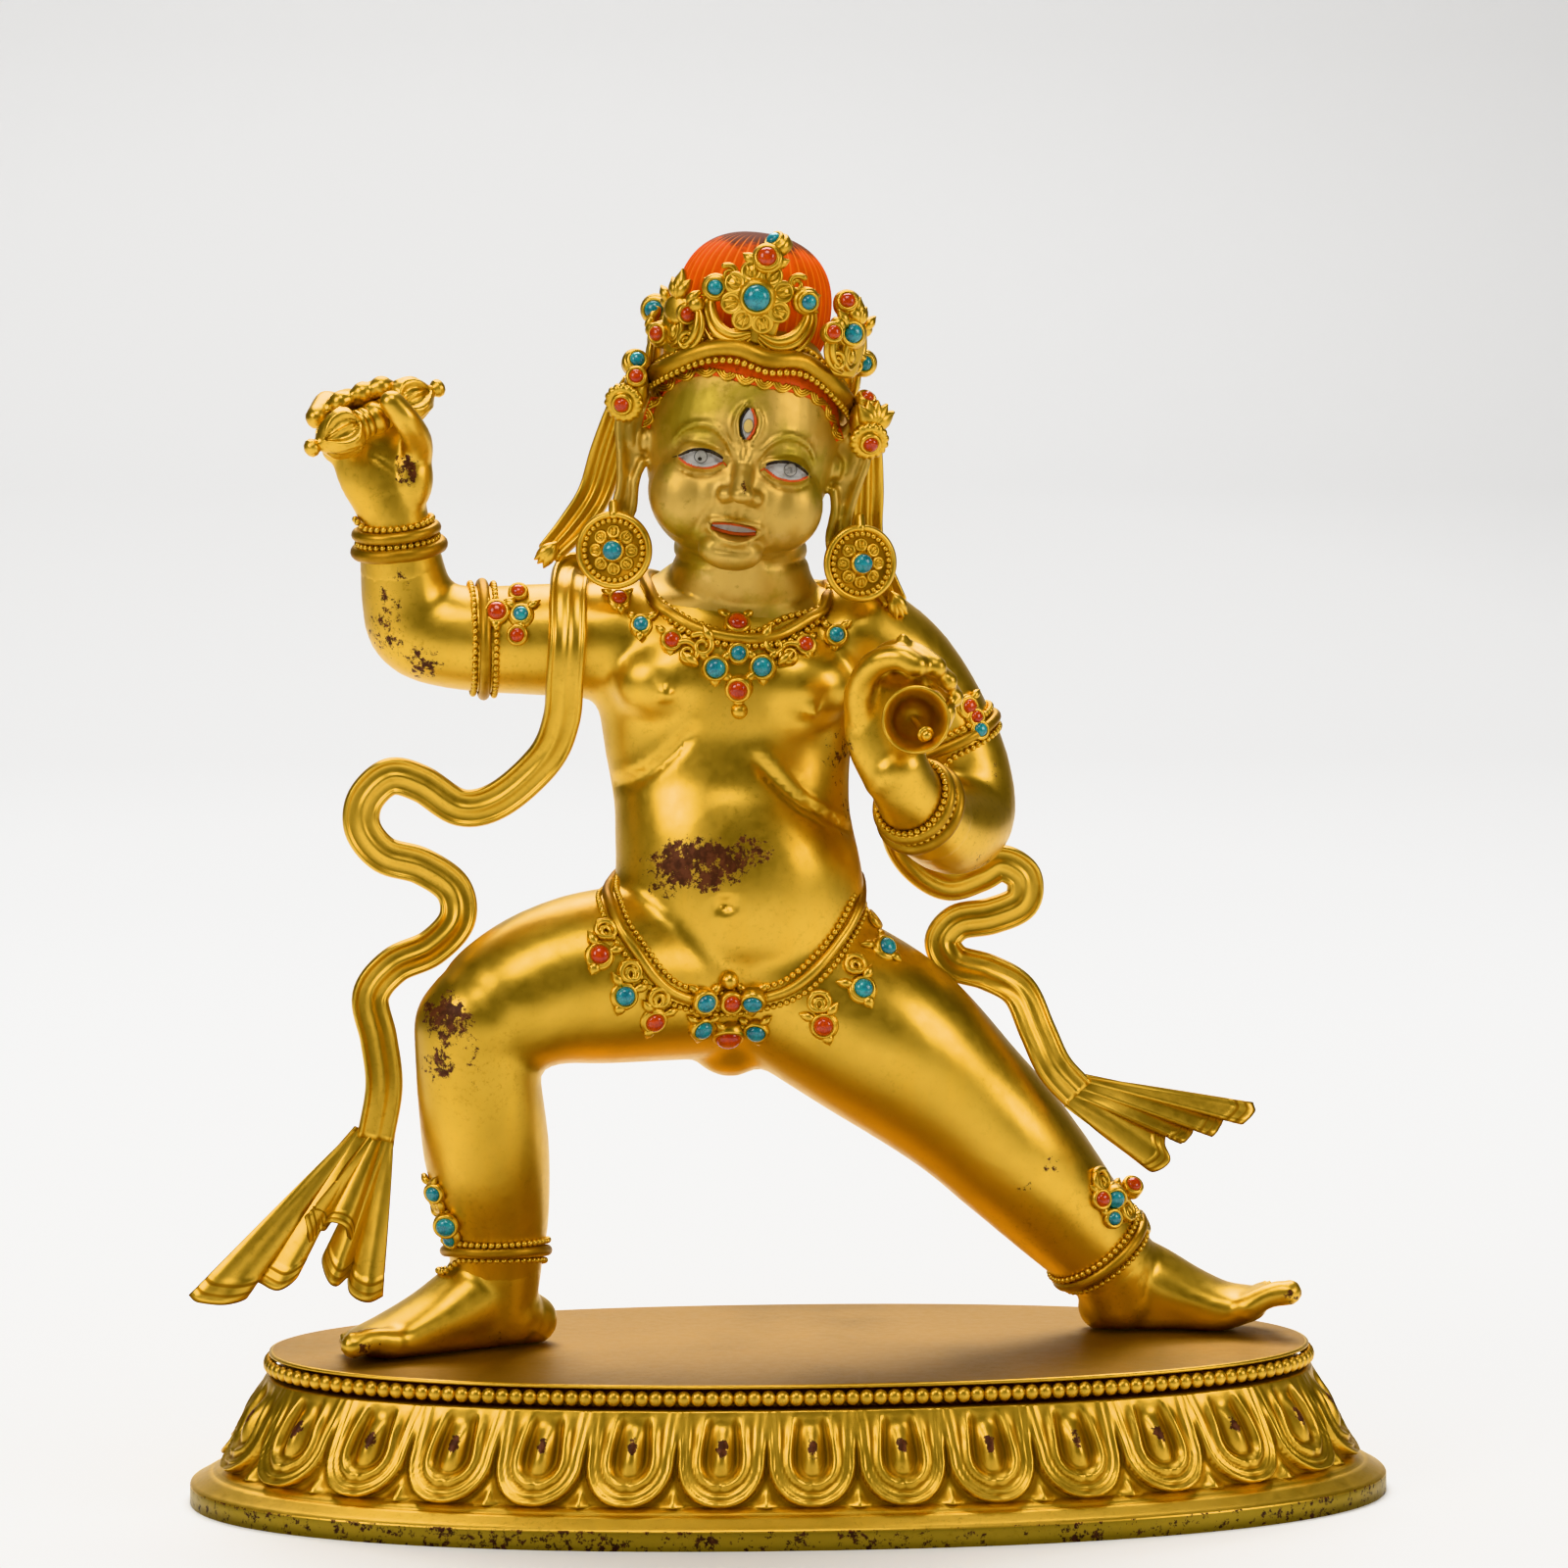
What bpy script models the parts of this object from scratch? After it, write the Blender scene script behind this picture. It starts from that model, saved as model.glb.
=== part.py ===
"""Gilt bronze deity on a lotus base: the solids.

The figure stands wide on an oval lotus base and holds a thunderbolt sceptre and a bell.
The origin is the middle of the base's underside; the figure faces -Y and +Z is up.
"""
import bpy
import numpy as np
from math import cos, pi, radians, sin
from mathutils import Vector
from mathutils.bvhtree import BVHTree

# Driving sizes, in metres.
FIGURE_HEIGHT = 0.230       # soles to the top of the hair
BASE_HEIGHT = 0.031         # underside to the ground the figure stands on
BASE_FLARE = 0.018          # how far the foot slab reaches past the top's edge
BASE_SLAB = 0.0038          # upright edge of the foot slab
BASE_TOP_DEPTH = 0.094      # front to back of the top
BEAD_ROLL = 0.0030          # height of the pearl roll under the top's lip
PETAL_THICKNESS = 0.0026    # how far a petal stands off the base's core
SCARF_WIDTH = 0.0076
SCARF_THICKNESS = 0.0026
SCEPTRE_LENGTH = 0.0335
SCEPTRE_BULB = 0.0100       # width of one bundle of prongs
BELL_MOUTH = 0.0136
BELL_LENGTH = 0.0120
BELL_WALL = 0.0010
EARRING_DIAMETER = 0.0158
EARRING_THICKNESS = 0.0026
CROWN_PLATE = 0.0026        # thickness of a crown leaf
STONE_SMALL = 0.0031        # widths of the set stones
STONE_MEDIUM = 0.0039
STONE_LARGE = 0.0053
COLLET_RIM = 0.0006         # how far a collet stands out round its stone
COLLET_RISE = 0.0009
GAP = 0.0003                # clearance between pieces that touch

# The pose is laid out on a figure 230 units tall, from the ground under its soles.
UNIT = FIGURE_HEIGHT / 230.0
GROUND = BASE_HEIGHT + GAP
STANCE = 211.0 * UNIT       # the top is as long as the wide stance needs
PETALS = 30

HEAD_CENTRE = np.array((-10.9, -6.0, 182.5))
HEAD_ROLL = radians(8.5)    # the head leans towards its left shoulder
HEAD_YAW = radians(4.0)

# Each station is x, y, z and the two half-widths of the section there.
TORSO = (
    (-12.6, 1.0, 64.0, 9.0, 9.0), (-11.5, 1.0, 72.0, 19.0, 14.0),
    (-10.9, 0.0, 84.0, 27.0, 18.5), (-10.9, -1.5, 91.0, 26.3, 19.5),
    (-11.2, -2.0, 98.0, 25.3, 19.5), (-12.0, -1.5, 106.0, 24.3, 18.5),
    (-12.3, 0.0, 114.0, 24.2, 17.0), (-12.8, 1.0, 124.0, 25.5, 16.5),
    (-12.9, 1.0, 132.0, 26.8, 17.0), (-13.0, 1.0, 139.0, 29.0, 17.0),
    (-12.0, 1.5, 146.0, 31.0, 15.5), (-11.2, 1.0, 151.5, 26.0, 12.5),
    (-10.7, 0.0, 156.0, 17.5, 11.5), (-10.5, -1.5, 160.0, 14.0, 12.0),
    (-10.7, -3.0, 168.0, 13.5, 12.5))
RIGHT_THIGH = (
    (-18.0, 0.0, 77.0, 18.0, 18.0), (-38.1, -8.0, 77.1, 17.9, 17.5),
    (-50.2, -12.0, 75.5, 16.3, 16.0), (-60.3, -16.0, 71.7, 14.2, 14.2),
    (-64.5, -18.0, 69.5, 12.0, 12.0))
RIGHT_SHIN = (
    (-66.0, -17.5, 68.0, 11.8, 11.8), (-64.3, -14.0, 53.5, 12.7, 12.7),
    (-62.8, -9.0, 40.8, 12.8, 13.2), (-61.1, -4.0, 27.9, 11.2, 11.2),
    (-60.8, -1.0, 17.3, 9.5, 9.5), (-61.0, 0.0, 9.0, 8.6, 8.6))
RIGHT_FOOT = (
    (-53.5, 5.0, 4.6, 6.2, 5.4), (-61.0, 1.5, 7.0, 7.0, 8.0), (-70.0, -3.0, 6.0, 7.6, 6.8),
    (-79.0, -7.0, 4.2, 8.8, 5.0), (-85.0, -9.6, 2.8, 9.0, 3.4))
LEFT_THIGH = (
    (-4.0, 0.0, 77.0, 18.0, 18.0), (17.6, -1.0, 64.1, 18.8, 18.8),
    (36.1, 1.0, 48.4, 15.8, 15.8), (47.0, 3.0, 37.4, 14.4, 15.2),
    (57.2, 6.0, 26.0, 12.4, 12.8), (67.7, 9.0, 13.9, 9.8, 9.8), (70.0, 10.5, 8.5, 8.8, 8.8))
LEFT_FOOT = (
    (66.5, 12.5, 4.6, 6.2, 5.4), (74.0, 11.5, 7.0, 7.0, 8.0), (82.0, 10.5, 6.6, 7.6, 7.2),
    (90.0, 9.0, 4.6, 8.6, 5.2), (96.0, 8.0, 5.0, 8.8, 3.6))
RIGHT_ARM = (
    (-36.0, 1.0, 145.0, 12.3, 12.3), (-51.5, 2.0, 145.1, 11.4, 11.4),
    (-65.4, 4.0, 145.3, 10.8, 10.8), (-75.4, 5.0, 147.3, 10.3, 10.3),
    (-78.0, 4.6, 153.0, 9.6, 9.6), (-79.3, 3.0, 160.0, 8.6, 8.6),
    (-80.9, 0.0, 170.1, 7.0, 6.6), (-81.6, -1.0, 176.0, 7.4, 5.6))
RIGHT_PALM = (
    (-81.6, -1.0, 173.0, 7.4, 5.4), (-83.0, -1.5, 179.0, 9.2, 4.8), (-84.6, -1.0, 186.5, 9.8, 4.0))
LEFT_ARM = (
    (14.0, 0.5, 145.0, 12.3, 12.3), (21.5, 0.8, 139.5, 11.8, 11.8),
    (28.0, 3.0, 131.4, 11.3, 11.3), (34.2, 4.0, 119.2, 10.9, 10.9),
    (36.2, 2.0, 109.5, 10.3, 10.3), (33.0, -6.0, 106.8, 9.8, 9.8),
    (27.5, -15.0, 109.0, 8.8, 8.8), (21.5, -26.0, 115.5, 7.0, 6.8), (18.6, -30.0, 120.5, 6.6, 5.8))
LEFT_PALM = (
    (18.4, -29.5, 119.0, 6.4, 5.2), (16.5, -29.5, 127.0, 8.0, 4.8), (16.5, -29.0, 136.0, 8.4, 4.2))


class Shell:
    """Closed skins gathered up before they are fused."""

    def __init__(self):
        self.points = []
        self.faces = []

    def add(self, skin):
        start = len(self.points)
        points, faces = skin
        self.points.extend(tuple(p) for p in points)
        self.faces.extend(tuple(i + start for i in face) for face in faces)
        return self


def unit(vector):
    vector = np.asarray(vector, dtype=float)
    return vector / max(np.linalg.norm(vector), 1e-12)


def flowing(stations, steps):
    """Stations joined by a smooth curve that passes through each of them."""
    rows = np.asarray(stations, dtype=float)
    padded = np.vstack((2 * rows[0] - rows[1], rows, 2 * rows[-1] - rows[-2]))
    out = []
    for i in range(len(rows) - 1):
        a, b, c, d = padded[i:i + 4]
        for t in np.arange(steps) / steps:
            out.append(0.5 * (2 * b + (c - a) * t + (2 * a - 5 * b + 4 * c - d) * t * t
                              + (3 * b - 3 * c + d - a) * t ** 3))
    out.append(rows[-1])
    return np.array(out)


def stitch(rings):
    """Skin over rings with equal point counts, closed by a fan at each end."""
    count = len(rings[0])
    points = [p for ring in rings for p in ring]
    faces = []
    for i in range(len(rings) - 1):
        for j in range(count):
            k = (j + 1) % count
            faces.append((i * count + j, i * count + k, (i + 1) * count + k, (i + 1) * count + j))
    faces.append(tuple(range(count - 1, -1, -1)))
    last = (len(rings) - 1) * count
    faces.append(tuple(range(last, last + count)))
    return points, faces


def tube(stations, facing=(0, 1, 0), steps=3, sides=14, caps=3):
    """Swept limb with an oval section; the second half-width lies along facing."""
    rows = flowing(stations, steps)
    rows[:, 3:] = np.maximum(rows[:, 3:], 0.2)
    centres = rows[:, :3]
    tangents = np.gradient(centres, axis=0)
    turns = np.linspace(0, 2 * pi, sides, endpoint=False)
    rings = []

    def ring(centre, tangent, wide, thick):
        along = unit(tangent)
        second = unit(np.asarray(facing, float) - np.dot(facing, along) * along)
        first = np.cross(second, along)
        rings.append([centre + wide * cos(t) * first + thick * sin(t) * second for t in turns])

    reach = min(rows[0, 3:])
    for k in range(caps):
        angle = pi / 2 * (k + 0.35) / caps
        ring(centres[0] - unit(tangents[0]) * reach * cos(angle), tangents[0],
             rows[0, 3] * sin(angle), rows[0, 4] * sin(angle))
    for centre, tangent, row in zip(centres, tangents, rows):
        ring(centre, tangent, row[3], row[4])
    reach = min(rows[-1, 3:])
    for k in reversed(range(caps)):
        angle = pi / 2 * (k + 0.35) / caps
        ring(centres[-1] + unit(tangents[-1]) * reach * cos(angle), tangents[-1],
             rows[-1, 3] * sin(angle), rows[-1, 4] * sin(angle))
    return stitch(rings)


def blob(centre, radii, place=lambda p: p, sides=16, rings=9):
    """Closed ellipsoid, moved by place when it sits in another frame."""
    rows = []
    for i in range(1, rings):
        angle = pi * i / rings
        rows.append([place(np.array((centre[0] + radii[0] * sin(angle) * cos(t),
                                     centre[1] + radii[1] * sin(angle) * sin(t),
                                     centre[2] - radii[2] * cos(angle))))
                     for t in np.linspace(0, 2 * pi, sides, endpoint=False)])
    return stitch(rows)


def roll(points, radius, sides=8):
    """Closed loop of round wire through the points."""
    points = np.asarray(points, float)
    count = len(points)
    turns = np.linspace(0, 2 * pi, sides, endpoint=False)
    centre = points.mean(axis=0)
    verts = []
    for i in range(count):
        along = unit(points[(i + 1) % count] - points[i - 1])
        outward = points[i] - centre
        outward = unit(outward - np.dot(outward, along) * along)
        side = np.cross(along, outward)
        verts.extend(points[i] + radius * (cos(t) * outward + sin(t) * side) for t in turns)
    faces = []
    for i in range(count):
        n = (i + 1) % count
        for j in range(sides):
            k = (j + 1) % sides
            faces.append((i * sides + j, n * sides + j, n * sides + k, i * sides + k))
    return verts, faces


def turned(profile, origin, axis, sides):
    """Turned solid; the profile gives radius and height along the axis."""
    axis = unit(axis)
    first = unit(np.cross(axis, (0.13, 0.21, 1.0)))
    second = np.cross(axis, first)
    rings = [[np.asarray(origin) + axis * h + r * (cos(t) * first + sin(t) * second)
              for t in np.linspace(0, 2 * pi, sides, endpoint=False)] for r, h in profile]
    return stitch(rings)


def on_head(x, y, z):
    """A place given across, back and up from the middle of the head."""
    across = np.array((cos(HEAD_ROLL), 0.0, -sin(HEAD_ROLL)))
    up = np.array((sin(HEAD_ROLL), 0.0, cos(HEAD_ROLL)))
    back = np.array((0.0, 1.0, 0.0))
    turned_x = x * cos(HEAD_YAW) + y * sin(HEAD_YAW)
    turned_y = -x * sin(HEAD_YAW) + y * cos(HEAD_YAW)
    return HEAD_CENTRE + across * turned_x + back * turned_y + up * z


def head_tube(stations, **options):
    rows = [tuple(on_head(*row[:3])) + tuple(row[3:]) for row in stations]
    return tube(rows, **options)


def head_blob(centre, radii, **options):
    return blob(centre, radii, place=lambda p: on_head(*p), **options)


def place_object(name, skin, colour, roughness, metallic):
    """Mesh object from a skin laid out in figure units."""
    points, faces = skin
    mesh = bpy.data.meshes.new(name)
    mesh.from_pydata([(p[0] * UNIT, p[1] * UNIT, p[2] * UNIT + GROUND) for p in points], [], faces)
    mesh.update()
    item = bpy.data.objects.new(name, mesh)
    bpy.context.scene.collection.objects.link(item)
    outward(item)
    finish(item, colour, roughness, metallic)
    return item


def finish(item, colour, roughness, metallic):
    material = bpy.data.materials.new(item.name)
    material.use_nodes = True
    shader = material.node_tree.nodes["Principled BSDF"]
    shader.inputs["Base Color"].default_value = (*colour, 1.0)
    shader.inputs["Roughness"].default_value = roughness
    shader.inputs["Metallic"].default_value = metallic
    material.diffuse_color = (*colour, 1.0)
    item.data.materials.clear()
    item.data.materials.append(material)


def outward(item):
    """Flip the faces when the enclosed volume comes out negative."""
    mesh = item.data
    mesh.calc_loop_triangles()
    points = np.array([v.co for v in mesh.vertices])
    tris = np.array([t.vertices[:] for t in mesh.loop_triangles])
    a, b, c = points[tris[:, 0]], points[tris[:, 1]], points[tris[:, 2]]
    if np.einsum("ij,ij->i", a, np.cross(b, c)).sum() < 0:
        mesh.flip_normals()


def settle(item):
    """Replace the mesh by what its modifiers make of it."""
    graph = bpy.context.evaluated_depsgraph_get()
    graph.update()
    mesh = bpy.data.meshes.new_from_object(item.evaluated_get(graph), depsgraph=graph)
    materials = list(item.data.materials)
    item.modifiers.clear()
    item.data = mesh
    mesh.materials.clear()
    for material in materials:
        mesh.materials.append(material)


def fuse(item, voxel, relax):
    """One skin over all the closed skins of the item."""
    step = item.modifiers.new("fuse", "REMESH")
    step.mode = "VOXEL"
    step.voxel_size = voxel
    if relax:
        step = item.modifiers.new("relax", "SMOOTH")
        step.factor = 0.5
        step.iterations = relax
    settle(item)


def thin_out(item, triangles):
    item.data.calc_loop_triangles()
    step = item.modifiers.new("thin_out", "DECIMATE")
    step.ratio = min(1.0, triangles / max(1, len(item.data.loop_triangles)))
    step.use_collapse_triangulate = True
    settle(item)


def combine(item, other, operation, keep=False):
    step = item.modifiers.new("combine", "BOOLEAN")
    step.operation = operation
    step.solver = "EXACT"
    step.use_self = True
    step.object = other
    settle(item)
    if not keep:
        bpy.data.objects.remove(other)


def biggest(item):
    """Keep the largest skin only, joined face to face."""
    mesh = item.data
    owner = list(range(len(mesh.polygons)))

    def root(i):
        while owner[i] != i:
            owner[i] = owner[owner[i]]
            i = owner[i]
        return i

    sides = {}
    for face in mesh.polygons:
        for key in face.edge_keys:
            sides.setdefault(key, []).append(face.index)
    for faces in sides.values():
        if len(faces) == 2:
            owner[root(faces[0])] = root(faces[1])
    sizes = {}
    for face in mesh.polygons:
        key = root(face.index)
        sizes[key] = sizes.get(key, 0) + face.area
    best = max(sizes, key=sizes.get)
    index = {}
    points = []
    kept = []
    for face in mesh.polygons:
        if root(face.index) != best:
            continue
        for i in face.vertices:
            if i not in index:
                index[i] = len(points)
                points.append(tuple(mesh.vertices[i].co))
        kept.append(tuple(index[i] for i in face.vertices))
    fresh = bpy.data.meshes.new(mesh.name)
    fresh.from_pydata(points, [], kept)
    for material in mesh.materials:
        fresh.materials.append(material)
    item.data = fresh


def swollen(item, distance):
    """Copy of the item grown outwards, used to cut a clearance."""
    copy = bpy.data.objects.new(item.name + "_room", item.data.copy())
    bpy.context.scene.collection.objects.link(copy)
    step = copy.modifiers.new("grow", "DISPLACE")
    step.strength = distance
    step.mid_level = 0.0
    settle(copy)
    return copy


def surface(item):
    """Search tree over the item's surface, in figure units."""
    mesh = item.data
    points = [Vector((v.co.x, v.co.y, v.co.z - GROUND)) / UNIT for v in mesh.vertices]
    return BVHTree.FromPolygons(points, [tuple(p.vertices) for p in mesh.polygons])


def lay(tree, points, lift):
    """Points moved onto the surface and lifted off it."""
    out = []
    for point in points:
        spot, normal, _, _ = tree.find_nearest(Vector(point))
        out.append(np.array(spot + normal * lift))
    return np.array(out)


def seen_from_front(tree, x, z, start=-90.0):
    """Where a straight look from the front meets the surface, and the lie of it."""
    spot, normal, _, _ = tree.ray_cast(Vector((x, start, z)), Vector((0, 1, 0)))
    if spot is None:
        spot, normal, _, _ = tree.find_nearest(Vector((x, -12.0, z)))
    total = Vector((0, -0.8, 0))
    for dx, dz in ((0, 0), (1.5, 0), (-1.5, 0), (0, 1.5), (0, -1.5)):
        hit, lie, _, _ = tree.find_nearest(spot + Vector((dx, -0.5, dz)))
        total += lie
    return np.array(spot), np.array(total.normalized())


def oval_turns(count, half_x, half_y, power):
    """Angles that space points evenly along the oval's edge."""
    fine = np.linspace(0, 2 * pi, 4001)
    edge = oval_edge(fine, half_x, half_y, power)
    run = np.concatenate(([0], np.cumsum(np.linalg.norm(np.diff(edge, axis=0), axis=1))))
    return np.interp(np.arange(count) * run[-1] / count, run, fine)


def oval_edge(turns, half_x, half_y, power):
    cosines, sines = np.cos(turns), np.sin(turns)
    return np.stack((half_x * np.sign(cosines) * np.abs(cosines) ** (2 / power),
                     half_y * np.sign(sines) * np.abs(sines) ** (2 / power)), axis=1)


def lotus_base():
    """Oval base with one ring of hanging petals under a pearl roll."""
    # Height share of each row and its reach past the top's edge as a share of the flare.
    slab = BASE_SLAB / BASE_HEIGHT
    rows = ((0.0, 1.0), (slab, 1.0), (slab + 0.015, 0.97), (0.20, 0.78), (0.235, 0.66),
            (0.25, 0.56), (0.28, 0.54), (0.33, 0.50), (0.40, 0.44), (0.50, 0.36),
            (0.61, 0.28), (0.71, 0.20), (0.78, 0.10), (0.80, 0.02))
    roll_base = 0.80
    bead = BEAD_ROLL / BASE_HEIGHT
    rows += ((roll_base + 0.15 * bead, 0.10), (roll_base + 0.5 * bead, 0.16),
             (roll_base + 0.85 * bead, 0.10), (roll_base + bead, 0.03),
             (roll_base + bead + 0.02, 0.10), (0.985, 0.10), (1.0, 0.05))
    across = (-1.0, -0.86, -0.55, 0.0, 0.55, 0.86)
    columns = PETALS * len(across)
    half_x, half_y = STANCE / 2, BASE_TOP_DEPTH / 2
    turns_even = oval_turns(PETALS * 40, half_x + 0.4 * BASE_FLARE, half_y + 0.27 * BASE_FLARE, 2.2)
    lowest, highest = 0.26, 0.79
    rings = []
    for height, reach in rows:
        share = (height - lowest) / (highest - lowest)
        inside = 0.0 < share < 1.0
        width = min(1.0, max(share, 0.0) / 0.5) ** 0.5 if inside else 1.0
        places = []
        lifts = []
        for petal in range(PETALS):
            for u in across:
                spot = u if abs(u) == 1.0 else u * (0.25 + 0.75 * width)
                places.append((petal + 0.5 + 0.5 * spot) * 40)
                rise = {1.0: 0.0, 0.86: 0.15, 0.55: 1.0, 0.0: 1.0}[abs(u)]
                curl = 1.0 + 0.8 * max(0.0, 1.0 - share / 0.3) * (1.0 - abs(u))
                lifts.append(rise * curl if inside else 0.0)
        turns = np.interp(places, np.arange(PETALS * 40 + 1), np.append(turns_even, 2 * pi))
        edge = oval_edge(turns, half_x + reach * BASE_FLARE, half_y + 0.67 * reach * BASE_FLARE, 2.2)
        ahead = np.roll(edge, -1, axis=0) - np.roll(edge, 1, axis=0)
        normal = np.stack((ahead[:, 1], -ahead[:, 0]), axis=1)
        normal /= np.linalg.norm(normal, axis=1)[:, None]
        edge = edge + normal * (np.array(lifts) * PETAL_THICKNESS)[:, None]
        level = height * BASE_HEIGHT
        rings.append([np.array((x / UNIT, y / UNIT, (level - GROUND) / UNIT)) for x, y in edge])
    item = place_object("lotus_base", stitch(rings), (0.62, 0.42, 0.13), 0.42, 1.0)
    thin_out(item, 1800)
    return item


def toes(ball, ahead, lift, big_side):
    """Five toes fanned from the ball of a foot; the big toe lies on big_side."""
    ahead = unit(ahead)
    across = np.cross((0, 0, 1), ahead) * big_side
    out = []
    for k in range(5):
        offset = 6.6 - 3.35 * k
        radius = 2.9 if k == 0 else 2.2 - 0.12 * k
        start = np.asarray(ball) + across * offset + np.array((0, 0, radius - 1.5))
        tip = start + ahead * (9.0 - 0.9 * k) + across * 0.5 + np.array((0, 0, lift))
        middle = (start + tip) / 2 + np.array((0, 0, 0.8))
        out.append(tube([(*start, radius, radius), (*middle, radius * 0.95, radius * 0.95),
                         (*tip, radius * 0.95, radius * 0.9)], sides=8, steps=2, caps=2))
    return out


def finger(stations, radius, sides=8):
    widths = np.linspace(radius, radius * 0.82, len(stations))
    return tube([(*p, w, w) for p, w in zip(stations, widths)], sides=sides, steps=2, caps=2)


def body_skins():
    """Closed skins of the torso, limbs, hands and feet."""
    skins = [tube(TORSO, steps=3, sides=24)]
    skins += [blob((-23, 8, 76), (15, 13, 15)), blob((2, 8, 75), (15, 13, 15)),
              blob((-12, -7.5, 101), (20, 13.5, 16)), blob((-12, -9, 92), (17, 11, 11)),
              blob((-25.5, -8.0, 137), (12, 9.0, 9)), blob((0.5, -8.0, 136), (12, 9.0, 9))]
    skins += [tube(RIGHT_THIGH), tube(RIGHT_SHIN), tube(LEFT_THIGH)]
    skins += [tube(RIGHT_FOOT, facing=(0, 0, 1)), tube(LEFT_FOOT, facing=(0, 0, 1))]
    skins += [blob((-61, -0.5, 9), (7.5, 8, 8)), blob((70, 11, 9), (7.5, 8, 8))]
    skins += toes((-84.5, -9.6, 2.4), (-0.93, -0.37, 0), 0.0, 1)
    skins += toes((95.5, 7.6, 4.2), (0.98, -0.1, 0), 3.4, -1)
    skins += [tube(RIGHT_ARM), tube(LEFT_ARM, steps=4)]
    skins += [tube(RIGHT_PALM), tube(LEFT_PALM)]
    for k in range(4):
        x = -92.6 + 5.0 * k
        tip = (-96.4, -91.6, -87.2, -83.4)[k]
        z = (190.5, 193.6, 195.4, 196.6)[k]
        skins.append(finger([(x, -0.5, 184.0), (x - 0.8, 2.5, 188.5), (x - 1.5, 1.5, 193.5),
                             (tip, -4.5, z)], 2.9))
    skins.append(finger([(-76.4, -1.5, 180.0), (-76.0, -6.5, 185.5), (-78.4, -11.5, 190.0),
                         (-81.4, -12.5, 193.6)], 3.1))
    skins.append(blob((-77.5, -3.0, 178.5), (4.6, 4.4, 7.5)))
    for k in range(4):
        x = 10.6 + 4.2 * k
        skins.append(finger([(x, -29.0, 133.0), (x - 0.4, -28.5, 139.0), (x + 0.2, -33.5, 143.2),
                             (x + 0.8, -39.0, 142.0 - 0.4 * k)], 2.6))
    skins.append(finger([(22.6, -30.0, 126.0), (26.4, -34.5, 129.5), (27.6, -39.5, 134.5)], 2.8))
    return skins


def head_skins():
    """Closed skins of the head, its features, ears and the combed hair."""
    skins = [head_blob((0, 1.5, 4.0), (19.6, 20.0, 26.0), sides=24, rings=14),
             head_blob((0, -3.0, -7.5), (17.8, 16.5, 14.4), sides=20, rings=10),
             head_blob((0, 5.5, 30.5), (16.2, 15.0, 16.4), sides=22, rings=12),
             head_blob((8.6, -10.5, -8.0), (8.4, 8.0, 9.0)),
             head_blob((-8.6, -10.5, -8.0), (8.4, 8.0, 9.0)),
             head_blob((0, -14.8, -17.6), (5.6, 4.2, 3.8)),
             head_blob((0, -19.0, 5.8), (3.0, 2.6, 2.2), rings=7)]
    skins.append(head_tube([(0, -18.5, 3.0, 1.9, 2.0), (0, -21.2, -2.0, 2.3, 2.4),
                            (0, -23.2, -5.6, 2.9, 2.7)], sides=10))
    skins.append(head_tube([(-4.8, -17.2, -11.2, 2.0, 1.4), (0, -19.8, -10.3, 2.6, 1.6),
                            (4.8, -17.2, -11.2, 2.0, 1.4)], facing=(0, 0, 1), sides=8))
    skins.append(head_tube([(-4.0, -17.0, -13.6, 2.0, 1.3), (0, -19.0, -14.3, 2.6, 1.6),
                            (4.0, -17.0, -13.6, 2.0, 1.3)], facing=(0, 0, 1), sides=8))
    for side in (-1, 1):
        skins += [head_blob((side * 3.0, -20.6, -6.4), (2.1, 2.4, 1.7), rings=7),
                  head_blob((side * 8.4, -15.9, 0.3), (4.8, 4.2, 3.0), rings=8)]
        skins.append(head_tube([(side * 3.6, -18.6, 4.0, 1.5, 1.6), (side * 8.5, -17.2, 6.6, 1.6, 1.7),
                                (side * 14.0, -13.2, 4.2, 1.2, 1.4)], facing=(0, 0, 1), sides=8))
        skins.append(head_tube([(side * 18.6, 1.0, 7.5, 1.6, 3.6), (side * 20.6, 1.0, 4.0, 1.8, 4.6),
                                (side * 20.4, 0.0, -3.0, 1.7, 3.6), (side * 20.6, -1.6, -10.0, 1.8, 3.0),
                                (side * 21.0, -2.4, -16.0, 2.0, 2.8)], sides=10))
    return skins


def around(centre, first, second, count=40, start=0.0):
    """Points of an oval loop; first and second are its half axes as vectors."""
    turns = np.linspace(0, 2 * pi, count, endpoint=False) + start
    return [np.asarray(centre) + cos(t) * np.asarray(first) + sin(t) * np.asarray(second)
            for t in turns]


def cuff(tree, centre, along, radius, lift, wire, count=26):
    """Round band that hugs a limb."""
    along = unit(along)
    first = unit(np.cross(along, (0.1, 1.0, 0.2)))
    second = np.cross(along, first)
    loop = around(centre, first * radius, second * radius, count)
    return roll(lay(tree, loop, lift), wire, sides=6)


def necklace_line(drop):
    """Loop round the neck that hangs lower on the chest."""
    points = []
    for t in np.linspace(0, 2 * pi, 36, endpoint=False):
        front = (1 + cos(t)) / 2
        points.append((-10.6 + 18.5 * sin(t), -0.5 - 17.0 * cos(t), 157.5 - (9.5 + drop) * front ** 1.6))
    return points


def belt_line(drop):
    points = []
    for t in np.linspace(0, 2 * pi, 44, endpoint=False):
        front = (1 + cos(t)) / 2
        points.append((-11.0 + 28.0 * sin(t), -22.0 * cos(t), 94.0 - drop - 19.5 * front ** 1.3))
    return points


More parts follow.
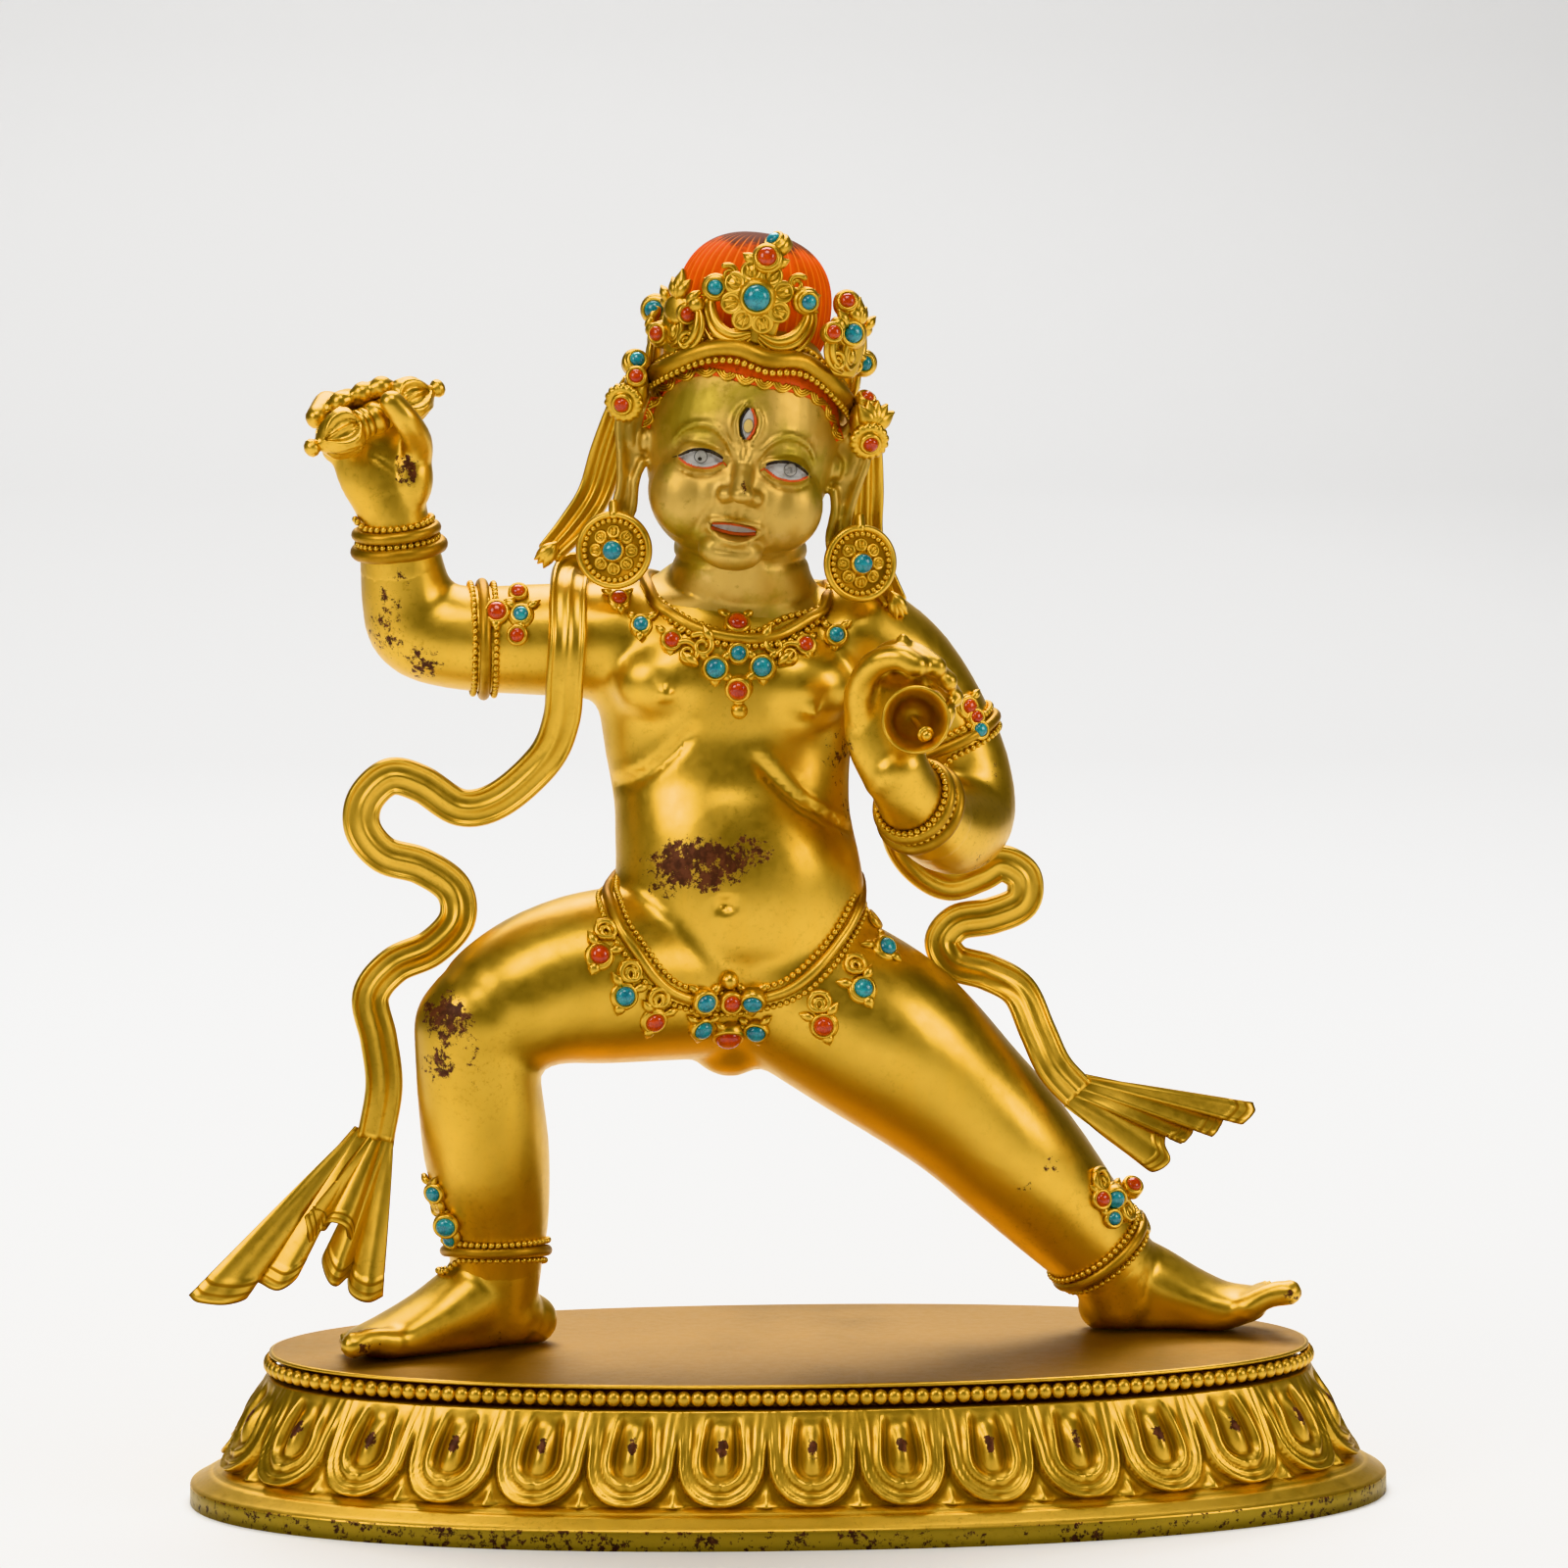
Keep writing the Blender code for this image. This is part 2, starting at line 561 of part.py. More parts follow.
def ornament_skins(tree):
    """Cast jewellery: rolls, cuffs, pendants and shin plaques."""
    skins = [roll(lay(tree, necklace_line(0.0), 0.6), 1.9, sides=6),
             roll(lay(tree, belt_line(0.0), 0.6), 2.1, sides=6)]
    forearm = ((-80.6, 0.8, 168.0), (0.12, 0.2, -1.0))
    skins += [cuff(tree, np.add(forearm[0], np.multiply(forearm[1], h)), forearm[1], 12, 0.5, 1.7)
              for h in (0.0, 3.4)]
    wrist = ((22.6, -23.5, 113.8), (0.5, 0.75, -0.42))
    skins += [cuff(tree, np.add(wrist[0], np.multiply(wrist[1], h)), wrist[1], 12, 0.5, 1.7)
              for h in (0.0, 3.6)]
    skins += [cuff(tree, (-60.9, -0.6, 16.0), (0, 0.1, 1), 13, 0.6, 1.9),
              cuff(tree, (67.0, 9.2, 14.6), (0.62, 0.18, -0.75), 13, 0.6, 1.9),
              cuff(tree, (-64.5, 4.0, 145.3), (1, 0, 0), 14, 0.4, 1.7),
              cuff(tree, (31.5, 3.6, 124.5), (0.4, 0.1, -0.9), 14, 0.4, 1.7)]
    # A plaque of two scrolls hangs from each pendant place on the belt and the necklace.
    for share in np.linspace(-0.42, 0.42, 5):
        angle = share * pi * 0.55
        x = -12.0 + 27.0 * sin(angle)
        z = 72.5 + 17.0 * (1 - cos(angle)) / (1 - cos(0.42 * pi * 0.55)) * 0.42
        spot, lie = seen_from_front(tree, x, z - 3.5)
        skins.append(blob(spot, (3.1, 2.2, 5.0), sides=8, rings=6))
    for x, z in ((-17.0, 141.5), (-10.8, 136.5), (-5.0, 141.5), (-27.5, 145.0), (5.5, 145.0)):
        spot, lie = seen_from_front(tree, x, z)
        skins.append(blob(spot, (3.2, 1.9, 3.6), sides=8, rings=6))
    for places, size in ((((-74.0, 33.0), (-73.0, 27.0), (-72.5, 21.0)), 4.2),
                         (((65.0, 31.5), (69.5, 28.0), (72.5, 23.0)), 4.2)):
        for x, z in places:
            spot, _ = seen_from_front(tree, x, z)
            skins.append(blob(spot, (size, 2.6, size), sides=10, rings=6))
    return skins


def crown_level(angle):
    """Height of the crown's band above the middle of the head, highest in front."""
    return 14.0 + 8.0 * cos(angle)


def crown_reach(level):
    """Distance from the head's axis to its skin at a level, front to back and across."""
    return 20.5 * (1.0 - min(1.0, ((level - 4.0) / 27.0) ** 2)) ** 0.5


def crown_line(lift, out):
    points = []
    for t in np.linspace(0, 2 * pi, 48, endpoint=False):
        level = crown_level(t) + lift
        reach = crown_reach(level) + out
        points.append(on_head(reach * sin(t), 1.5 - (reach + 0.5) * cos(t), level))
    return points


def crown_leaf(angle, width, height, tip):
    """Upright leaf of the crown: a plate with a petalled boss and scrolls."""
    plate = CROWN_PLATE / UNIT
    base = crown_level(angle) + 1.5
    foot = crown_reach(crown_level(angle)) + 1.0

    def place(point):
        u, out, up = point
        reach = foot + out + 0.06 * up
        turn = angle + u / reach
        return on_head(reach * sin(turn), 1.0 - reach * cos(turn), base + up)

    facing = on_head(sin(angle), -cos(angle), 0) - on_head(0, 0, 0)
    skins = []
    outline = []
    for k in range(9):
        share = k / 8
        half = width / 2 * (0.62 + 0.8 * share - 1.3 * share ** 2.6) * (1 - 0.9 * share ** 6)
        outline.append((*place((0.0, 0.0, height * share)), max(half, 0.9), plate / 2))
    skins.append(tube(outline, facing=facing, steps=1, sides=12))
    skins.append(blob((0, 1.2, height * 0.48), (width * 0.25, 2.6, width * 0.25), place=place, sides=12, rings=7))
    for k in range(8):
        turn = 2 * pi * k / 8
        skins.append(blob((width * 0.33 * sin(turn), 1.2, height * 0.48 + width * 0.33 * cos(turn)),
                          (width * 0.125, 1.9, width * 0.125), place=place, sides=8, rings=5))
    for side in (-1, 1):
        scroll = [(side * width * 0.50, 1.0, height * 0.66, 1.2, 1.2),
                  (side * width * 0.58, 1.0, height * 0.40, 1.3, 1.3),
                  (side * width * 0.42, 1.0, height * 0.14, 1.3, 1.3),
                  (side * width * 0.12, 1.0, height * 0.06, 1.3, 1.3)]
        skins.append(tube([(*place(row[:3]), *row[3:]) for row in scroll], sides=8, steps=2))
        skins.append(blob((side * width * 0.52, 1.0, height * 0.74), (2.0, 2.0, 2.0), place=place,
                          sides=8, rings=6))
    skins.append(blob((0, 0.4, height + tip * 0.35), (2.3, 1.9, tip * 0.75), place=place, sides=8, rings=6))
    return skins


def crown_skins():
    """Band, five leaves, temple rosettes and the ribbons behind them."""
    skins = [roll(crown_line(0.0, 1.1), 2.3, sides=8), roll(crown_line(3.2, 1.3), 1.5, sides=6),
             roll(crown_line(-2.6, 1.0), 1.3, sides=6)]
    leaves = ((0.10, 19.0, 20.0, 4.5), (1.02, 12.5, 16.0, 4.0), (-0.98, 12.5, 16.5, 4.5),
              (1.80, 11.0, 13.0, 3.5), (-1.80, 11.0, 13.0, 3.5))
    for leaf in leaves:
        skins += crown_leaf(*leaf)
    for side in (-1, 1):
        skins.append(head_blob((side * 23.4, -6.5, 9.5), (4.2, 4.8, 5.2), sides=12, rings=7))
        skins.append(head_blob((side * 24.3, -4.0, 13.8), (2.4, 3.4, 4.2), sides=10, rings=6))
        ribbon = [(side * 23.6, -2.0, 12.0, 2.2, 1.4), (side * 25.2, 0.5, 6.0, 3.0, 1.5),
                  (side * 26.6, 2.5, -3.0, 3.4, 1.5), (side * 28.0, 3.5, -12.0, 3.2, 1.5),
                  (side * 31.0, 2.0, -19.0, 2.8, 1.4), (side * 34.5, -1.0, -24.0, 2.2, 1.3)]
        skins.append(head_tube(ribbon, facing=(0, 1, 0), sides=10))
    return skins


def ribbon_skin(stations, facing=(0, -1, 0), steps=4):
    """Flat ribbon with rounded edges swept through x, y, z and half-width stations."""
    half = SCARF_THICKNESS / UNIT / 2
    rows = flowing(stations, steps)
    centres = rows[:, :3]
    tangents = np.gradient(centres, axis=0)
    profile = ((-1.0, 0.55), (-0.82, 1.25), (-0.5, 0.8), (0.0, 1.15), (0.5, 0.8), (0.82, 1.25), (1.0, 0.55),
               (1.0, -0.55), (0.75, -1.0), (0.0, -1.0), (-0.75, -1.0), (-1.0, -0.55))
    rings = []
    for centre, tangent, row in zip(centres, tangents, rows):
        along = unit(tangent)
        out = unit(np.asarray(facing, float) - np.dot(facing, along) * along)
        side = np.cross(along, out)
        rings.append([centre + side * u * row[3] + out * v * half for u, v in profile])
    return stitch(rings)


def fan_skin(neck, left_tip, right_tip, pleats, depth, columns=13, rows=7):
    """Pleated end of a scarf, spread from its neck to a wavy hem between two tips."""
    half = SCARF_THICKNESS / UNIT / 2
    neck, left_tip, right_tip = (np.asarray(p, float) for p in (neck, left_tip, right_tip))
    axis = (left_tip + right_tip) / 2 - neck
    out = np.array((0.0, -1.0, 0.0))
    side = unit(np.cross(axis, out))
    front, back = [], []
    for i in range(rows):
        share = i / (rows - 1)
        for j in range(columns):
            u = 2 * j / (columns - 1) - 1
            hem = left_tip * (1 - u) / 2 + right_tip * (1 + u) / 2 + unit(axis) * depth * (1 - u * u)
            start = neck - side * u * SCARF_WIDTH / UNIT / 2 * np.sign(np.dot(side, left_tip - right_tip))
            point = start + (hem - start) * share
            wave = 1.9 * share * sin(pleats * pi * (u + 1))
            front.append(point + out * (half + wave))
            back.append(point + out * (-half + wave))
    points = front + back
    faces = []
    size = rows * columns
    for i in range(rows - 1):
        for j in range(columns - 1):
            a = i * columns + j
            faces.append((a, a + 1, a + columns + 1, a + columns))
            faces.append((size + a, size + a + columns, size + a + columns + 1, size + a + 1))
    rim = ([j for j in range(columns)] + [i * columns + columns - 1 for i in range(1, rows)]
           + [size - 1 - j for j in range(1, columns)] + [i * columns for i in range(rows - 2, 0, -1)])
    for a, b in zip(rim, rim[1:] + rim[:1]):
        faces.append((b, a, size + a, size + b))
    return points, faces


RIGHT_SCARF = (
    (-27.0, 20.0, 132.0), (-34.0, 19.0, 144.0), (-41.0, 12.0, 156.0), (-44.5, 3.0, 159.0),
    (-45.8, -6.5, 155.5), (-46.2, -11.6, 147.0), (-46.8, -11.5, 138.0), (-47.4, -8.5, 129.4),
    (-50.7, -5.0, 121.2), (-59.6, -3.0, 113.0), (-67.6, -2.0, 111.1), (-75.6, -2.0, 116.0),
    (-82.0, -2.0, 117.5), (-87.0, -2.0, 113.0), (-87.6, -2.0, 107.0), (-83.3, -2.0, 101.6),
    (-75.7, -2.0, 99.2), (-69.3, -2.0, 94.6), (-68.6, -3.0, 88.2), (-73.9, -4.0, 82.6),
    (-81.5, -5.0, 79.2), (-86.2, -5.0, 73.0), (-84.6, -6.0, 64.3), (-83.6, -7.0, 54.8), (-85.4, -7.0, 44.0))
LEFT_SCARF = (
    (6.0, 19.5, 134.0), (14.0, 19.5, 130.0), (20.5, 18.5, 120.0), (22.5, 14.0, 110.0),
    (24.0, 10.0, 102.0), (28.0, 8.0, 96.8), (33.5, 7.0, 94.2), (39.6, 6.0, 96.1),
    (44.1, 6.0, 98.2), (48.6, 6.0, 95.4), (48.2, 6.0, 90.1), (42.1, 6.0, 87.3),
    (35.0, 6.0, 86.0), (31.9, 6.0, 82.0), (34.4, 5.0, 77.8), (40.9, 3.0, 75.9),
    (47.1, 0.0, 72.3), (50.5, -4.0, 64.4), (53.6, -7.0, 57.4), (58.4, -8.0, 52.0))


def scarf(name, route, fan, figure_room):
    half = SCARF_WIDTH / UNIT / 2
    skins = [ribbon_skin([(*p, half) for p in route]), fan]
    shell = Shell()
    for skin in skins:
        shell.add(skin)
    item = place_object(name, (shell.points, shell.faces), (0.80, 0.55, 0.18), 0.32, 1.0)
    fuse(item, 0.0007, 0)
    combine(item, figure_room, "DIFFERENCE", keep=True)
    biggest(item)
    thin_out(item, 430)
    combine(item, figure_room, "DIFFERENCE", keep=True)
    biggest(item)
    return item


def sceptre():
    """Two bundles of prongs on a short grip, lying level in the raised hand."""
    half = SCEPTRE_LENGTH / UNIT / 2
    bulb = SCEPTRE_BULB / UNIT / 2
    profile = [(0.6, -half, 1.0), (1.4, -half + 1.4, 1.0), (1.1, -half + 3.0, 1.0)]
    for k in range(5):
        share = k / 4
        profile.append((1.2 + (bulb - 1.2) * sin(pi * share) ** 0.8, -half + 3.6 + share * (half - 6.2),
                        1.0 - 0.38 * sin(pi * share)))
    profile.append((2.6, 0.0, 1.0))
    profile += [(r, -h, lobe) for r, h, lobe in reversed(profile[:-1])]
    axis = unit(SCEPTRE_AXIS)
    first = unit(np.cross(axis, (0.0, 0.0, 1.0)))
    second = np.cross(axis, first)
    rings = []
    for radius, height, lobe in profile:
        ring = []
        for j in range(8):
            reach = radius * (lobe if j % 2 else 1.0)
            turn = pi * j / 4
            ring.append(np.asarray(SCEPTRE_MIDDLE) + axis * height
                        + reach * (cos(turn) * first + sin(turn) * second))
        rings.append(ring)
    return place_object("sceptre", stitch(rings), (0.8, 0.55, 0.18), 0.3, 1.0)


SCEPTRE_MIDDLE = (-84.7, -6.5, 190.4)
SCEPTRE_AXIS = (0.835, 0.389, 0.386)
BELL_PLACE = (20.9, -47.0, 131.6)
BELL_AXIS = (0.04, 1.0, -0.06)


def bell():
    """Open bell whose mouth faces forwards; the axis runs from the mouth to its crown."""
    mouth = BELL_MOUTH / UNIT / 2
    length = BELL_LENGTH / UNIT
    wall = BELL_WALL / UNIT
    outside = [(mouth, 0.0), (mouth * 0.93, length * 0.10), (mouth * 0.78, length * 0.35),
               (mouth * 0.70, length * 0.65), (mouth * 0.55, length * 0.86), (mouth * 0.25, length)]
    inside = [(mouth * 0.20, length - 1.5 * wall), (mouth * 0.55 - wall, length * 0.86 - wall),
              (mouth * 0.70 - wall, length * 0.62), (mouth * 0.78 - wall, length * 0.35),
              (mouth - wall, 0.0)]
    axis = unit(BELL_AXIS)
    first = unit(np.cross(axis, (0, 0, 1)))
    second = np.cross(axis, first)
    turns = np.linspace(0, 2 * pi, 14, endpoint=False)
    rings = [[np.asarray(BELL_PLACE) + axis * h + r * (cos(t) * first + sin(t) * second) for t in turns]
             for r, h in reversed(outside)]
    rings += [[np.asarray(BELL_PLACE) + axis * h + r * (cos(t) * first + sin(t) * second) for t in turns]
              for r, h in reversed(inside)]
    return place_object("bell", stitch(rings), (0.78, 0.54, 0.18), 0.32, 1.0)


def earring(name, centre, outward_x):
    half = EARRING_DIAMETER / UNIT / 2
    thick = EARRING_THICKNESS / UNIT
    axis = unit((outward_x, -1.0, 0.0))
    profile = [(half * 0.92, -thick / 2), (half, 0.0), (half * 0.88, thick / 2),
               (half * 0.72, thick * 0.24), (half * 0.50, thick * 0.28), (half * 0.30, thick * 0.62)]
    return place_object(name, turned(profile, centre, axis, 14), (0.8, 0.56, 0.19), 0.32, 1.0)


def stone_sides(width):
    return 6 if width < 0.0035 else 8


def collet(spot, axis, width):
    """Raised seat whose flat top carries a stone."""
    radius = (width / 2 + COLLET_RIM) / UNIT
    return turned([(radius * 1.1, -2.6), (radius, COLLET_RISE / UNIT)], spot, axis, stone_sides(width))


def stone_room(spot, axis, width):
    """Clear space above a collet, wide enough for its stone."""
    radius = (width / 2 + GAP) / UNIT
    low = (COLLET_RISE + GAP / 2) / UNIT
    return turned([(radius, low), (radius, low + 3.0)], spot, axis, stone_sides(width))


def stone(name, spot, axis, width, colour):
    radius = width / UNIT / 2
    lift = (COLLET_RISE + GAP) / UNIT
    profile = [(radius, lift), (radius * 0.62, lift + radius * 0.7)]
    return place_object(name, turned(profile, spot, axis, stone_sides(width)), colour, 0.35, 0.0)

SIZES = {"S": STONE_SMALL, "M": STONE_MEDIUM, "L": STONE_LARGE}
TURQUOISE = (0.09, 0.42, 0.45)
CORAL = (0.55, 0.04, 0.02)

# Stones by the piece that carries them: kind, size and the place seen from the front.
FIGURE_STONES = {
    "necklace": (("coral", "S", -35.6, 153.4), ("turquoise", "S", -31.3, 148.4),
                 ("coral", "S", -25.4, 145.7), ("coral", "M", -11.9, 148.6),
                 ("turquoise", "M", -16.6, 140.2), ("coral", "M", -11.9, 136.0),
                 ("turquoise", "M", -7.0, 140.4), ("coral", "S", 1.8, 144.4),
                 ("turquoise", "S", 8.2, 146.4)),
    "armlet_right": (("coral", "M", -60.3, 151.0), ("turquoise", "S", -55.4, 150.5)),
    "armlet_left": (("coral", "S", 35.6, 131.4),),
    "belt": (("coral", "M", -40.6, 83.0), ("turquoise", "M", -35.6, 74.9), ("coral", "M", -29.5, 69.5),
             ("turquoise", "M", -19.2, 73.2), ("turquoise", "M", -9.3, 73.1), ("turquoise", "M", -19.7, 67.4),
             ("coral", "L", -13.9, 65.6), ("turquoise", "M", -8.2, 66.5), ("coral", "M", 5.1, 67.8),
             ("turquoise", "M", 13.0, 75.0), ("turquoise", "M", 18.2, 82.5)),
    "shin_right": (("turquoise", "M", -71.2, 27.1), ("turquoise", "S", -73.4, 34.0)),
    "shin_left": (("turquoise", "M", 66.6, 29.6), ("coral", "S", 71.0, 31.0)),
}
CROWN_STONES = {
    "crown": (("turquoise", "S", -5.9, 226.2), ("coral", "M", -6.6, 222.2), ("turquoise", "L", -8.7, 214.6),
              ("turquoise", "S", -16.7, 216.6), ("turquoise", "S", 1.1, 213.9),
              ("turquoise", "M", -27.5, 212.2), ("coral", "S", -30.6, 208.0), ("turquoise", "S", -31.0, 202.6),
              ("coral", "S", 9.9, 213.4), ("turquoise", "M", 10.3, 207.4), ("turquoise", "S", 14.0, 201.4)),
    "rosette": (("coral", "S", -35.0, 193.4), ("coral", "S", 14.4, 185.6)),
}
EARRINGS = {"right": ((-36.9, -13.6, 163.9), -0.28), "left": ((12.9, -13.6, 161.1), 0.28)}


def box(low, high):
    points = [(x, y, z) for z in (low[2], high[2]) for x, y in
              ((low[0], low[1]), (high[0], low[1]), (high[0], high[1]), (low[0], high[1]))]
    return points, [(3, 2, 1, 0), (4, 5, 6, 7), (0, 1, 5, 4), (1, 2, 6, 5), (2, 3, 7, 6), (3, 0, 4, 7)]


def skin_of(item):
    mesh = item.data
    points = [(v.co.x / UNIT, v.co.y / UNIT, (v.co.z - GROUND) / UNIT) for v in mesh.vertices]
    return points, [tuple(face.vertices) for face in mesh.polygons]


def joined(name, skins, colour=(0.83, 0.58, 0.20), roughness=0.3):
    shell = Shell()
    for skin in skins:
        shell.add(skin)
    return place_object(name, (shell.points, shell.faces), colour, roughness, 1.0)


def set_stones(carrier, groups):
    """Collets on the carrier and a stone node above each of them."""
    tree = surface(carrier)
    places = []
    seats = []
    rooms = []
    for group, stones in groups.items():
        for number, (kind, size, x, z) in enumerate(stones, 1):
            spot, axis = seen_from_front(tree, x, z)
            places.append((f"stone_{group}_{number}", spot, axis, SIZES[size], kind))
            seats.append(collet(spot, axis, SIZES[size]))
            rooms.append(stone_room(spot, axis, SIZES[size]))
    combine(carrier, joined("seats", seats), "UNION")
    combine(carrier, joined("stone_rooms", rooms), "DIFFERENCE")
    for name, spot, axis, width, kind in places:
        stone(name, spot, axis, width, TURQUOISE if kind == "turquoise" else CORAL)


def figure_body():
    body = joined("figure", body_skins() + head_skins())
    fuse(body, 0.0012, 2)
    skins = [skin_of(body)] + ornament_skins(surface(body))
    bpy.data.objects.remove(body)
    figure = joined("figure", skins)
    fuse(figure, 0.0011, 1)
    thin_out(figure, 2150)
    return figure


def main():
    for item in list(bpy.data.objects):
        bpy.data.objects.remove(item)
    lotus_base()
    figure = figure_body()
    combine(figure, joined("ground_cut", [box((-150, -90, -30), (150, 90, 0))]), "DIFFERENCE")
    rod = sceptre()
    room = swollen(rod, 1.3 * GAP)
    combine(figure, room, "DIFFERENCE")
    ringer = bell()
    room = joined("bell_room", [turned([(BELL_MOUTH / UNIT / 2 + 0.4, -9.0), (BELL_MOUTH / UNIT / 2 + 0.4, 1.5),
                                        (BELL_MOUTH / UNIT * 0.42, 5.0), (BELL_MOUTH / UNIT * 0.36, 11.0),
                                        (BELL_MOUTH / UNIT * 0.16, 12.6)], BELL_PLACE, BELL_AXIS, 16)])
    combine(figure, room, "DIFFERENCE")
    biggest(figure)
    set_stones(figure, FIGURE_STONES)
    biggest(figure)
    room = swollen(figure, 1.4 * GAP)
    crown = joined("crown", crown_skins())
    fuse(crown, 0.0008, 0)
    combine(crown, room, "DIFFERENCE", keep=True)
    biggest(crown)
    thin_out(crown, 850)
    combine(crown, room, "DIFFERENCE", keep=True)
    biggest(crown)
    set_stones(crown, CROWN_STONES)
    biggest(crown)
    neck = ((-85.4, -7.0, 45.0), (58.0, -8.0, 52.4))
    scarf("scarf_right", RIGHT_SCARF, fan_skin(neck[0], (-121.0, -8.0, 12.4), (-86.3, -10.0, 11.4), 2.5, 2.0), room)
    scarf("scarf_left", LEFT_SCARF, fan_skin(neck[1], (94.0, -6.0, 48.0), (72.2, -12.0, 36.5), 2.0, 2.0), room)
    for side, (centre, turn) in EARRINGS.items():
        earring(f"earring_{side}", centre, turn)
        half = EARRING_THICKNESS / UNIT * 0.62
        axis = unit((turn, -1.0, 0.0))
        stone(f"stone_earring_{side}", np.array(centre) + axis * (half - COLLET_RISE / UNIT), axis,
              STONE_MEDIUM, TURQUOISE)
    axis = unit(BELL_AXIS)
    joined("bell_clapper", [turned([(0.6, 0.2), (1.5, 1.2), (1.5, 2.4), (0.7, 3.4), (0.6, 9.2)],
                                   BELL_PLACE, axis, 8)])
    bpy.data.objects.remove(room)


main()
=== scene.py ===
"""Gilt bronze deity on a lotus base: the dressed model.

Each piece is made by its own operator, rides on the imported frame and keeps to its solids.
The figure faces -Y, +Z is up, and the origin is the middle of the base's underside.
"""
from math import cos, pi, radians, sin

import bpy
import numpy as np
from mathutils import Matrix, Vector
from mathutils.bvhtree import BVHTree


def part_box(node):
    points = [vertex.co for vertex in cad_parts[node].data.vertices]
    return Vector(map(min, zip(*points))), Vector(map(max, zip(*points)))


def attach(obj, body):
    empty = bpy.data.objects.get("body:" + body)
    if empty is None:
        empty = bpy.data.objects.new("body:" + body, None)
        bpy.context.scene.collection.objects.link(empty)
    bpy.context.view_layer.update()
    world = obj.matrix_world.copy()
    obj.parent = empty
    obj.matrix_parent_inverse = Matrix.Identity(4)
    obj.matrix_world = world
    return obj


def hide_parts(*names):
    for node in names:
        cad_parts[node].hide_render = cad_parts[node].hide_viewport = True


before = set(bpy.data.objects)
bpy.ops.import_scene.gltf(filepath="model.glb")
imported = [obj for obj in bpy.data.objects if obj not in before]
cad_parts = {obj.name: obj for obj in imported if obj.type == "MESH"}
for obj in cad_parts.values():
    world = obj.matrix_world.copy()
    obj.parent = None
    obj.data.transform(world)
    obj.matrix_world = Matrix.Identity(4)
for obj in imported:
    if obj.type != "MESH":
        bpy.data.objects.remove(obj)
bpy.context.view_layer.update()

bl_info = {
    "name": "Gilt bronze deity",
    "version": (1, 0, 0),
    "blender": (4, 5, 0),
    "location": "3D View > Sidebar > Statue",
    "description": "Builds a gilt bronze deity with crown, scarves and set stones on a lotus base",
    "category": "Object",
}

UNIT = 0.001                        # the pose is laid out on a figure 230 units tall
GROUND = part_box("figure")[0][2]     # height of the soles
BASE_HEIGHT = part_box("lotus_base")[1][2]
BASE_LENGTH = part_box("lotus_base")[1][0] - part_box("lotus_base")[0][0]
STANCE = 211.0 * UNIT
BASE_TOP_DEPTH = 0.094
BASE_FLARE = (BASE_LENGTH - STANCE) / 2
PETALS = 30
OVAL_POWER = 2.2

HEAD_CENTRE = np.array((-10.9, -6.0, 182.5))
HEAD_ROLL = radians(8.5)
HEAD_YAW = radians(1.0)

# Each station is x, y, z and the two half-widths of the section there.
TORSO = (
    (-12.6, 1.0, 64.0, 9.0, 9.0), (-11.5, 1.0, 72.0, 19.0, 14.0),
    (-10.9, 0.0, 84.0, 27.0, 18.5), (-10.9, -1.5, 91.0, 26.3, 19.5),
    (-11.2, -2.0, 98.0, 25.3, 19.5), (-12.0, -1.5, 106.0, 24.3, 18.5),
    (-12.3, 0.0, 114.0, 24.2, 17.0), (-12.8, 1.0, 124.0, 25.5, 16.5),
    (-12.9, 1.0, 132.0, 26.8, 17.0), (-13.0, 1.0, 139.0, 29.0, 17.0),
    (-12.0, 1.5, 146.0, 31.0, 15.5), (-11.2, 1.0, 151.5, 26.0, 12.5),
    (-10.7, 0.0, 156.0, 17.5, 11.5), (-10.5, -1.5, 160.0, 14.0, 12.0),
    (-10.7, -3.0, 168.0, 13.5, 12.5))
RIGHT_THIGH = (
    (-18.0, 0.0, 77.0, 18.0, 18.0), (-38.1, -8.0, 77.1, 17.9, 17.5),
    (-50.2, -12.0, 75.5, 16.3, 16.0), (-60.3, -16.0, 71.7, 14.2, 14.2),
    (-64.5, -18.0, 69.5, 12.0, 12.0))
RIGHT_SHIN = (
    (-66.0, -17.5, 68.0, 11.8, 11.8), (-64.3, -14.0, 53.5, 12.7, 12.7),
    (-62.8, -9.0, 40.8, 12.8, 13.2), (-61.1, -4.0, 27.9, 11.2, 11.2),
    (-60.8, -1.0, 17.3, 9.5, 9.5), (-61.0, 0.0, 9.0, 8.6, 8.6))
RIGHT_FOOT = (
    (-53.5, 5.0, 4.6, 6.2, 5.4), (-61.0, 1.5, 7.0, 7.0, 8.0), (-70.0, -3.0, 6.0, 7.6, 6.8),
    (-79.0, -7.0, 4.2, 8.8, 5.0), (-85.0, -9.6, 2.8, 9.0, 3.4))
LEFT_THIGH = (
    (-4.0, 0.0, 77.0, 18.0, 18.0), (17.6, -1.0, 64.1, 18.8, 18.8),
    (36.1, 1.0, 48.4, 15.8, 15.8), (47.0, 3.0, 37.4, 14.4, 15.2),
    (57.2, 6.0, 26.0, 12.4, 12.8), (67.7, 9.0, 13.9, 9.8, 9.8), (70.0, 10.5, 8.5, 8.8, 8.8))
LEFT_FOOT = (
    (66.5, 12.5, 4.6, 6.2, 5.4), (74.0, 11.5, 7.0, 7.0, 8.0), (82.0, 10.5, 6.6, 7.6, 7.2),
    (90.0, 9.0, 4.6, 8.6, 5.2), (96.0, 8.0, 5.0, 8.8, 3.6))
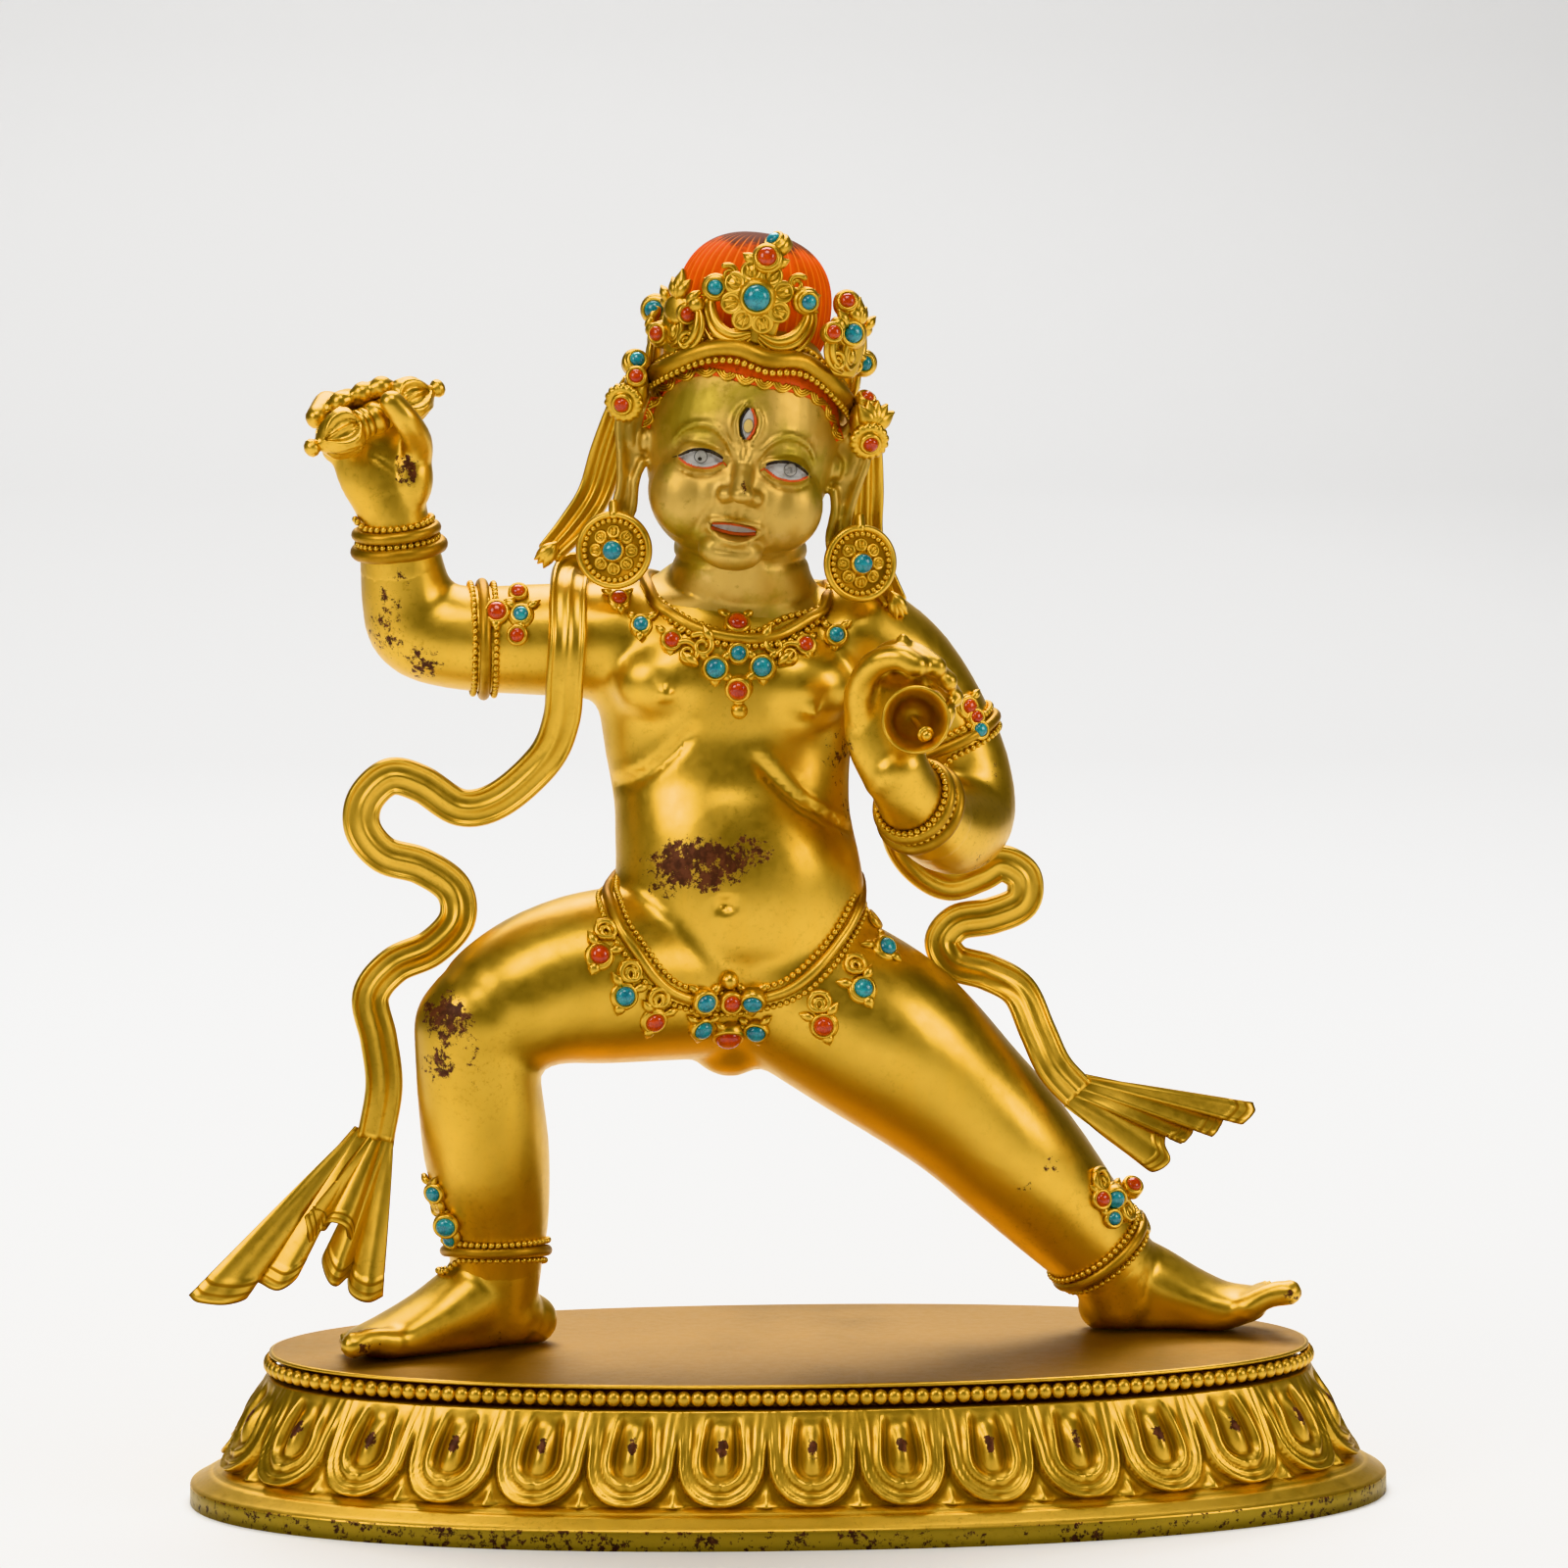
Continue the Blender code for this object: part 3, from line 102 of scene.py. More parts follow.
RIGHT_ARM = (
    (-36.0, 1.0, 145.0, 12.3, 12.3), (-51.5, 2.0, 145.1, 11.4, 11.4),
    (-65.4, 4.0, 145.3, 10.8, 10.8), (-75.4, 5.0, 147.3, 10.3, 10.3),
    (-78.0, 4.6, 153.0, 9.6, 9.6), (-79.3, 3.0, 160.0, 8.6, 8.6),
    (-80.9, 0.0, 170.1, 7.0, 6.6), (-81.6, -1.0, 176.0, 7.4, 5.6))
RIGHT_PALM = (
    (-81.6, -1.0, 173.0, 7.4, 5.4), (-83.0, -1.5, 179.0, 9.2, 4.8), (-84.6, -1.0, 186.5, 9.8, 4.0))
LEFT_ARM = (
    (14.0, 0.5, 145.0, 12.3, 12.3), (21.5, 0.8, 139.5, 11.8, 11.8),
    (28.0, 3.0, 131.4, 11.3, 11.3), (34.2, 4.0, 119.2, 10.9, 10.9),
    (36.2, 2.0, 109.5, 10.3, 10.3), (33.0, -6.0, 106.8, 9.8, 9.8),
    (27.5, -15.0, 109.0, 8.8, 8.8), (21.5, -26.0, 115.5, 7.0, 6.8), (18.6, -30.0, 120.5, 6.6, 5.8))
LEFT_PALM = (
    (18.4, -29.5, 119.0, 6.4, 5.2), (16.5, -29.5, 127.0, 8.0, 4.8), (16.5, -29.0, 136.0, 8.4, 4.2))


class Shell:
    """Skins gathered into one mesh."""

    def __init__(self):
        self.points = []
        self.faces = []
        self.tags = []

    def add(self, skin, tag=0):
        start = len(self.points)
        points, faces = skin
        self.points.extend(tuple(p) for p in points)
        self.faces.extend(tuple(int(i) + start for i in face) for face in faces)
        self.tags.extend([tag] * len(faces))
        return self

    def add_all(self, skins, tag=0):
        for skin in skins:
            self.add(skin, tag)
        return self


def unit(vector):
    vector = np.asarray(vector, dtype=float)
    return vector / max(np.linalg.norm(vector), 1e-12)


def smoothstep(low, high, value):
    t = np.clip((np.asarray(value, float) - low) / (high - low), 0.0, 1.0)
    return t * t * (3 - 2 * t)


def bump(value, centre, width):
    """Smooth ridge of height one at centre."""
    return np.exp(-((np.asarray(value, float) - centre) / width) ** 2)


def circle(count):
    """Angles spaced evenly round a full turn."""
    return np.linspace(0, 2 * pi, count, endpoint=False)


def square_to(way, axis):
    """Unit vector along way, made square to a unit axis."""
    return unit(np.asarray(way, float) - np.dot(way, axis) * axis)


def run_along(points):
    """Distance walked along a line at each of its points."""
    return np.concatenate(([0], np.cumsum(np.linalg.norm(np.diff(points, axis=0), axis=1))))


def directions(rows):
    """Unit directions along a line at each of its points."""
    ways = np.gradient(rows, axis=0)
    return ways / np.linalg.norm(ways, axis=1)[:, None]


def grid_faces(lines, columns):
    """Faces of a thin closed skin: a front grid, a back grid and the rim between them."""
    size = lines * columns
    faces = []
    for i in range(lines - 1):
        for j in range(columns - 1):
            a = i * columns + j
            faces.append((a, a + 1, a + columns + 1, a + columns))
            faces.append((size + a, size + a + columns, size + a + columns + 1, size + a + 1))
    rim = (list(range(columns)) + [i * columns + columns - 1 for i in range(1, lines)]
           + [size - 1 - j for j in range(1, columns)] + [i * columns for i in range(lines - 2, 0, -1)])
    return faces + [(b, a, size + a, size + b) for a, b in zip(rim, rim[1:] + rim[:1])]


def flowing(stations, steps):
    """Stations joined by a smooth curve that passes through each of them."""
    rows = np.asarray(stations, dtype=float)
    padded = np.vstack((2 * rows[0] - rows[1], rows, 2 * rows[-1] - rows[-2]))
    out = []
    for i in range(len(rows) - 1):
        a, b, c, d = padded[i:i + 4]
        for t in np.arange(steps) / steps:
            out.append(0.5 * (2 * b + (c - a) * t + (2 * a - 5 * b + 4 * c - d) * t * t
                              + (3 * b - 3 * c + d - a) * t ** 3))
    out.append(rows[-1])
    return np.array(out)


def stitch(rings, closed=True):
    """Skin over rings with equal point counts, closed by a fan at each end."""
    rings = np.asarray(rings, float)
    rows, count = rings.shape[:2]
    start = np.arange(rows - 1)[:, None] * count + np.arange(count)[None, :]
    nxt = np.arange(rows - 1)[:, None] * count + (np.arange(count)[None, :] + 1) % count
    faces = np.stack((start, nxt, nxt + count, start + count), axis=-1).reshape(-1, 4).tolist()
    if closed:
        faces.append(list(range(count - 1, -1, -1)))
        faces.append(list(range((rows - 1) * count, rows * count)))
    return rings.reshape(-1, 3), faces


def tube(stations, facing=(0, 1, 0), steps=6, sides=28, caps=5):
    """Swept limb with an oval section; the second half-width lies along facing."""
    rows = flowing(stations, steps)
    rows[:, 3:] = np.maximum(rows[:, 3:], 0.05)
    centres = rows[:, :3]
    tangents = np.gradient(centres, axis=0)
    turns = circle(sides)
    rings = []

    def ring(centre, tangent, wide, thick):
        along = unit(tangent)
        second = square_to(facing, along)
        first = np.cross(second, along)
        rings.append(centre + wide * np.cos(turns)[:, None] * first + thick * np.sin(turns)[:, None] * second)

    for end, order in ((0, range(caps)), (-1, reversed(range(caps)))):
        if end == -1:
            for centre, tangent, row in zip(centres, tangents, rows):
                ring(centre, tangent, row[3], row[4])
        reach = min(rows[end, 3:])
        sign = -1.0 if end == 0 else 1.0
        for k in order:
            angle = pi / 2 * (k + 0.25) / caps
            ring(centres[end] + sign * unit(tangents[end]) * reach * cos(angle), tangents[end],
                 rows[end, 3] * sin(angle), rows[end, 4] * sin(angle))
    return stitch(rings)


def blob(centre, radii, place=None, sides=28, rings=16):
    """Closed ellipsoid, moved by place when it sits in another frame."""
    angles = pi * np.arange(1, rings) / rings
    turns = circle(sides)
    x = centre[0] + radii[0] * np.sin(angles)[:, None] * np.cos(turns)
    y = centre[1] + radii[1] * np.sin(angles)[:, None] * np.sin(turns)
    z = centre[2] - radii[2] * np.cos(angles)[:, None] * np.ones_like(turns)
    points = np.stack((x, y, z), axis=-1)
    if place is not None:
        points = np.array([[place(p) for p in row] for row in points])
    return stitch(points)


def pearl(centre, radii, up, along, sides=8, rings=6):
    """Small bead with its own axes."""
    up, along = unit(up), unit(along)
    out = np.cross(up, along)
    angles = pi * np.arange(0.35, rings) / (rings - 0.3)
    turns = circle(sides)
    local = np.stack((np.sin(angles)[:, None] * np.cos(turns), np.sin(angles)[:, None] * np.sin(turns),
                      -np.cos(angles)[:, None] * np.ones_like(turns)), axis=-1)
    points = (np.asarray(centre) + local[..., :1] * radii[0] * along + local[..., 1:2] * radii[1] * out
              + local[..., 2:] * radii[2] * up)
    return stitch(points)


def roll(points, radius, sides=12, flat=1.0):
    """Closed loop of round wire through the points; flat squeezes it towards the loop."""
    points = np.asarray(points, float)
    turns = circle(sides)
    along = np.roll(points, -1, axis=0) - np.roll(points, 1, axis=0)
    along /= np.linalg.norm(along, axis=1)[:, None]
    outward = points - points.mean(axis=0)
    outward -= (outward * along).sum(axis=1)[:, None] * along
    outward /= np.linalg.norm(outward, axis=1)[:, None]
    side = np.cross(along, outward)
    verts = (points[:, None, :] + radius * flat * np.cos(turns)[None, :, None] * outward[:, None, :]
             + radius * np.sin(turns)[None, :, None] * side[:, None, :])
    count = len(points)
    faces = []
    for i in range(count):
        n = (i + 1) % count
        for j in range(sides):
            k = (j + 1) % sides
            faces.append((i * sides + j, n * sides + j, n * sides + k, i * sides + k))
    return verts.reshape(-1, 3), faces


def turned(profile, origin, axis, sides=24, lobes=None):
    """Turned solid; the profile gives radius and height, lobes may flute a row."""
    axis = unit(axis)
    first = unit(np.cross(axis, (0.13, 0.21, 1.0)))
    second = np.cross(axis, first)
    turns = circle(sides)
    rings = []
    for number, (radius, height) in enumerate(profile):
        reach = radius * (lobes(turns, number) if lobes else np.ones_like(turns))
        rings.append(np.asarray(origin) + axis * height
                     + reach[:, None] * (np.cos(turns)[:, None] * first + np.sin(turns)[:, None] * second))
    return stitch(rings)


def spaced(points, pitch):
    """Points and directions spaced evenly along a closed line."""
    points = np.asarray(points, float)
    ring = np.vstack((points, points[:1]))
    run = run_along(ring)
    count = max(3, int(round(run[-1] / pitch)))
    marks = (np.arange(count) + 0.5) * run[-1] / count
    spots = np.stack([np.interp(marks, run, ring[:, k]) for k in range(3)], axis=1)
    ahead = np.stack([np.interp((marks + pitch * 0.2) % run[-1], run, ring[:, k]) for k in range(3)], axis=1)
    return spots, ahead - spots


def pearls(points, pitch, radius, squash=1.0, sides=8, rings=6):
    """Row of beads along a closed line."""
    spots, ways = spaced(points, pitch)
    middle = spots.mean(axis=0)
    out = []
    for spot, way in zip(spots, ways):
        outward = spot - middle
        up = np.cross(unit(way), unit(outward))
        out.append(pearl(spot, (pitch * 0.5 * squash, radius, radius), up, way, sides, rings))
    return out


def on_head(x, y, z):
    """A place given across, back and up from the middle of the head."""
    across = np.array((cos(HEAD_ROLL), 0.0, -sin(HEAD_ROLL)))
    up = np.array((sin(HEAD_ROLL), 0.0, cos(HEAD_ROLL)))
    turned_x = x * cos(HEAD_YAW) + y * sin(HEAD_YAW)
    turned_y = -x * sin(HEAD_YAW) + y * cos(HEAD_YAW)
    return HEAD_CENTRE + across * turned_x + np.array((0.0, 1.0, 0.0)) * turned_y + up * z


def head_way(x, y, z):
    """Direction given in the head's own axes."""
    return unit(on_head(x, y, z) - on_head(0, 0, 0))


def head_tube(stations, **options):
    rows = [tuple(on_head(*row[:3])) + tuple(row[3:]) for row in stations]
    return tube(rows, **options)


def head_blob(centre, radii, **options):
    return blob(centre, radii, place=lambda p: on_head(*p), **options)


def to_head(points):
    """Places in the head's own axes: across, back and up."""
    away = np.asarray(points, float) - HEAD_CENTRE
    across = away[:, 0] * cos(HEAD_ROLL) - away[:, 2] * sin(HEAD_ROLL)
    up = away[:, 0] * sin(HEAD_ROLL) + away[:, 2] * cos(HEAD_ROLL)
    back = away[:, 1]
    return np.stack((across * cos(HEAD_YAW) - back * sin(HEAD_YAW),
                     across * sin(HEAD_YAW) + back * cos(HEAD_YAW), up), axis=1)


def mesh_object(name, points, faces, materials, tags=None, smooth=True):
    """Object from points in figure units."""
    mesh = bpy.data.meshes.new(name)
    places = np.asarray(points, float) * UNIT + np.array((0.0, 0.0, GROUND))
    mesh.from_pydata(places.tolist(), [], faces)
    for material in materials:
        mesh.materials.append(material)
    if tags is not None:
        mesh.polygons.foreach_set("material_index", np.asarray(tags, dtype=np.int32))
    mesh.polygons.foreach_set("use_smooth", [smooth] * len(mesh.polygons))
    mesh.update()
    item = bpy.data.objects.new(name, mesh)
    bpy.context.scene.collection.objects.link(item)
    return item


def shell_object(name, shell, materials):
    return mesh_object(name, shell.points, shell.faces, materials, shell.tags)


def settle(item):
    """Replace the mesh by what its modifiers make of it."""
    graph = bpy.context.evaluated_depsgraph_get()
    graph.update()
    mesh = bpy.data.meshes.new_from_object(item.evaluated_get(graph), depsgraph=graph)
    item.modifiers.clear()
    item.data = mesh


def fused(skins, voxel, relax):
    """Points and faces of one skin over all the closed skins, in figure units."""
    shell = Shell().add_all(skins)
    item = mesh_object("fusing", shell.points, shell.faces, [])
    step = item.modifiers.new("fuse", "REMESH")
    step.mode = "VOXEL"
    step.voxel_size = voxel * UNIT
    if relax:
        step = item.modifiers.new("relax", "SMOOTH")
        step.factor = 0.5
        step.iterations = relax
    settle(item)
    points, faces = numbers_of(item.data)
    bpy.data.objects.remove(item)
    return points, faces


def read(items, key, width=1, kind=float):
    """One property of many mesh elements, as rows of numbers."""
    values = np.empty(len(items) * width, dtype=kind)
    items.foreach_get(key, values)
    return values.reshape(-1, width) if width > 1 else values


def numbers_of(mesh):
    places = (read(mesh.vertices, "co", 3) - np.array((0.0, 0.0, GROUND))) / UNIT
    faces = read(mesh.loops, "vertex_index", kind=np.int32)
    sizes = read(mesh.polygons, "loop_total", kind=np.int32)
    if (sizes == 4).all():
        return places, faces.reshape(-1, 4)
    return places, [tuple(part) for part in np.split(faces, np.cumsum(sizes)[:-1])]


def vertex_normals(points, quads):
    """Normals of the points of a quad mesh."""
    a, b, c, d = (points[quads[:, k]] for k in range(4))
    flat = np.cross(c - a, d - b)
    out = np.zeros_like(points)
    for k in range(4):
        for axis in range(3):
            out[:, axis] += np.bincount(quads[:, k], weights=flat[:, axis], minlength=len(points))
    return out / np.maximum(np.linalg.norm(out, axis=1), 1e-12)[:, None]


def edge_mean(values, ends):
    """Average of each point's neighbours along the edges, for rows of numbers."""
    count = np.bincount(ends.ravel(), minlength=len(values))
    total = [sum(np.bincount(ends[:, a], weights=column[ends[:, 1 - a]],
                             minlength=len(values)) for a in (0, 1))
             for column in values.T]
    return np.stack(total, axis=1) / np.maximum(count, 1)[:, None]


def neighbour_mean(values, quads, passes=1):
    """Average of each point's neighbours, repeated."""
    ends = np.concatenate([quads[:, (k, (k + 1) % 4)] for k in range(4)])
    work = np.asarray(values, float).reshape(len(values), -1)
    for _ in range(passes):
        work = edge_mean(work, ends)
    return work if np.ndim(values) > 1 else work[:, 0]


def hollowness(points, quads, size):
    """How deep each point lies in a groove, from -1 on sharp edges to 1."""
    normals = vertex_normals(points, quads)
    out = np.zeros(len(points))
    for passes, weight in ((2, 0.5), (8, 0.5)):
        mean = neighbour_mean(points, quads, passes)
        out += weight * ((mean - points) * normals).sum(axis=1) / (size * passes ** 0.75)
    return np.clip(neighbour_mean(out, quads, 1) * 3.5, -1.0, 1.0)


def line_distance(points, line, reach):
    """Distance of each point from a line of points, up to reach."""
    best = np.full(len(points), reach * 4.0)
    share = np.zeros(len(points))
    line = np.asarray(line, float)
    low, high = line.min(axis=0) - reach, line.max(axis=0) + reach
    near = np.nonzero(((points > low) & (points < high)).all(axis=1))[0]
    spots = points[near]
    distance = np.full(len(near), reach * 4.0)
    along = np.zeros(len(near))
    for k in range(len(line) - 1):
        start, way = line[k], line[k + 1] - line[k]
        t = np.clip((spots - start) @ way / max(way @ way, 1e-9), 0.0, 1.0)
        gap = np.linalg.norm(spots - start - t[:, None] * way, axis=1)
        closer = gap < distance
        distance[closer] = gap[closer]
        along[closer] = (k + t[closer]) / (len(line) - 1)
    best[near] = distance
    share[near] = along
    return best, share


def carve(points, normals, line, width, depth, taper=True):
    """Press a soft groove, or raise a ridge when depth is negative, along a line."""
    distance, along = line_distance(points, line, width * 3.5)
    shape = np.exp(-(distance / width) ** 2)
    if taper:
        shape *= np.clip(np.minimum(along, 1 - along) * 6.0, 0.0, 1.0) ** 0.6
    return points - normals * (depth * shape)[:, None]


def search_tree(points, faces):
    return BVHTree.FromPolygons([Vector(p) for p in points], [tuple(int(i) for i in f) for f in faces])


def lay(tree, points, lift):
    """Points moved onto the surface and lifted off it."""
    out = []
    for point in points:
        spot, normal, _, _ = tree.find_nearest(Vector(point))
        out.append(np.array(spot + normal * lift))
    return np.array(out)


def seen_from_front(tree, x, z, start=-90.0):
    """Where a straight look from the front meets the surface, and the lie of it."""
    spot, normal, _, _ = tree.ray_cast(Vector((x, start, z)), Vector((0, 1, 0)))
    if spot is None:
        spot, normal, _, _ = tree.find_nearest(Vector((x, -12.0, z)))
    return np.array(spot), np.array(normal)


def relax_line(points, passes):
    points = np.asarray(points, float)
    for _ in range(passes):
        points = (np.roll(points, 1, axis=0) + points * 2 + np.roll(points, -1, axis=0)) / 4
    return points


# Materials


def fresh_material(name):
    material = bpy.data.materials.get(name)
    if material:
        bpy.data.materials.remove(material)
    material = bpy.data.materials.new(name)
    material.use_nodes = True
    material.node_tree.nodes.clear()
    return material


class Graph:
    """Short hand for the nodes of one material."""

    def __init__(self, name):
        self.material = fresh_material(name)
        self.tree = self.material.node_tree
        self.shader = self.add("ShaderNodeBsdfPrincipled")
        output = self.add("ShaderNodeOutputMaterial")
        self.join(self.shader.outputs[0], output.inputs["Surface"])
        self.coordinate = self.add("ShaderNodeTexCoord").outputs["Object"]

    def add(self, kind, **values):
        node = self.tree.nodes.new(kind)
        for key, value in values.items():
            setattr(node, key, value)
        return node

    def join(self, start, end):
        self.tree.links.new(start, end)

    def feed(self, socket, value):
        if hasattr(value, "links"):
            self.join(value, socket)
        else:
            socket.default_value = value

    def noise(self, scale, detail=4.0, roughness=0.55, stretch=None):
        node = self.add("ShaderNodeTexNoise")
        node.inputs["Scale"].default_value = scale
        node.inputs["Detail"].default_value = detail
        node.inputs["Roughness"].default_value = roughness
        if stretch:
            mapping = self.add("ShaderNodeMapping")
            mapping.inputs["Scale"].default_value = stretch
            self.join(self.coordinate, mapping.inputs["Vector"])
            self.join(mapping.outputs[0], node.inputs["Vector"])
        else:
            self.join(self.coordinate, node.inputs["Vector"])
        return node.outputs["Fac"]

    def math(self, operation, a, b=0.0):
        node = self.add("ShaderNodeMath", operation=operation)
        for socket, value in zip(node.inputs, (a, b)):
            self.feed(socket, value)
        return node.outputs[0]

    def plus(self, a, b):
        return self.math("ADD", a, b)

    def less(self, a, b):
        return self.math("SUBTRACT", a, b)

    def times(self, a, b):
        return self.math("MULTIPLY", a, b)

    def swing(self, noise, reach):
        """Noise made to swing evenly about zero."""
        return self.times(self.less(noise, 0.5), reach)

    def span(self, value, low, high, start=0.0, end=1.0):
        node = self.add("ShaderNodeMapRange", interpolation_type="SMOOTHSTEP")
        self.feed(node.inputs[0], value)
        for socket, number in zip(node.inputs[1:5], (low, high, start, end)):
            socket.default_value = number
        return node.outputs[0]

    def mix(self, share, first, second):
        node = self.add("ShaderNodeMix", data_type="RGBA")
        self.feed(node.inputs[0], share)
        for socket, colour in ((node.inputs[6], first), (node.inputs[7], second)):
            self.feed(socket, colour if hasattr(colour, "links") else (*colour[:3], 1.0))
        return node.outputs[2]

    def attribute(self, name):
        return self.add("ShaderNodeAttribute", attribute_name=name).outputs["Fac"]

    def bump(self, height, strength, distance=0.0004):
        node = self.add("ShaderNodeBump")
        node.inputs["Strength"].default_value = strength
        node.inputs["Distance"].default_value = distance
        self.feed(node.inputs["Height"], height)
        self.join(node.outputs[0], self.shader.inputs["Normal"])

    def set(self, **values):
        for key, value in values.items():
            self.feed(self.shader.inputs[key.replace("_", " ")],
                      (*value, 1.0) if isinstance(value, tuple) else value)
        return self.material


def shade(colour, factors):
    """Colour made lighter or darker by one factor, or by one for each channel."""
    return tuple(float(c) for c in np.multiply(colour, factors))


def gilding(name, gold, recess, worn, roughness=0.3, recess_from=0.10, recess_to=0.55):
    """Fire gilding over copper: bright on high places, orange-brown patina with painted shade in grooves,
    darker painted shade in the deepest places, dark where rubbed through.
    """
    g = Graph(name)
    hollow = g.attribute("hollow")
    rubbed = g.attribute("rubbed")
    matt = g.attribute("matt")
    cloud = g.noise(26.0, 3.0)
    speck = g.noise(420.0, 5.0, 0.65)
    fine = g.noise(1900.0, 3.0, 0.6)
    brush = g.noise(160.0, 4.0, 0.6, (1.0, 1.0, 0.22))
    olive = g.mix(g.span(cloud, 0.42, 0.75, 0.0, 0.6), gold, shade(gold, (0.68, 0.68, 0.60)))
    tone = g.mix(g.span(brush, 0.45, 0.75, 0.0, 0.3), olive, shade(gold, (1.05, 0.97, 0.80)))
    depth = g.plus(hollow, g.swing(speck, 0.16))
    depth_share = g.span(depth, recess_from, recess_to)
    # Grooves and places where pieces meet turn to the patina colour: partly real patina, partly painted
    # shade.
    tone = g.mix(depth_share, tone, recess)
    # The deepest places go darker still: painted shade.
    tone = g.mix(g.span(depth, recess_to, recess_to + 0.6, 0.0, 0.75), tone, shade(recess, 0.35))
    stain = g.times(g.span(g.noise(900.0, 6.0, 0.75), 0.50, 0.72),
                    g.span(g.noise(48.0, 3.0), 0.42, 0.68, 0.15, 0.9))
    tone = g.mix(g.times(stain, 0.60), tone, shade(gold, (0.42, 0.34, 0.28)))
    cold = g.mix(g.span(g.noise(60.0, 5.0, 0.6), 0.46, 0.66), (0.60, 0.40, 0.12), (0.36, 0.27, 0.05))
    cold = g.mix(g.span(g.noise(300.0, 8.0, 0.75), 0.56, 0.70, 0.0, 0.55), cold, (0.20, 0.14, 0.03))
    cold = g.mix(g.span(g.noise(90.0, 4.0, 0.6), 0.62, 0.72, 0.0, 0.5), cold, (0.80, 0.58, 0.22))
    tone = g.mix(g.times(matt, 0.88), tone, cold)
    patch = g.plus(rubbed, g.swing(g.noise(620.0, 9.0, 0.75), 1.9))
    patch = g.plus(patch, g.swing(g.noise(120.0, 6.0, 0.7), 0.7))
    bare = g.times(g.span(patch, 0.50, 0.56), g.span(rubbed, 0.02, 0.2))
    blotch = g.mix(g.span(g.noise(700.0, 3.0), 0.4, 0.65), worn, shade(worn, 2.2))
    tone = g.mix(bare, tone, blotch)
    rough = g.span(speck, 0.3, 0.7, roughness - 0.03, roughness + 0.04)
    rough = g.plus(rough, g.times(matt, 0.12))
    rough = g.plus(rough, g.times(depth_share, 0.14))
    rough = g.plus(rough, g.times(bare, 0.16))
    relief = g.plus(g.times(speck, 0.5), g.times(fine, 0.25))
    relief = g.less(relief, g.times(bare, 0.5))
    g.bump(relief, 0.09, 0.0003)
    metal = g.less(g.less(1.0, g.times(matt, 0.12)), g.times(bare, 0.7))
    return g.set(Base_Color=tone, Roughness=rough, Metallic=metal)


def paint(name, colour, dark, roughness=0.55, scale=300.0):
    """Thin mineral paint with worn, darker spots."""
    g = Graph(name)
    spots = g.noise(scale, 6.0, 0.7)
    broad = g.noise(scale * 0.15, 3.0)
    tone = g.mix(g.span(spots, 0.48, 0.72), colour, dark)
    tone = g.mix(g.span(broad, 0.45, 0.8, 0.0, 0.35), tone, dark)
    g.bump(spots, 0.12, 0.0002)
    return g.set(Base_Color=tone, Roughness=g.span(spots, 0.3, 0.7, roughness - 0.08, roughness + 0.1))


def combed_hair(colour):
    """Orange paint with lighter combed lines, browned towards the crown."""
    g = Graph("combed_hair")
    strand = g.attribute("strand")
    dusk = g.plus(g.attribute("dusk"), g.swing(g.noise(240.0, 6.0, 0.7), 1.3))
    tone = g.mix(g.span(g.noise(150.0, 4.0), 0.4, 0.7, 0.0, 0.5), colour, shade(colour, 0.6))
    tone = g.mix(g.span(dusk, 0.35, 0.75, 0.0, 0.9), tone, (0.055, 0.022, 0.010))
    tone = g.mix(g.span(strand, 0.35, 0.8, 0.0, 0.75), tone, (0.95, 0.22, 0.02))
    g.bump(g.noise(500.0, 4.0), 0.12, 0.0002)
    return g.set(Base_Color=tone, Roughness=0.7, Specular_IOR_Level=0.15)


def gemstone(name, colour, vein, deep, roughness=0.22):
    """Polished opaque stone with cloudy colour and darker veins."""
    g = Graph(name)
    cloud = g.noise(330.0, 4.0, 0.6)
    veins = g.noise(620.0, 6.0, 0.72)
    tone = g.mix(g.span(cloud, 0.35, 0.7), colour, deep)
    line = g.less(1.0, g.span(g.math("ABSOLUTE", g.less(veins, 0.5)), 0.0, 0.035))
    tone = g.mix(g.times(line, 0.65), tone, vein)
    g.bump(veins, 0.05, 0.0002)
    return g.set(Base_Color=tone, Roughness=roughness, Coat_Weight=0.35, Coat_Roughness=0.12)


def give_values(item, **layers):
    """Numbers kept at the points for the material to read."""
    for key, values in layers.items():
        layer = item.data.attributes.get(key) or item.data.attributes.new(key, "FLOAT", "POINT")
        layer.data.foreach_set("value", np.asarray(values, dtype=np.float32))


# Body


def toes(ball, ahead, lift, big_side):
    """Five toes fanned from the ball of a foot; the big toe lies on big_side."""
    ahead = unit(ahead)
    across = np.cross((0, 0, 1), ahead) * big_side
    out = []
    for k in range(5):
        offset = 6.6 - 3.35 * k
        radius = 2.9 if k == 0 else 2.2 - 0.12 * k
        start = np.asarray(ball) + across * offset + np.array((0, 0, radius - 1.5))
        tip = start + ahead * (9.0 - 0.9 * k) + across * 0.5 + np.array((0, 0, lift))
        middle = (start + tip) / 2 + np.array((0, 0, 0.8))
        out.append(tube([(*start, radius, radius), (*middle, radius * 0.9, radius * 0.92),
                         (*tip, radius * 0.98, radius * 0.92)], sides=18, steps=6))
    return out


def finger(stations, radius):
    widths = np.linspace(radius, radius * 0.82, len(stations))
    return tube([(*p, w, w) for p, w in zip(stations, widths)], sides=20, steps=7)


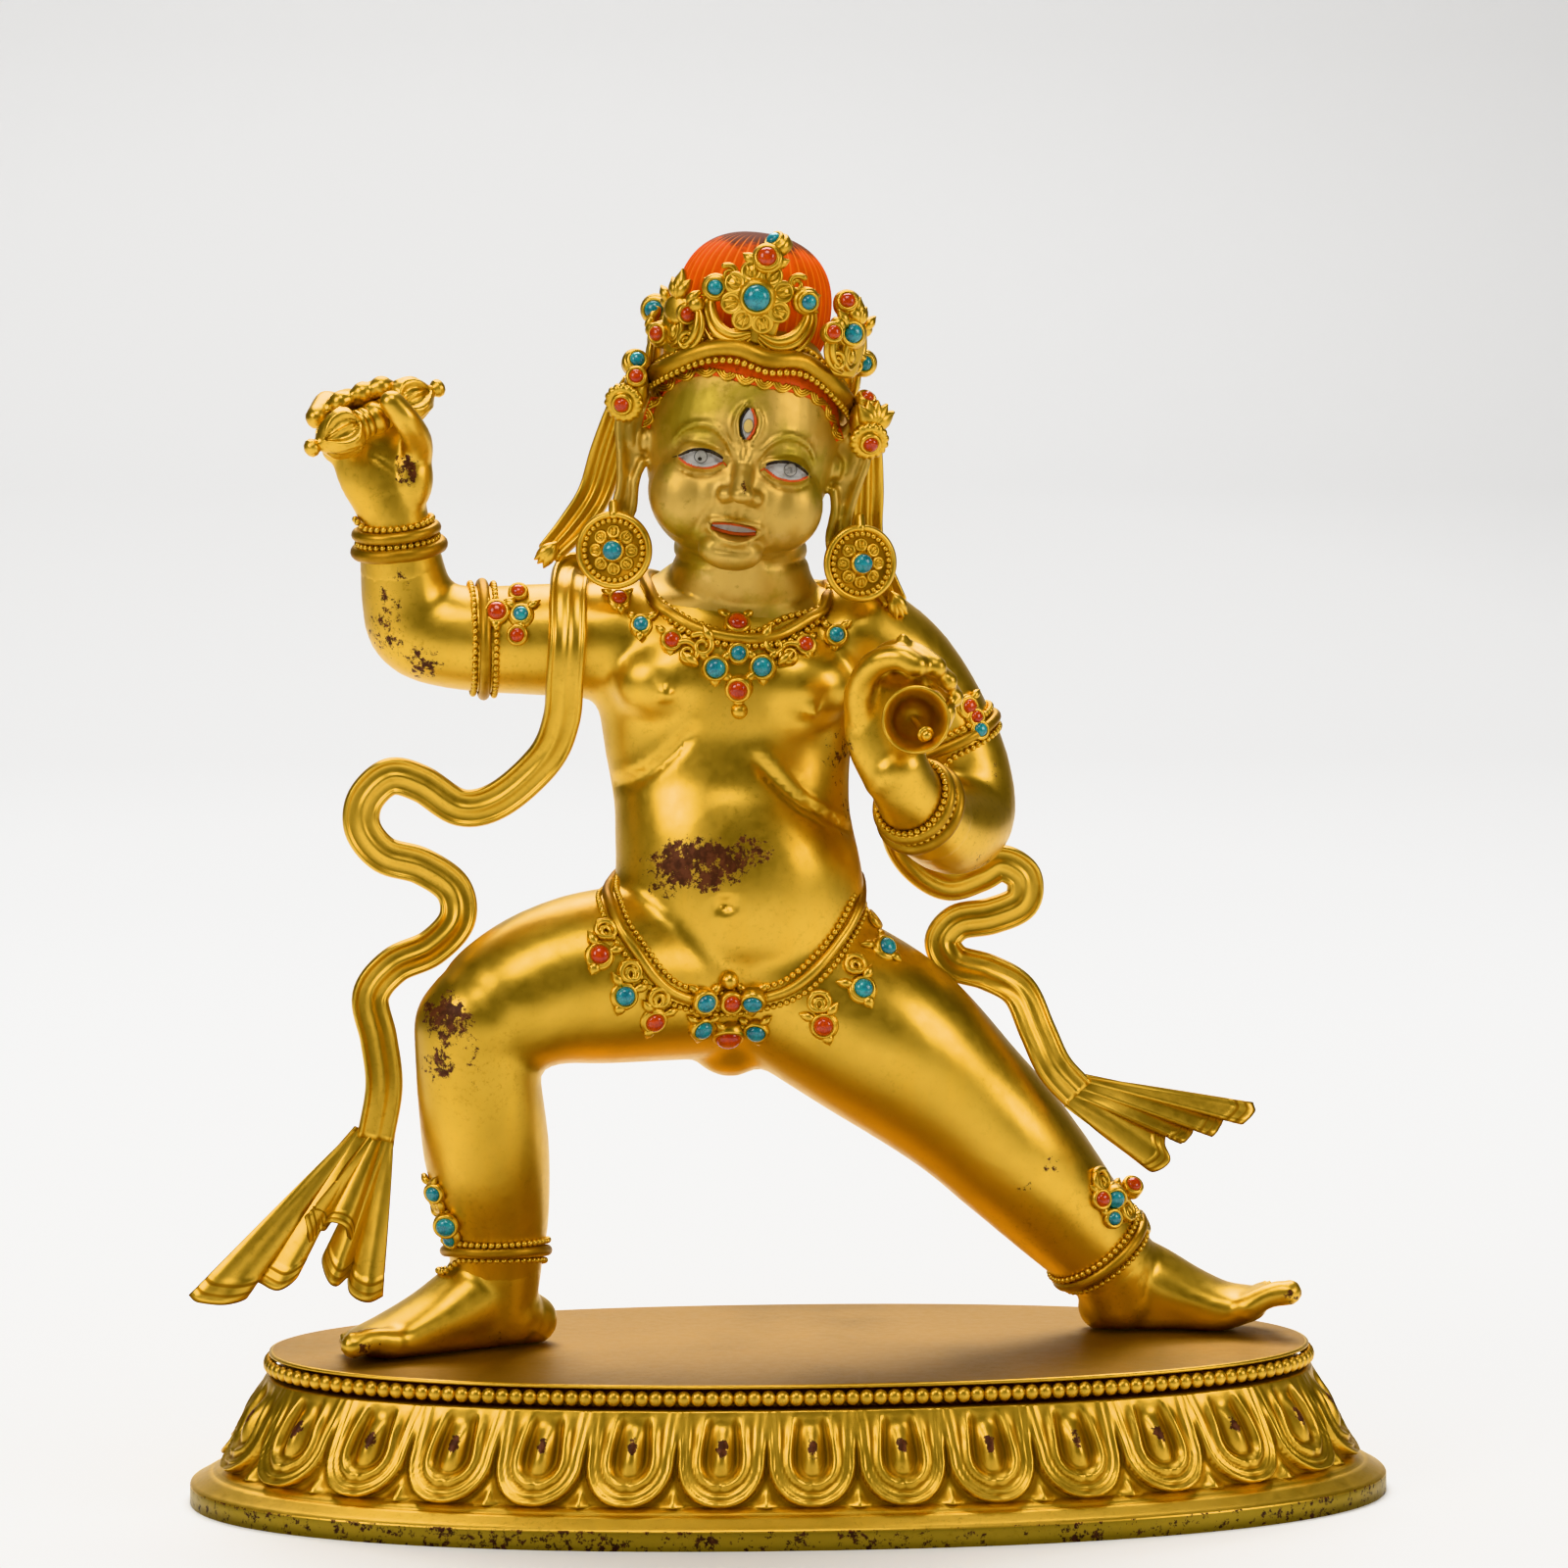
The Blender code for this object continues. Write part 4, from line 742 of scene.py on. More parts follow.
def trunk_skins():
    """Torso, arms and legs without hands, feet and head."""
    torso = [(*row[:3], row[3] * 0.93, row[4] * 0.93) if row[2] > 157 else row for row in TORSO]
    return [tube(torso, steps=6, sides=44),
            blob((-23, 8, 76), (15, 13, 15)), blob((2, 8, 75), (15, 13, 15)),
            blob((-12, -7.5, 101), (20, 13.5, 16), sides=36, rings=22),
            blob((-12, -9, 92), (17, 11, 11), sides=36, rings=22),
            blob((-25.5, -8.0, 137), (12, 9.0, 9)), blob((0.5, -8.0, 136), (12, 9.0, 9)),
            tube(RIGHT_THIGH, sides=36), tube(RIGHT_SHIN, sides=32), tube(LEFT_THIGH, sides=36),
            tube(RIGHT_ARM[:-1], sides=30), tube(LEFT_ARM[:-1], sides=30)]


def right_hand_skins():
    skins = [tube(RIGHT_ARM[-3:], sides=24), tube(RIGHT_PALM, sides=24)]
    for k, (tip, z) in enumerate(((-96.4, 190.5), (-91.6, 193.6), (-87.2, 195.4), (-83.4, 196.6))):
        x = -92.6 + 5.0 * k
        skins.append(finger([(x, -0.5, 184.0), (x - 0.8, 2.5, 188.5), (x - 1.5, 1.5, 193.5), (tip, -4.5,
                                                                                              z)], 2.9))
    skins.append(finger([(-76.4, -1.5, 180.0), (-76.0, -6.5, 185.5), (-78.4, -11.5, 190.0),
                         (-81.4, -12.5, 193.6)], 3.1))
    skins.append(blob((-77.5, -3.0, 178.5), (4.6, 4.4, 7.5)))
    return skins


# Fingers of the left hand curled over the bell: radius, then places from root to tip; the thumb comes last.
LEFT_FINGERS = (
    (3.0, ((11.8, -30.5, 130.0), (11.2, -33.0, 137.0), (13.6, -37.0, 142.0), (18.0, -40.0, 143.6),
           (21.5, -41.5, 142.0))),
    (2.7, ((14.0, -28.5, 137.0), (16.5, -31.5, 143.5), (21.0, -36.5, 144.3), (25.6, -40.0, 141.6))),
    (2.5, ((17.5, -27.0, 137.0), (20.5, -29.5, 141.5), (24.6, -34.0, 141.4), (28.2, -38.0, 138.6))),
    (2.3, ((20.0, -26.5, 134.0), (24.0, -28.0, 138.0), (28.0, -32.0, 137.6), (29.8, -36.0, 135.2))),
    (2.6, ((22.6, -30.0, 126.0), (26.4, -34.5, 129.5), (27.6, -38.5, 132.5))))


def left_hand_skins():
    skins = [tube(LEFT_ARM[-3:], sides=24), tube(LEFT_PALM, sides=24)]
    skins += [finger(stations, radius) for radius, stations in LEFT_FINGERS]
    skins.append(blob((19.2, -37.5, 146.4), (1.5, 1.5, 1.8)))
    return skins


# Ball, heading, lift and big-toe side of each foot's toes, then the section rows of the insteps.
RIGHT_TOES = ((-84.5, -9.6, 2.4), (-0.93, -0.37, 0), 0.0, 1)
LEFT_TOES = ((95.5, 7.6, 4.2), (0.98, -0.1, 0), 3.4, -1)
RIGHT_INSTEP = (
    (-61.0, -0.5, 13.0, 8.6, 8.6), (-67.5, -3.0, 9.6, 8.4, 8.0), (-74.5, -5.6, 6.6, 8.6, 6.2),
    (-82.0, -8.4, 4.2, 8.8, 4.4), (-87.0, -10.4, 3.0, 8.6, 3.2))
LEFT_INSTEP = (
    (70.0, 10.8, 12.0, 8.6, 8.6), (77.0, 10.8, 9.4, 8.2, 7.8), (84.0, 10.0, 7.0, 8.4, 6.2),
    (91.0, 8.8, 5.4, 8.6, 4.6), (97.0, 7.8, 5.4, 8.4, 3.6))


def foot_skins(leg, foot, heel, instep, ends):
    return [tube(leg[-2:], sides=30), tube(foot, facing=(0, 0, 1)), blob(heel, (8.0, 7.6, 7)),
            tube(instep, facing=(0, 0, 1))] + toes(*ends)


EAR_RIM = (
    (19.4, -3.6, 7.0), (21.6, -3.8, 10.2), (24.6, -3.4, 8.8), (25.4, -3.2, 3.5), (24.2, -3.4, -3.0),
    (23.3, -3.6, -9.0), (23.6, -3.8, -14.0), (22.0, -3.8, -17.0), (20.2, -3.6, -14.0), (20.4, -3.6, -8.0),
    (19.6, -3.6, -4.0))


def head_skins():
    """Skull, cheeks, jaw, nose, ears and neck."""
    skins = [head_blob((0, 1.5, 4.0), (19.6, 20.0, 26.0), sides=48, rings=30),
             head_blob((0, -3.0, -7.5), (17.8, 16.5, 14.4), sides=44, rings=26),
             head_blob((8.8, -9.6, -8.5), (8.8, 8.0, 9.4)),
             head_blob((-8.8, -9.6, -8.5), (8.8, 8.0, 9.4)),
             head_blob((0, -14.2, -18.8), (6.6, 4.4, 4.0))]
    skins.append(head_tube([(0, -16.9, 3.5, 2.4, 1.2), (0, -18.4, -1.5, 2.0, 1.5),
                            (0, -20.9, -4.8, 2.1, 2.0), (0, -22.8, -7.2, 2.2, 1.9)], sides=20))
    skins.append(head_blob((0.2, -22.8, -7.2), (2.5, 2.6, 1.9), rings=14))
    for side in (-1, 1):
        skins.append(head_blob((side * 2.9, -20.2, -7.7), (1.9, 2.1, 1.6), rings=14))
        skins.append(head_blob((side * 8.6, -15.0, -1.2), (5.2, 3.7, 3.2), rings=14))
        # Long ear: a plate with a raised rim, drawn down into the lobe.
        skins.append(head_blob((side * 21.9, -1.6, 1.5), (3.4, 1.5, 8.6), rings=16))
        skins.append(head_blob((side * 21.6, -2.2, -10.5), (1.6, 0.9, 5.8), rings=16))
        skins.append(head_tube([(side * x, y, z, 0.95, 1.15) for x, y, z in EAR_RIM], sides=14))
        skins.append(head_blob((side * 19.6, -3.9, 0.6), (1.2, 1.2, 2.4), rings=10))
        skins.append(head_tube([(side * 21.4, -3.2, 6.6, 0.6, 0.6), (side * 23.0, -3.2, 4.0, 0.7, 0.7),
                                (side * 22.4, -3.2, -0.5, 0.6, 0.6)], sides=10))
    skins.append(tube([row for row in TORSO if row[2] > 150], steps=6, sides=40))
    return skins


BROW = ((2.9, 1.0), (4.6, 3.7), (8.0, 5.6), (12.0, 4.7), (14.6, 1.6))


def brow_height(x):
    """Height of the brow's arc at a distance from the nose."""
    rows = flowing([(a, z, 0.0) for a, z in BROW], 8)
    return np.interp(np.abs(x), rows[:, 0], rows[:, 1])


def eye_lines(u):
    """Upper and lower edge of the open eye, u from the inner to the outer corner."""
    upper = 1.90 * (1 - np.abs(u + 0.1) ** 2.2 / 1.22) - 0.2
    lower = -1.65 * (1 - np.abs(u - 0.05) ** 2.4 / 1.10)
    return np.maximum(upper, -0.1), np.minimum(lower, -0.15)


EYE_MIDDLE, EYE_REACH, EYE_LEVEL = 8.7, 4.5, -1.3


def face_relief(points):
    """How far each place of the face stands forward of the plain head, in figure units."""
    x, y, z = to_head(points).T
    front = smoothstep(-4.0, -9.0, y)
    out = np.zeros(len(x))
    for side in (-1, 1):
        a = side * x
        u = (a - EYE_MIDDLE) / EYE_REACH
        upper, lower = eye_lines(np.clip(u, -1, 1))
        v = z - EYE_LEVEL
        ends = smoothstep(1.25, 0.95, np.abs(u))
        for lid, offset, width, rise in ((upper, 0.35, 0.55, 0.75), (lower, -0.35, 0.55, 0.55),
                                         (upper, 1.7, 0.6, -0.30), (lower, -1.5, 0.7, -0.35)):
            out += rise * bump(v - lid, offset, width) * ends
        out -= 0.55 * (np.abs(u) < 1.0) * smoothstep(0.1, 0.5, upper - v) * smoothstep(0.1, 0.5, v - lower)
        brow = brow_height(x)
        ends = smoothstep(2.6, 3.6, a) * smoothstep(15.2, 13.4, a)
        out += (0.75 * bump(z, brow, 0.75) - 0.35 * bump(z, brow - 1.5, 0.8)) * ends
        fold = 4.8 + 0.40 * (-8.5 - z)
        out -= 0.45 * bump(a, fold, 0.8) * smoothstep(-8.6, -10.5, z) * smoothstep(-17.0, -13.5, z)
        out -= 0.22 * bump(a, 5.3, 0.9) * bump(z, -7.9, 1.7) + 0.35 * bump(a, 2.2, 0.7) * bump(z, -9.5, 0.6)
        out += 0.50 * np.exp(-((a - 1.75) / 1.35) ** 4 - ((z - 1.05) / 1.5) ** 4)
    out -= 0.4 * bump(x, 0.0, 0.4) * bump(z, 1.0, 1.2)
    out += 0.12 * bump(z, -1.6 - 0.05 * x * x, 0.5) * smoothstep(3.4, 2.6, np.abs(x))
    third = np.abs(x + 0.4) / (2.45 * np.clip(1 - ((z - 6.9) / 4.6) ** 2, 0.02, 1) ** 0.8)
    near = smoothstep(5.2, 4.4, np.abs(z - 6.9))
    out += 0.85 * bump(third, 1.05, 0.26) * near
    out -= 0.25 * smoothstep(0.85, 0.6, third) * near
    # The lips stand round an open mouth that shows the upper teeth.
    u = x / 5.3
    upper = -12.75 - 0.7 * u * u - 0.45 * bump(x, 0.0, 0.7)
    lower = -16.9 + 2.2 * u * u
    lips = smoothstep(1.10, 0.95, np.abs(u))
    out += (bump(z, upper, 0.75) + 1.15 * bump(z, lower, 0.85)) * lips
    out -= 0.5 * smoothstep(upper - 0.5, upper - 0.9, z) * smoothstep(lower + 0.6, lower + 1.0, z) * lips
    out -= 0.45 * bump(z, -11.0, 0.9) * bump(x, 0.0, 0.8)
    out -= 0.5 * bump(z, -18.7, 0.6) * smoothstep(4.5, 2.5, np.abs(x))
    out += 0.4 * bump(np.abs(x), 6.2, 0.7) * bump(z, -14.4, 1.6)
    return out * front * 1.45


NECK_CREASES = (162.2, 165.6)
CHEST_FOLDS = (
    ((-37.0, 115.5), (-33.0, 117.0), (-28.0, 120.5), (-23.5, 125.0), (-21.0, 128.5)),
    ((-9.0, 122.5), (-5.0, 118.0), (0.0, 113.5), (5.0, 110.5), (10.0, 107.5), (13.0, 105.0)))


def seen_line(tree, line, steps=6):
    rows = flowing([(x, 0.0, z) for x, z in line], steps)
    return np.array([seen_from_front(tree, row[0], row[2])[0] for row in rows])


def round_trunk(points, faces):
    """Folds, navel and nipples pressed into the torso."""
    tree = search_tree(points, faces)
    normals = vertex_normals(points, faces)
    for line in CHEST_FOLDS:
        spots = seen_line(tree, line)
        points = carve(points, normals, spots, 1.1, 1.5)
        points = carve(points, normals, spots + np.array((0.6, 0.0, 2.2)), 1.6, -0.4)
    navel = seen_from_front(tree, -15.0, 92.5)[0]
    away = points - navel
    reach = np.hypot(away[:, 0] / 1.5, away[:, 2] / 1.1) + np.abs(away[:, 1]) * 0.15
    points = points - normals * (2.3 * bump(reach, 0.0, 1.0) - 0.25 * bump(reach, 1.7, 0.5))[:, None]
    for x, z in ((-26.8, 135.0), (3.2, 131.6)):
        spot = seen_from_front(tree, x, z)[0]
        gap = np.linalg.norm(points - spot, axis=1)
        points = points + normals * (1.5 * np.exp(-(gap / 1.5) ** 4))[:, None]
    crease = flowing([(-8.0, -24.0, 88.0), (-8.0, -23.5, 84.0), (-7.0, -22.0, 81.0)], 6)
    return carve(points, normals, crease, 0.8, 0.3)


def nail_marks(points, normals, ball, ahead, lift, big_side):
    ahead = unit(ahead)
    across = np.cross((0, 0, 1), ahead) * big_side
    for k in range(5):
        radius = 2.9 if k == 0 else 2.2 - 0.12 * k
        tip = (np.asarray(ball) + across * (7.1 - 3.35 * k) + ahead * (9.9 - 0.9 * k)
               + np.array((0, 0, 2 * radius - 1.7 + lift)))
        away = points - tip
        u = (away @ across) / (radius * 0.62)
        v = (away @ ahead) / (radius * 0.75)
        rim = np.hypot(u, v)
        flat = np.exp(-(away[:, 2] / 1.6) ** 2)
        points = points - normals * ((0.32 * np.exp(-((rim - 1.0) / 0.22) ** 2)) * flat)[:, None]
    return points


def strokes(points, normals, lines, width, depth):
    for line in lines:
        points = carve(points, normals, flowing(line, 6), width, depth)
    return points


RUBBED = (
    # Places where the gilding is gone: x, z, half-widths and strength, seen from the front.
    (-20.5, 101.0, 12.0, 7.0, 0.70), (-11.0, 103.5, 8.0, 4.5, 0.52), (-27.5, 97.0, 5.0, 5.0, 0.52),
    (-71.0, 71.0, 6.5, 6.5, 0.62), (-73.0, 61.0, 4.0, 6.0, 0.52), (-66.0, 62.0, 3.0, 8.0, 0.36),
    (-83.0, 149.0, 6.0, 10.0, 0.47), (-75.0, 141.0, 5.0, 5.0, 0.50), (-79.0, 158.0, 3.0, 3.0, 0.40),
    (-78.5, 179.5, 3.2, 4.8, 0.58), (8.5, 122.0, 4.0, 9.0, 0.40), (10.0, 110.0, 3.0, 6.0, 0.38),
    (52.5, 37.5, 2.6, 2.4, 0.60), (47.0, 33.0, 3.0, 2.0, 0.42), (56.0, 30.0, 3.5, 2.0, 0.34),
    (-11.8, 176.4, 1.0, 3.4, 0.52), (-87.0, 3.6, 4.0, 2.0, 0.52), (-60.0, 3.0, 6.0, 2.5, 0.36), (104.0,
                                                                                                 8.5, 3.0,
                                                                                                 2.5, 0.45),
    (41.0, 118.0, 3.0, 5.0, 0.40), (38.0, 100.0, 4.0, 3.0, 0.40), (22.0, 104.0, 3.0, 3.0, 0.36))


def rubbed_share(points):
    """Strength of wear on the front of the body."""
    out = np.zeros(len(points))
    for x, z, half_x, half_z, strength in RUBBED:
        reach = np.hypot((points[:, 0] - x) / half_x, (points[:, 2] - z) / half_z)
        out = np.maximum(out, strength * smoothstep(1.35, 0.35, reach))
    return out * smoothstep(12.0, 4.0, points[:, 1])


class Figure:
    """Body and head as carved surfaces, kept for the pieces that lie on them."""
    trees = {}
    parts = []


# Grid step and smoothing passes when the skins of a part are fused.
FUSING = {"trunk": (1.4, 6), "head": (0.63, 2), "hand": (0.72, 2), "foot": (0.9, 5)}


def shape_figure():
    """Carve the parts of the body once and keep them."""
    parts = []

    def keep(name, points, faces, size, matt=0.0):
        points = points.copy()
        points[:, 2] = np.maximum(points[:, 2], 0.0)
        # Groove values darken the gilding: partly real patina, partly painted shade.
        strength = 0.45 if name == "trunk" else 0.9
        parts.append((points, faces, hollowness(points, faces, size) * strength, matt))
        Figure.trees[name] = search_tree(points, faces)

    points, faces = fused(trunk_skins(), *FUSING["trunk"])
    keep("trunk", round_trunk(points, faces), faces, 1.15)
    points, faces = fused(head_skins(), *FUSING["head"])
    normals = vertex_normals(points, faces)
    forward = head_way(0, -1, 0)
    points = points + forward * face_relief(points)[:, None]
    Figure.trees["face"] = search_tree(points, faces)
    for level in NECK_CREASES:
        ring = [(-10.6 + 16 * sin(t), -2.0 - 14 * cos(t), level - 2.2 * cos(t))
                for t in np.linspace(-2.2, 2.2, 30)]
        tree = search_tree(points, faces)
        points = carve(points, normals, lay(tree, ring, 0.0), 0.7, 0.55)
    matt = 1.0 - smoothstep(9.0, 16.0, to_head(points)[:, 1]) * 0.5
    keep("head", points, faces, 0.55, matt)
    points, faces = fused(right_hand_skins(), *FUSING["hand"])
    normals = vertex_normals(points, faces)
    points = strokes(points, normals, (((-86.0, -6.0, 183.5), (-82.5, -6.0, 181.0), (-79.5, -7.0, 178.5)),
                                       ((-87.0, -6.0, 186.5), (-83.5, -6.0, 184.0), (-80.0, -7.5,
                                                                                     183.0))), 0.6, 0.5)
    keep("right_hand", points, faces, 0.6)
    points, faces = fused(left_hand_skins(), *FUSING["hand"])
    keep("left_hand", points, faces, 0.6)
    for name, *foot, ends in (
            ("right_foot", RIGHT_SHIN, RIGHT_FOOT, (-59.0, 0.5, 7), RIGHT_INSTEP, RIGHT_TOES),
            ("left_foot", LEFT_THIGH, LEFT_FOOT, (69, 11, 7), LEFT_INSTEP, LEFT_TOES)):
        points, faces = fused(foot_skins(*foot, ends), *FUSING["foot"])
        keep(name, nail_marks(points, vertex_normals(points, faces), *ends), faces, 0.75)
    Figure.parts = parts
    shell = Shell()
    for points, faces, _, _ in parts:
        shell.add((points, faces))
    Figure.trees["all"] = search_tree(shell.points, shell.faces)


# Painted face


FORWARD = head_way(0, -1, 0)


def on_face(x, z, lift=0.12):
    """Place on the carved face straight in front of a point of the head's own axes."""
    start = on_head(x, -40.0, z)
    spot, _, _, _ = Figure.trees["face"].ray_cast(Vector(start), Vector(-FORWARD))
    if spot is None or to_head(np.array([spot]))[0][1] > -1.0:
        spot, normal, _, _ = Figure.trees["face"].find_nearest(Vector(on_head(x, -7.0, z)))
        return np.array(spot + normal * lift)
    return np.array(spot) + FORWARD * lift


def sheet_skin(rows, thick=0.3):
    """Thin closed skin over a grid of places, thick towards the back."""
    rows = np.asarray(rows, float)
    lines, columns = rows.shape[:2]
    front = rows.reshape(-1, 3)
    back = front - FORWARD * thick
    return np.vstack((front, back)), grid_faces(lines, columns)


def painted_band(line, half, lift=0.14):
    """Painted stroke along a line of (x, z) places on the face; half may taper."""
    line = np.asarray(line, float)
    ways = directions(line)
    sides = np.stack((-ways[:, 1], ways[:, 0]), axis=1)
    half = np.broadcast_to(half, (len(line),))
    return sheet_skin([[on_face(*(p + s * h * k), lift) for k in (-1, 0, 1)] for p, s, h in zip(line,
                                                                                                sides, half)])


def disc_on_face(x, z, radius_x, radius_z, lift, dome=0.0, rings=7, sides=28, start=0.0):
    rows = []
    for i in range(rings):
        share = start + (1 - start) * i / (rings - 1)
        share = max(share, 0.001)
        turns = np.linspace(0, 2 * pi, sides)
        rows.append([on_face(x + radius_x * share * cos(t), z + radius_z * share * sin(t),
                             lift + dome * (1 - share ** 2)) for t in turns])
    return sheet_skin(rows)


def eye_skins(side):
    """White, iris, pupil and painted lid lines of one eye, by colour."""
    us = np.linspace(-0.97, 0.97, 33)
    upper, lower = eye_lines(us)

    def across(u):
        return side * (EYE_MIDDLE + np.asarray(u) * EYE_REACH)

    def band(u, level, half, lift):
        line = np.stack((across(u), EYE_LEVEL + np.asarray(level)), axis=1)
        return painted_band(line, half, lift)

    rows = [[on_face(across(u), EYE_LEVEL + low + (high - low) * v,
                     0.25 + 0.75 * (1 - u * u) * (1 - ((v - 0.5) * 2) ** 2 * 0.8))
             for u, high, low in zip(us, upper, lower)] for v in np.linspace(0, 1, 13)]
    taper = 0.10 + 0.30 * (1 - us ** 2) ** 0.5
    x, z = across(0.0) + (-0.1 if side < 0 else 0.6), EYE_LEVEL + 0.35
    out = {"white": [sheet_skin(rows)],
           "red": [band(us, lower - 0.05, taper * 0.95, 0.45),
                   band((-1.0, -1.08, -1.16), (-0.1, -0.35, -0.7), 0.16, 0.3)],
           "dark": [band(us, upper + 0.05, taper, 0.55),
                    band((0.96, 1.08, 1.2), (-0.1, -0.3, -0.6), (0.2, 0.14, 0.06), 0.3)],
           "ring": [disc_on_face(x, z, 1.36, 1.36, 1.06, 0.0, 4, start=0.88)],
           "iris": [disc_on_face(x, z, 1.24, 1.24, 1.05, 0.12)]}
    if side < 0:
        out["dark"].append(disc_on_face(x - 0.15, z - 0.45, 0.40, 0.36, 1.27, 0.05))
    return out


def third_eye_skins():
    vs = np.linspace(-0.95, 0.95, 21)
    heights = 6.9 + 3.3 * vs
    widths = 1.35 * np.clip(1 - vs ** 2, 0.01, 1) ** 0.9
    white = [[on_face(-0.4 + w * k, z, 0.28 + 0.3 * (1 - k * k) * (1 - v * v)) for k in np.linspace(-1, 1, 9)]
             for v, z, w in zip(vs, heights, widths)]
    return {"white": [sheet_skin(white)],
            "dark": [painted_band(np.stack((-0.4 - widths - 0.1, heights), axis=1), 0.22, 0.5)],
            "red": [painted_band(np.stack((-0.4 + widths + 0.1, heights), axis=1), 0.26, 0.5)],
            "ring": [disc_on_face(-0.3, 6.5, 1.02, 1.5, 0.62, 0.0, 4, start=0.86)],
            "cold": [disc_on_face(-0.3, 6.5, 0.92, 1.35, 0.62, 0.1)]}


def mouth_skins():
    """Teeth and the red inner edges of the lips."""
    us = np.linspace(-0.9, 0.9, 41)
    xs = us * 4.9 - 0.1
    top = -13.45 - 0.55 * us ** 2
    bottom = -15.0 + 0.75 * us ** 2
    gaps = 0.10 * np.cos(us * pi * 4.5) ** 8
    teeth = sheet_skin([[on_face(x, b + (t - b) * v, 0.55 - g) for x, t, b, g in zip(xs, top, bottom, gaps)]
                        for v in np.linspace(0, 1, 6)])
    red = [painted_band(np.stack((xs, top + 0.05), axis=1), 0.20, 0.62),
           painted_band(np.stack((xs, bottom - 0.15), axis=1), 0.30, 0.6)]
    return teeth, red


HAIRLINE = ((-19.4, 3.0), (-18.6, 8.4), (-15.2, 13.2), (-9.6, 15.6), (-3.3, 15.2), (2.5, 14.8), (7.2, 14.7),
            (12.0, 13.8), (15.4, 11.6), (18.8, 6.0))


def hair_edge():
    """Painted strip of hair and the row of gilt curls along the brow."""
    rows = flowing([(x, z, 0.0) for x, z in HAIRLINE], 14)[:, :2]
    run = run_along(rows)
    ways = directions(rows)
    ups = np.stack((-ways[:, 1], ways[:, 0]), axis=1)
    tall = 4.4 - 3.0 * smoothstep(12.0, 19.0, np.abs(rows[:, 0]))
    strip = sheet_skin([[on_face(*(p + n * h), 0.22) for h in np.linspace(-0.3, top, 8)]
                        for p, n, top in zip(rows, ups, tall)])
    curls = []
    count = 13
    pitch = run[-1] / count
    for k in range(count):
        middle = (k + 0.5) * pitch
        for size, height in ((1.0, 0.40), (0.68, 0.34), (0.36, 0.30)):
            line = []
            for t in np.linspace(-1, 1, 11):
                at = middle + t * pitch * 0.5 * size
                x = np.interp(at, run, rows[:, 0])
                z = np.interp(at, run, rows[:, 1])
                n = np.array([np.interp(at, run, ups[:, 0]), np.interp(at, run, ups[:, 1])])
                drop = -1.45 * size * (1 - t * t) + 1.0
                place = np.array((x, z)) + n * drop
                line.append((*on_face(*place, height * 0.5 + 0.1), 0.30, 0.36))
            curls.append(tube(line, facing=FORWARD, steps=1, sides=8, caps=2))
    return strip, curls


# Base


def oval_edge(turns, half_x, half_y):
    cosines, sines = np.cos(turns), np.sin(turns)
    return np.stack((half_x * np.sign(cosines) * np.abs(cosines) ** (2 / OVAL_POWER),
                     half_y * np.sign(sines) * np.abs(sines) ** (2 / OVAL_POWER)), axis=-1)


def oval_turns(count, half_x, half_y):
    """Angles that space points evenly along the oval's edge."""
    fine = np.linspace(0, 2 * pi, 8001)
    edge = oval_edge(fine, half_x, half_y)
    run = run_along(edge)
    return np.interp(np.arange(count) * run[-1] / count, run, fine)


BASE_ROWS = ((0.0, 1.0), (0.118, 1.0), (0.128, 0.992), (0.138, 0.97), (0.150, 0.93), (0.200, 0.78),
             (0.206, 0.74), (0.222, 0.70), (0.236, 0.64), (0.250, 0.56), (0.280, 0.535), (0.33, 0.50),
             (0.40, 0.44), (0.50, 0.36), (0.61, 0.28), (0.71, 0.20), (0.80, 0.13), (0.835, 0.10),
             (0.85, 0.0), (0.868, -0.05), (0.962, -0.05), (0.970, 0.04), (0.980, 0.10), (0.993, 0.10),
             (1.0, 0.06))
PETAL_LOW, PETAL_HIGH, BEAD_LEVEL = 0.245, 0.84, 0.915
PETAL_COLUMNS = 36                  # points across one petal
BEAD_COUNT = 184
BEAD_RADII = (1.5, 1.25, 1.55)


